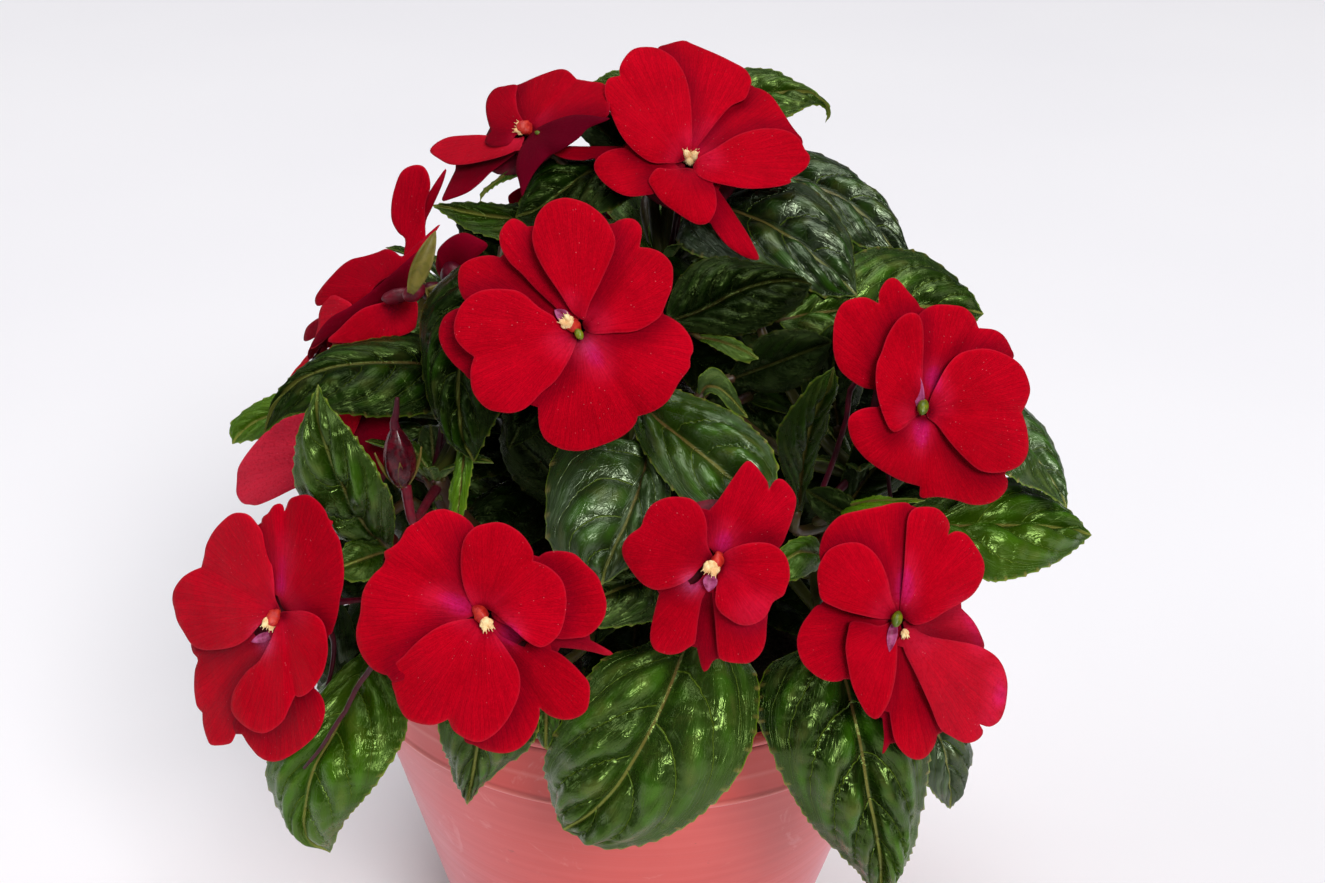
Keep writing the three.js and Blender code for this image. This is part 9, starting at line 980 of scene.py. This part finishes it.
# ------------------------------------------------------------------ flowers
def small_blade(bag, base, tip, up, width, mat, attrs, cup=0.2, n=12, m=3, thick=0.3):
    """A little pointed scale from base to tip."""
    base, tip, up = (np.asarray(v, float) for v in (base, tip, up))
    ax = tip - base
    L = np.linalg.norm(ax)
    ax = ax / L
    sd = unit(np.cross(ax, up))
    nn = unit(np.cross(sd, ax))
    V = []
    for i in range(n + 1):
        t = i / n
        w = width / 2 * (np.sin(np.pi * min(1, t * 0.93 + 0.07)) ** 0.75) * (1 - 0.15 * t)
        if i == n:
            w = 0.05
        c = base + ax * L * t + nn * (cup * L * 0.5 * np.sin(np.pi * t * 0.8))
        for j in range(-m, m + 1):
            s = j / m
            V.append(c + sd * w * s + nn * (w * 0.45 * s * s))
    V = np.array(V)
    k = 2 * m + 1
    W = V - nn * thick
    F = []
    for i in range(n):
        for j in range(2 * m):
            a = i * k + j
            F.append((a, a + 1, a + k + 1, a + k))
    N = len(V)
    top = F
    bot = [tuple(N + i for i in t[::-1]) for t in F]
    e = {}
    for t in top:
        for i in range(4):
            e[(t[i], t[(i + 1) % 4])] = 1
    rim = [(j, i, N + i, N + j) for (i, j) in e if (j, i) not in e]
    bag.add(np.vstack([V, W]), top + bot + rim, mat, **attrs)


def flower(f, k):
    name = f["name"]
    n, P, g = (np.array(f[q], float) for q in ("n", "P", "g"))
    r = unit(np.cross([0, 0, 1.0], n))
    u = unit(np.cross(n, r))
    rg = unit(np.cross([0, 0, 1.0], g))
    f["face"], f["grow"] = (r, u), (rg, unit(np.cross(g, rg)))
    flat = []
    for lb in f["lobes"]:
        Q = outline(lb["pts"], 0.9)
        flat.append((lb["layer"], to_face(f, lb, Q), to_face(f, lb, Q, "grow")))
    for lb in f["lobes"]:
        lb["over"] = [q[1] for q in flat if q[0] > lb["layer"] + 0.05]
        lb["cover"] = [q[2] for q in flat if q[0] > lb["layer"] + 0.05]
    groups = {}
    for i, lb in enumerate(f["lobes"]):
        groups.setdefault(lb["petal"], []).append((i, lb))
    for pt, lbs in sorted(groups.items()):
        bag = Bag()
        for i, lb in lbs:
            petal(bag, f, lb, k * 31 + i * 7 + 3)
        bag.done(f"{name}.petal_{pt}", [MAT_PETAL], [name])
    # behind the face: dark throat cup, painted dark as the shade in the throat and between the petal bases, then
    # receptacle, sepals, stalk and spur
    bag = Bag()
    if not f["own"]:
        prof = [(12.6, -5.9), (10.6, -5.1), (8.6, -4.4), (6.9, -3.7), (5.2, -3.0), (3.6, -2.8), (2.6, -3.4), (2.0, -4.6), (1.5, -6.2), (0.4, -6.8)]
        back = [(0.4, -7.6), (2.6, -6.8), (3.8, -5.4), (5.2, -4.2), (6.9, -4.3), (8.6, -4.9), (10.6, -5.6), (12.6, -6.3)]
        ring = prof + back
        m = 26
        lean = [unit(n + (g - n) * float(sstep(3.0, 6.0, q[0]))) for q in ring]
        V = [P + r * (q[0] * math.cos(2 * math.pi * j / m)) + u * (q[0] * math.sin(2 * math.pi * j / m)) + ax * q[1] for q, ax in zip(ring, lean) for j in range(m)]
        F = [(i * m + j, i * m + (j + 1) % m, ((i + 1) % len(ring)) * m + (j + 1) % m, ((i + 1) % len(ring)) * m + j) for i in range(len(ring)) for j in range(m)]
        bag.add(V, F, 1, al=0.3)
    else:
        V, F = blob(P - n * 1.5, n, 8.0, 6.0, lumps=0.04, seed=k)
        bag.add(V, F, 2, al=0.2)
    V, F = blob(P - n * 8.2, n, 6.4, 4.6, lumps=0.05, seed=k)
    bag.add(V, F, 2, al=0.5)
    for s in (-1, 1):
        small_blade(bag, P - n * 7.5 + r * s * 1.5, P - n * 5.0 + r * s * 8.5 + u * 1.5, n, 3.8, 3, dict(al=0.4))
    small_blade(bag, P - n * 7.8 - u * 1.2, P - n * 6.4 - u * 8.0, n, 5.2, 3, dict(al=0.4))
    spur = f.get("spur")
    if spur:
        V, F, al = tube(spur, [1.7, 0.95, 0.60, 0.48, 0.36], 9, 26)
        bag.add(V, F, 2, al=al)
    V, F, al = tube(f["stalk"], [1.1, 0.62, 0.58, 0.68, 1.1], 9, 30)
    bag.add(V, F, 2, al=al)
    bag.done(f"{name}.stalk_and_spur", [MAT_PETAL, MAT_THROAT, MAT_SPUR, MAT_SEPAL], [name])
    # stamen column, cap or pistil, and the small scales beside it
    if f.get("parts"):
        bag = Bag()
        for q in f["parts"]:
            c, d = np.array(q["c"], float), unit(q["d"])
            if q["kind"] == "body":
                V, F = blob(c, d, q["l"] * 0.9, q["w"] * 0.95, lumps=0.15, seed=k, n=14, m=16)
                bag.add(V, F, 0)
            elif q["kind"] == "cap":
                side = unit(np.cross(d, g))
                for s in (-1, 1):
                    V, F = blob(c + side * s * q["w"] * 0.20, unit(d + side * s * 0.25), q["l"] * 0.95, q["w"] * 0.56, q["w"] * 0.5, lumps=0.16, seed=k + 3 * s, n=11, m=12)
                    bag.add(V, F, 1)
                    V, F = blob(c + side * s * q["w"] * 0.34 - d * q["l"] * 0.22, unit(d + side * s * 0.6), q["l"] * 0.6, q["w"] * 0.4, q["w"] * 0.4, lumps=0.18, seed=k + 5 * s, n=9, m=10)
                    bag.add(V, F, 1)
                V, F = blob(c - d * q["l"] * 0.28, d, q["l"] * 0.8, q["w"] * 0.8, lumps=0.14, seed=k + 9, n=9, m=12)
                bag.add(V, F, 1)
                # a few pale threads hang from the cap
                for j in range(5):
                    w0 = c + side * q["w"] * (j - 2) * 0.16
                    w1 = w0 + d * q["l"] * (0.55 + 0.12 * (j % 2)) + side * q["w"] * (j - 2) * 0.10
                    V, F, al = tube(np.array([w0, (w0 + w1) / 2 + g * 0.1, w1]), [0.16, 0.12, 0.05], 5, 5)
                    bag.add(V, F, 1)
            elif q["kind"] == "pistil":
                V, F = blob(c, d, q["l"], q["w"], power=1.5, n=14, m=12)
                bag.add(V, F, 2)
            elif q["kind"] == "knob":
                V, F = blob(c, d, q["l"], q["w"], lumps=0.05, seed=k, n=14, m=14)
                bag.add(V, F, q.get("mat", 4))
            elif q["kind"] == "sepal":
                small_blade(bag, c - d * q["l"] / 2, c + d * q["l"] / 2, g, q["w"], 4, dict(al=0.3), cup=0.25)
            elif q["kind"] == "scale":
                small_blade(bag, c - d * q["l"] / 2, c + d * q["l"] / 2, g, q["w"], 3, {}, cup=0.15)
        bag.done(f"{name}.stamens", [MAT_RED, MAT_CREAM, MAT_PISTIL, MAT_SCALE, MAT_SEPAL, MAT_CRIMSON], [name])


# --------------------------------------------------------------- pot and soil
def lathe(prof, m=144, mats=None):
    V = [(q[0] * math.cos(2 * math.pi * j / m), q[0] * math.sin(2 * math.pi * j / m), q[1]) for q in prof for j in range(m)]
    F = [(i * m + j, i * m + (j + 1) % m, (i + 1) * m + (j + 1) % m, (i + 1) * m + j) for i in range(len(prof) - 1) for j in range(m)]
    return np.array(V), F


def build_pot():
    z0, m = 101.5, 160

    def outer(z):
        return 39.7 + (68.9 - 39.7) * z / z0

    prof, rimt, groove, bead = [], [], [], []

    def add(r, z, rt=0.0, gr=0.0, be=0.0):
        prof.append((r, z))
        rimt.append(rt)
        groove.append(gr)
        bead.append(be)

    # foot with a shallow recess, then the wall with faint steps
    add(36.2, 0.9); add(36.8, 0.25); add(37.6, 0.0); add(38.6, 0.0); add(39.3, 0.35); add(39.75, 1.1)
    for z in np.arange(2.5, z0 - 1.2, 1.5):
        add(outer(z) + 0.07 * math.sin(z * 1.9) * math.sin(z * 0.37) + (0.16 if abs(z - 12.5) < 0.8 else 0.0), z)
    # the hollow under the collar, painted dark as shade
    add(outer(z0 - 0.9), z0 - 0.9, 0, 0.5)
    add(outer(z0 - 0.4) + 0.1, z0 - 0.35, 0, 1.0)
    # lower edge of the collar: a thin bright ridge, its brightness a painted highlight, with painted shade just beneath
    add(69.7, z0 - 0.15, 0.3, 0.4, 0.2); add(70.15, z0 + 0.05, 0.4, 0, 0.9); add(70.42, z0 + 0.45, 0.5, 0, 1.0); add(70.35, z0 + 0.95, 0.5, 0, 0.7); add(70.08, z0 + 1.4, 0.6, 0.3)
    for z in np.arange(2.2, 15.0, 1.0):
        rr = 70 + 1.2 * z / 15.5
        be = 0.0
        if abs(z - 6.9) < 0.6:
            rr += 0.12
            be = 0.5
        add(rr + 0.03 * math.sin(z * 4.1), z0 + z, 0.75, 0, be)
    # the hollow under the lip is painted as shade, and the lip's top painted bright as lit
    add(71.12, z0 + 15.2, 0.8, 0.5); add(70.85, z0 + 15.5, 0.8, 1.0); add(70.9, z0 + 15.8, 0.8, 1.0); add(71.5, z0 + 16.1, 0.7, 0.4)
    add(72.3, z0 + 16.5, 0.6, 0, 0.2); add(72.6, z0 + 17.1, 0.6, 0, 0.6); add(72.55, z0 + 17.8, 0.6, 0, 0.5); add(72.2, z0 + 18.4, 0.6, 0, 0.3); add(71.6, z0 + 18.75, 0.6)
    add(70.9, z0 + 18.8, 0.6); add(70.2, z0 + 18.6, 0.6); add(69.8, z0 + 18.1, 0.6); add(69.6, z0 + 17.0, 0.6)
    add(69.0, z0 + 8.0, 0.4); add(68.4, z0 + 0.2, 0.3); add(67.6, z0 - 1.6, 0.3); add(outer(z0 - 4) - 2.0, z0 - 4)
    for z in (90, 75, 60, 45, 30, 15, 6):
        add(outer(z) - 2.0, z)
    add(outer(2.6) - 2.3, 2.9); add(outer(2.6) - 3.2, 2.6)
    V, F = lathe(prof, m)
    bag = Bag()
    nr = len(prof)
    rep = lambda a: np.repeat(np.array(a), m)
    bag.add(V, F, 0, rimtone=rep(rimt), groove=rep(groove), bead=rep(bead))
    # base plate with the drain holes, joined top and bottom
    holes = [(26 * math.cos(i / 6 * 2 * math.pi + 0.3), 26 * math.sin(i / 6 * 2 * math.pi + 0.3)) for i in range(6)]
    hr = 4.0

    def plate(R, z, up):
        Q = [Vector((R * math.cos(2 * math.pi * j / m), R * math.sin(2 * math.pi * j / m))) for j in range(m)]
        E = [(j, (j + 1) % m) for j in range(m)]
        for hx, hy in holes:
            k = len(Q)
            Q += [Vector((hx + hr * math.cos(2 * math.pi * j / 28), hy + hr * math.sin(2 * math.pi * j / 28))) for j in range(28)]
            E += [(k + j, k + (j + 1) % 28) for j in range(28)]
        for x in np.arange(-R, R, 5.0):
            for y in np.arange(-R, R, 5.0):
                if math.hypot(x, y) < R - 3 and all(math.hypot(x - a, y - b) > hr + 2 for a, b in holes):
                    Q.append(Vector((x, y)))
        v, e, f, *_ = delaunay_2d_cdt(Q, E, [], 1, 1e-5)
        v = np.array([(q.x, q.y) for q in v])
        fs = []
        for t in f:
            c = v[list(t)].mean(0)
            if all(math.hypot(c[0] - a, c[1] - b) > hr * 0.97 for a, b in holes):
                o = (v[t[1]] - v[t[0]])[0] * (v[t[2]] - v[t[0]])[1] - (v[t[1]] - v[t[0]])[1] * (v[t[2]] - v[t[0]])[0]
                t = tuple(t) if o > 0 else tuple(t)[::-1]
                fs.append(t if up else t[::-1])
        return np.c_[v, np.full(len(v), z)], fs

    for R, z, up in ((36.2, 0.9, False), (outer(2.6) - 3.2, 2.6, True)):
        pv, pf = plate(R, z, up)
        bag.add(pv, pf, 0)
    for hx, hy in holes:
        a = np.linspace(0, 2 * np.pi, 28, endpoint=False)
        hv = np.array([(hx + hr * math.cos(t), hy + hr * math.sin(t), z) for z in (0.9, 2.6) for t in a])
        bag.add(hv, [(j, 28 + j, 28 + (j + 1) % 28, (j + 1) % 28) for j in range(28)], 0)
    o = bag.done("pot_shell", [MAT_POT], ["pot"])
    # weld the plates and hole walls to the lathe so that the pot is one closed shell
    bm = bmesh.new()
    bm.from_mesh(o.data)
    bmesh.ops.remove_doubles(bm, verts=bm.verts, dist=2e-5)
    bmesh.ops.recalc_face_normals(bm, faces=bm.faces)
    bm.to_mesh(o.data)
    bm.free()
    sharp = o.modifiers.new("smooth", "WEIGHTED_NORMAL")
    sharp.keep_sharp = True


def build_soil():
    rs = np.random.RandomState(5)
    z0 = 101.5

    def wall(z):
        return 39.7 + (68.9 - 39.7) * z / z0 - 2.4

    rings = [(0.01, 3.0), (wall(3.0) - 1.2, 3.0), (wall(3.0) - 0.3, 3.6)]
    rings += [(wall(z) - 0.3, z) for z in (15, 30, 45, 60, 75, 88, 96)]
    rings += [(wall(100.5) - 0.3, 100.8), (wall(100.5) - 0.9, 102.6)]
    m = 120
    V = [(q[0] * math.cos(2 * math.pi * j / m), q[0] * math.sin(2 * math.pi * j / m), q[1]) for q in rings for j in range(m)]
    nr = len(rings)
    waves = [(rs.uniform(0.05, 0.5), rs.uniform(0, 6.28), rs.uniform(0, 6.28)) for _ in range(26)]
    for i in range(34):
        R = (wall(100.5) - 1.4) * (1 - i / 33.5) + 0.01
        for j in range(m):
            a = 2 * math.pi * j / m
            x, y = R * math.cos(a), R * math.sin(a)
            h = sum(math.sin(k * (x * math.cos(t) + y * math.sin(t)) + p) for k, t, p in waves) * 0.17 + rs.uniform(-0.28, 0.28)
            edge = min(1, (wall(100.5) - R) / 6)
            V.append((x, y, min(105.95, 103.0 + 2.0 * edge + h)))
    F = [(i * m + j, i * m + (j + 1) % m, (i + 1) * m + (j + 1) % m, (i + 1) * m + j) for i in range(nr + 33) for j in range(m)]
    N = len(V)
    V.append((0, 0, 3.0))
    V.append((0, 0, 105.0))
    F += [(N, (j + 1) % m, j) for j in range(m)] + [(N + 1, (nr + 33) * m + j, (nr + 33) * m + (j + 1) % m) for j in range(m)]
    bag = Bag()
    bag.add(np.array(V, float), F, 0)
    bag.done("soil_bed", [MAT_SOIL], ["potting_soil"])
    bag = Bag()
    for i in range(420):
        a, R = rs.uniform(0, 6.28), 62 * math.sqrt(rs.uniform(0.02, 1))
        s = rs.uniform(0.9, 2.6)
        ax = rs.normal(size=3)
        ax[2] *= 0.3
        v, f = blob((R * math.cos(a), R * math.sin(a), 105.0 - 0.15 * s + (0 if R < 56 else -1.0)), ax, s * rs.uniform(1.0, 2.2), s * 0.8, s * rs.uniform(0.4, 0.8), n=5, m=6, lumps=0.16, seed=i)
        v[:, 2] = np.minimum(v[:, 2], 107.0)
        bag.add(v, f, 1 if i % 23 == 0 else 0)
    bag.done("soil_crumbs", [MAT_SOIL, MAT_PERLITE], ["potting_soil"])


# ------------------------------------------------------------- stems and bud
def build_stems():
    for k, s in enumerate(STEMS):
        pts = np.array(s["pts"], float)
        pts = np.vstack([pts[0] + [0, 0, -3.0], pts])
        n = 60
        P = catmull(pts, n)
        t = np.linspace(0, 1, n)
        r = 3.55 - 0.95 * t
        for c in (0.16, 0.36, 0.54, 0.72, 0.88):
            r = r + 0.62 * np.exp(-((t - c) / 0.018) ** 2) * (1 - 0.3 * c)
        bag = Bag()
        T = np.gradient(P, axis=0)
        T /= np.linalg.norm(T, axis=1)[:, None]
        a = unit(np.cross(T[0], [0.3, 0.9, 0.1]))
        m = 20
        ang = np.linspace(0, 2 * np.pi, m, endpoint=False)
        V = []
        for i in range(n):
            a = unit(a - (a @ T[i]) * T[i])
            b = np.cross(T[i], a)
            rr = r[i] * (1 + 0.035 * np.sin(5 * ang + k) + 0.02 * np.sin(9 * ang + 2 * k))
            V.append(P[i] + rr[:, None] * (np.cos(ang)[:, None] * a + np.sin(ang)[:, None] * b))
        V = np.vstack(V + [P[:1], P[-1:] + T[-1:] * 1.4])
        F = [(i * m + j, i * m + (j + 1) % m, (i + 1) * m + (j + 1) % m, (i + 1) * m + j) for i in range(n - 1) for j in range(m)]
        F += [(n * m, (j + 1) % m, j) for j in range(m)] + [(n * m + 1, (n - 1) * m + j, (n - 1) * m + (j + 1) % m) for j in range(m)]
        bag.add(V, F, 0, al=np.r_[np.repeat(t, m), 0, 1])
        bag.done(s["name"] + ".body", [MAT_STEM], [s["name"]])
        # growing tip: a rosette of small unfolding leaves
        top, ax = P[-1], T[-1]
        rs = np.random.RandomState(40 + k)
        for j in range(6):
            phi = 60 * j + rs.uniform(-12, 12) + 25 * k
            ln = rs.uniform(13, 22) * (1 if j % 2 else 0.72)
            rows = arched(phi, 1.8, top[2] + 0.5, ln, ln * 0.36, rs.uniform(38, 66), rs.uniform(25, 60), cx=top[0], cy=top[1])
            leaf(f"tip_{s['name']}_{j + 1}", rows, top - ax * 1.0, 300 + 10 * k + j, lit=rs.uniform(0.05, 0.32), dark=0.42, veins=5.0, quilt=0.45, res=0.6, wave=0.2, face=(0, 0, 1), stalk=(0.5, 0.6), teeth=0.7)


def build_bud():
    path = np.array(BUD["path"], float)
    att = np.array(BUD["att"], float)
    axis = unit(path[5] - path[3])
    c = path[4] * 0.75 + path[3] * 0.25
    bag = Bag()
    # folded petals: a pointed egg with a few lengthwise folds
    n, m = 26, 30
    a = unit(np.cross(axis, [0.31, 0.9, 0.13]))
    b = np.cross(axis, a)
    V = []
    for i in range(n):
        t = (i + 0.5) / n
        z = -7.4 + 14.8 * t
        r = 3.35 * math.sin(math.pi * t ** 0.80) ** 0.80
        for j in range(m):
            p = 2 * math.pi * j / m + 0.9 * t
            rr = r * (1 + 0.055 * math.cos(5 * p) + 0.03 * math.cos(9 * p + 3 * t))
            V.append(c + axis * z + a * rr * math.cos(p) + b * rr * math.sin(p))
    V += [c - axis * 7.5, c + axis * 7.6]
    F = [(i * m + j, i * m + (j + 1) % m, (i + 1) * m + (j + 1) % m, (i + 1) * m + j) for i in range(n - 1) for j in range(m)]
    F += [(n * m, (j + 1) % m, j) for j in range(m)] + [(n * m + 1, (n - 1) * m + j, (n - 1) * m + (j + 1) % m) for j in range(m)]
    bag.add(np.array(V), F, 0, al=0.2)
    v, f, al = tube([c + axis * 6.2, c + axis * 8.0, path[6], path[7]], [1.1, 0.8, 0.6, 0.45], 9, 16)
    bag.add(v, f, 1, al=al)
    v, f, al = tube([c - axis * 6.8, path[2], path[1], path[0], att * 0.5 + path[0] * 0.5, att], [1.2, 1.05, 0.95, 0.95, 1.1, 1.3], 9, 30)
    bag.add(v, f, 2, al=al)
    for s in (-1, 1):
        side = unit(np.cross(axis, CAM - c)) * s
        small_blade(bag, c - axis * 7.2 + side * 0.8, c + axis * 1.5 + side * 4.6, side, 1.9, 3, dict(al=0.4), cup=0.12)
    small_blade(bag, c - axis * 7.4 + unit(CAM - c) * 1.2, c - axis * 1.5 + unit(CAM - c) * 3.6, CAM - c, 1.6, 3, dict(al=0.4), cup=0.10)
    bag.done("flower_bud.body", [MAT_BUD, MAT_SPUR, MAT_CRIMSON, MAT_SEPAL], ["flower_bud"])


# ---------------------------------------------------------------- everything
MAT_PETAL = petal_material()
MAT_LEAF = leaf_material()
MAT_SATIN = leaf_material("leaf_satin", 0.80, (232, 255, 214), 0.26, 0.34)
MAT_SHADE = leaf_material("leaf_shade", 0.22)
MAT_STALK = flesh_material("leaf_stalk", lin(52, 22, 16), lin(64, 54, 20), lin(62, 72, 22), 0.42, spec=0.3)
# stems: their own red-brown, painted darker still as the shade among the leaves
MAT_STEM = flesh_material("stem_tissue", lin(50, 14, 14), lin(72, 26, 20), lin(58, 42, 20), 0.42, 180, 0.3)
MAT_SPUR = flesh_material("spur_purple", lin(64, 3, 22), lin(88, 6, 28), lin(52, 3, 20), 0.40, 420, 0.25)
MAT_CRIMSON = flesh_material("stalk_crimson", lin(86, 6, 26), lin(112, 12, 34), lin(70, 8, 24), 0.40, 420, 0.3)
MAT_BUD = flesh_material("bud_maroon", lin(48, 1, 11), lin(88, 3, 22), lin(36, 1, 9), 0.28, 500, 0.36)
MAT_SEPAL = flesh_material("sepal_olive", lin(86, 88, 24), lin(116, 110, 40), lin(96, 44, 30), 0.5, 420, 0.3)
# painted shade: dark maroon for the throat cup behind the petals
MAT_THROAT = flesh_material("throat_dark", lin(84, 1, 22), lin(110, 2, 28), lin(58, 0, 18), 0.6, 500, 0.25)
MAT_RED = stamen_material("stamen_red", lin(196, 48, 30), lin(168, 22, 22))
MAT_CREAM = stamen_material("anther_cream", lin(240, 216, 160), lin(222, 172, 116), 0.62)
MAT_PISTIL = stamen_material("pistil_green", lin(112, 124, 16), lin(72, 92, 12), 0.35)
MAT_SCALE = stamen_material("scale_mauve", lin(172, 72, 124), lin(124, 18, 70), 0.55)
MAT_POT = pot_material()
MAT_SOIL = soil_material()
MAT_PERLITE = stamen_material("perlite", lin(214, 208, 196), lin(186, 178, 164), 0.9)

build_pot()
build_soil()
build_stems()
build_bud()
for k, f in enumerate(FLOWERS):
    flower(f, k + 1)
for k, l in enumerate(LEAVES):
    leaf(l["name"] + ".blade", l["rows"], l["att"], 11 + k, [l["name"]], **l.get("look", {}))
for k, l in enumerate(SMALL):
    leaf(l["name"], l["rows"], l["att"], 90 + k, [], **l.get("look", {}))
STEM_LINES = {s["name"]: catmull(s["pts"], 40) for s in STEMS}


def nearest_stem(p):
    best = None
    for c in STEM_LINES.values():
        for q in c[6:]:
            w = np.linalg.norm(p - q) + max(0, q[2] - p[2] + 3) * 1.3
            if best is None or w < best[0]:
                best = (w, q)
    return best[1]


for k, e in enumerate(EXTRA):
    d = dict(e)
    look = d.pop("look", {})
    rows = arched(**d)
    leaf(f"inner_leaf_{k + 1}", rows, nearest_stem(rows[0][0]), 150 + k, [], **{**dict(res=0.55, face=(0.0, -0.2, 1.0)), **look})

# ------------------------------------------------------------- studio, camera
floor = bpy.data.meshes.new("studio_floor")
S = 3.4
floor.from_pydata([(-S, -S, 0), (S, -S, 0), (S, S, 0), (-S, S, 0)], [], [(0, 1, 2, 3)])
floor.materials.append(floor_material())
fo = bpy.data.objects.new("studio_floor", floor)
bpy.context.scene.collection.objects.link(fo)

world = bpy.data.worlds.new("studio")
bpy.context.scene.world = world
world.use_nodes = True
bg = world.node_tree.nodes["Background"]
bg.inputs[0].default_value = (0.94, 0.95, 1.0, 1.0)
bg.inputs[1].default_value = WORLD_LIGHT
pale = world.node_tree.nodes.new("ShaderNodeBackground")
pale.inputs[0].default_value = (0.862, 0.848, 0.884, 1.0)
path = world.node_tree.nodes.new("ShaderNodeLightPath")
pick = world.node_tree.nodes.new("ShaderNodeMixShader")
world.node_tree.links.new(path.outputs["Is Camera Ray"], pick.inputs[0])
world.node_tree.links.new(bg.outputs[0], pick.inputs[1])
world.node_tree.links.new(pale.outputs[0], pick.inputs[2])
world.node_tree.links.new(pick.outputs[0], world.node_tree.nodes["World Output"].inputs[0])


def area(name, pos, target, size, watts, color=(1, 1, 1)):
    L = bpy.data.lights.new(name, "AREA")
    L.shape = "RECTANGLE"
    L.size, L.size_y = size
    L.energy = watts
    L.color = color
    o = bpy.data.objects.new(name, L)
    o.location = pos
    o.rotation_euler = (Vector(target) - Vector(pos)).to_track_quat("-Z", "Y").to_euler()
    bpy.context.scene.collection.objects.link(o)


for a in LIGHTS:
    area(*a)

cam = bpy.data.cameras.new("camera")
cam.sensor_fit = "HORIZONTAL"
cam.sensor_width = 36.0
cam.lens = 2000.0 * 36.0 / 1325.0
cam.clip_start = 0.01
cam.clip_end = 50.0
co = bpy.data.objects.new("camera", cam)
th, ro = math.radians(26.1), math.radians(1.51)
fw = Vector((0, math.cos(th), -math.sin(th)))
rt0, up0 = Vector((1, 0, 0)), Vector((0, math.sin(th), math.cos(th)))
rt = math.cos(ro) * rt0 + math.sin(ro) * up0
up = -math.sin(ro) * rt0 + math.cos(ro) * up0
mw = Matrix((rt, up, -fw)).transposed().to_4x4()
mw.translation = Vector(CAM * 0.001)
co.matrix_world = mw
bpy.context.scene.collection.objects.link(co)
bpy.context.scene.camera = co
bpy.context.scene.view_settings.view_transform = "Standard"
bpy.context.scene.view_settings.look = "None"

bpy.context.view_layer.update()
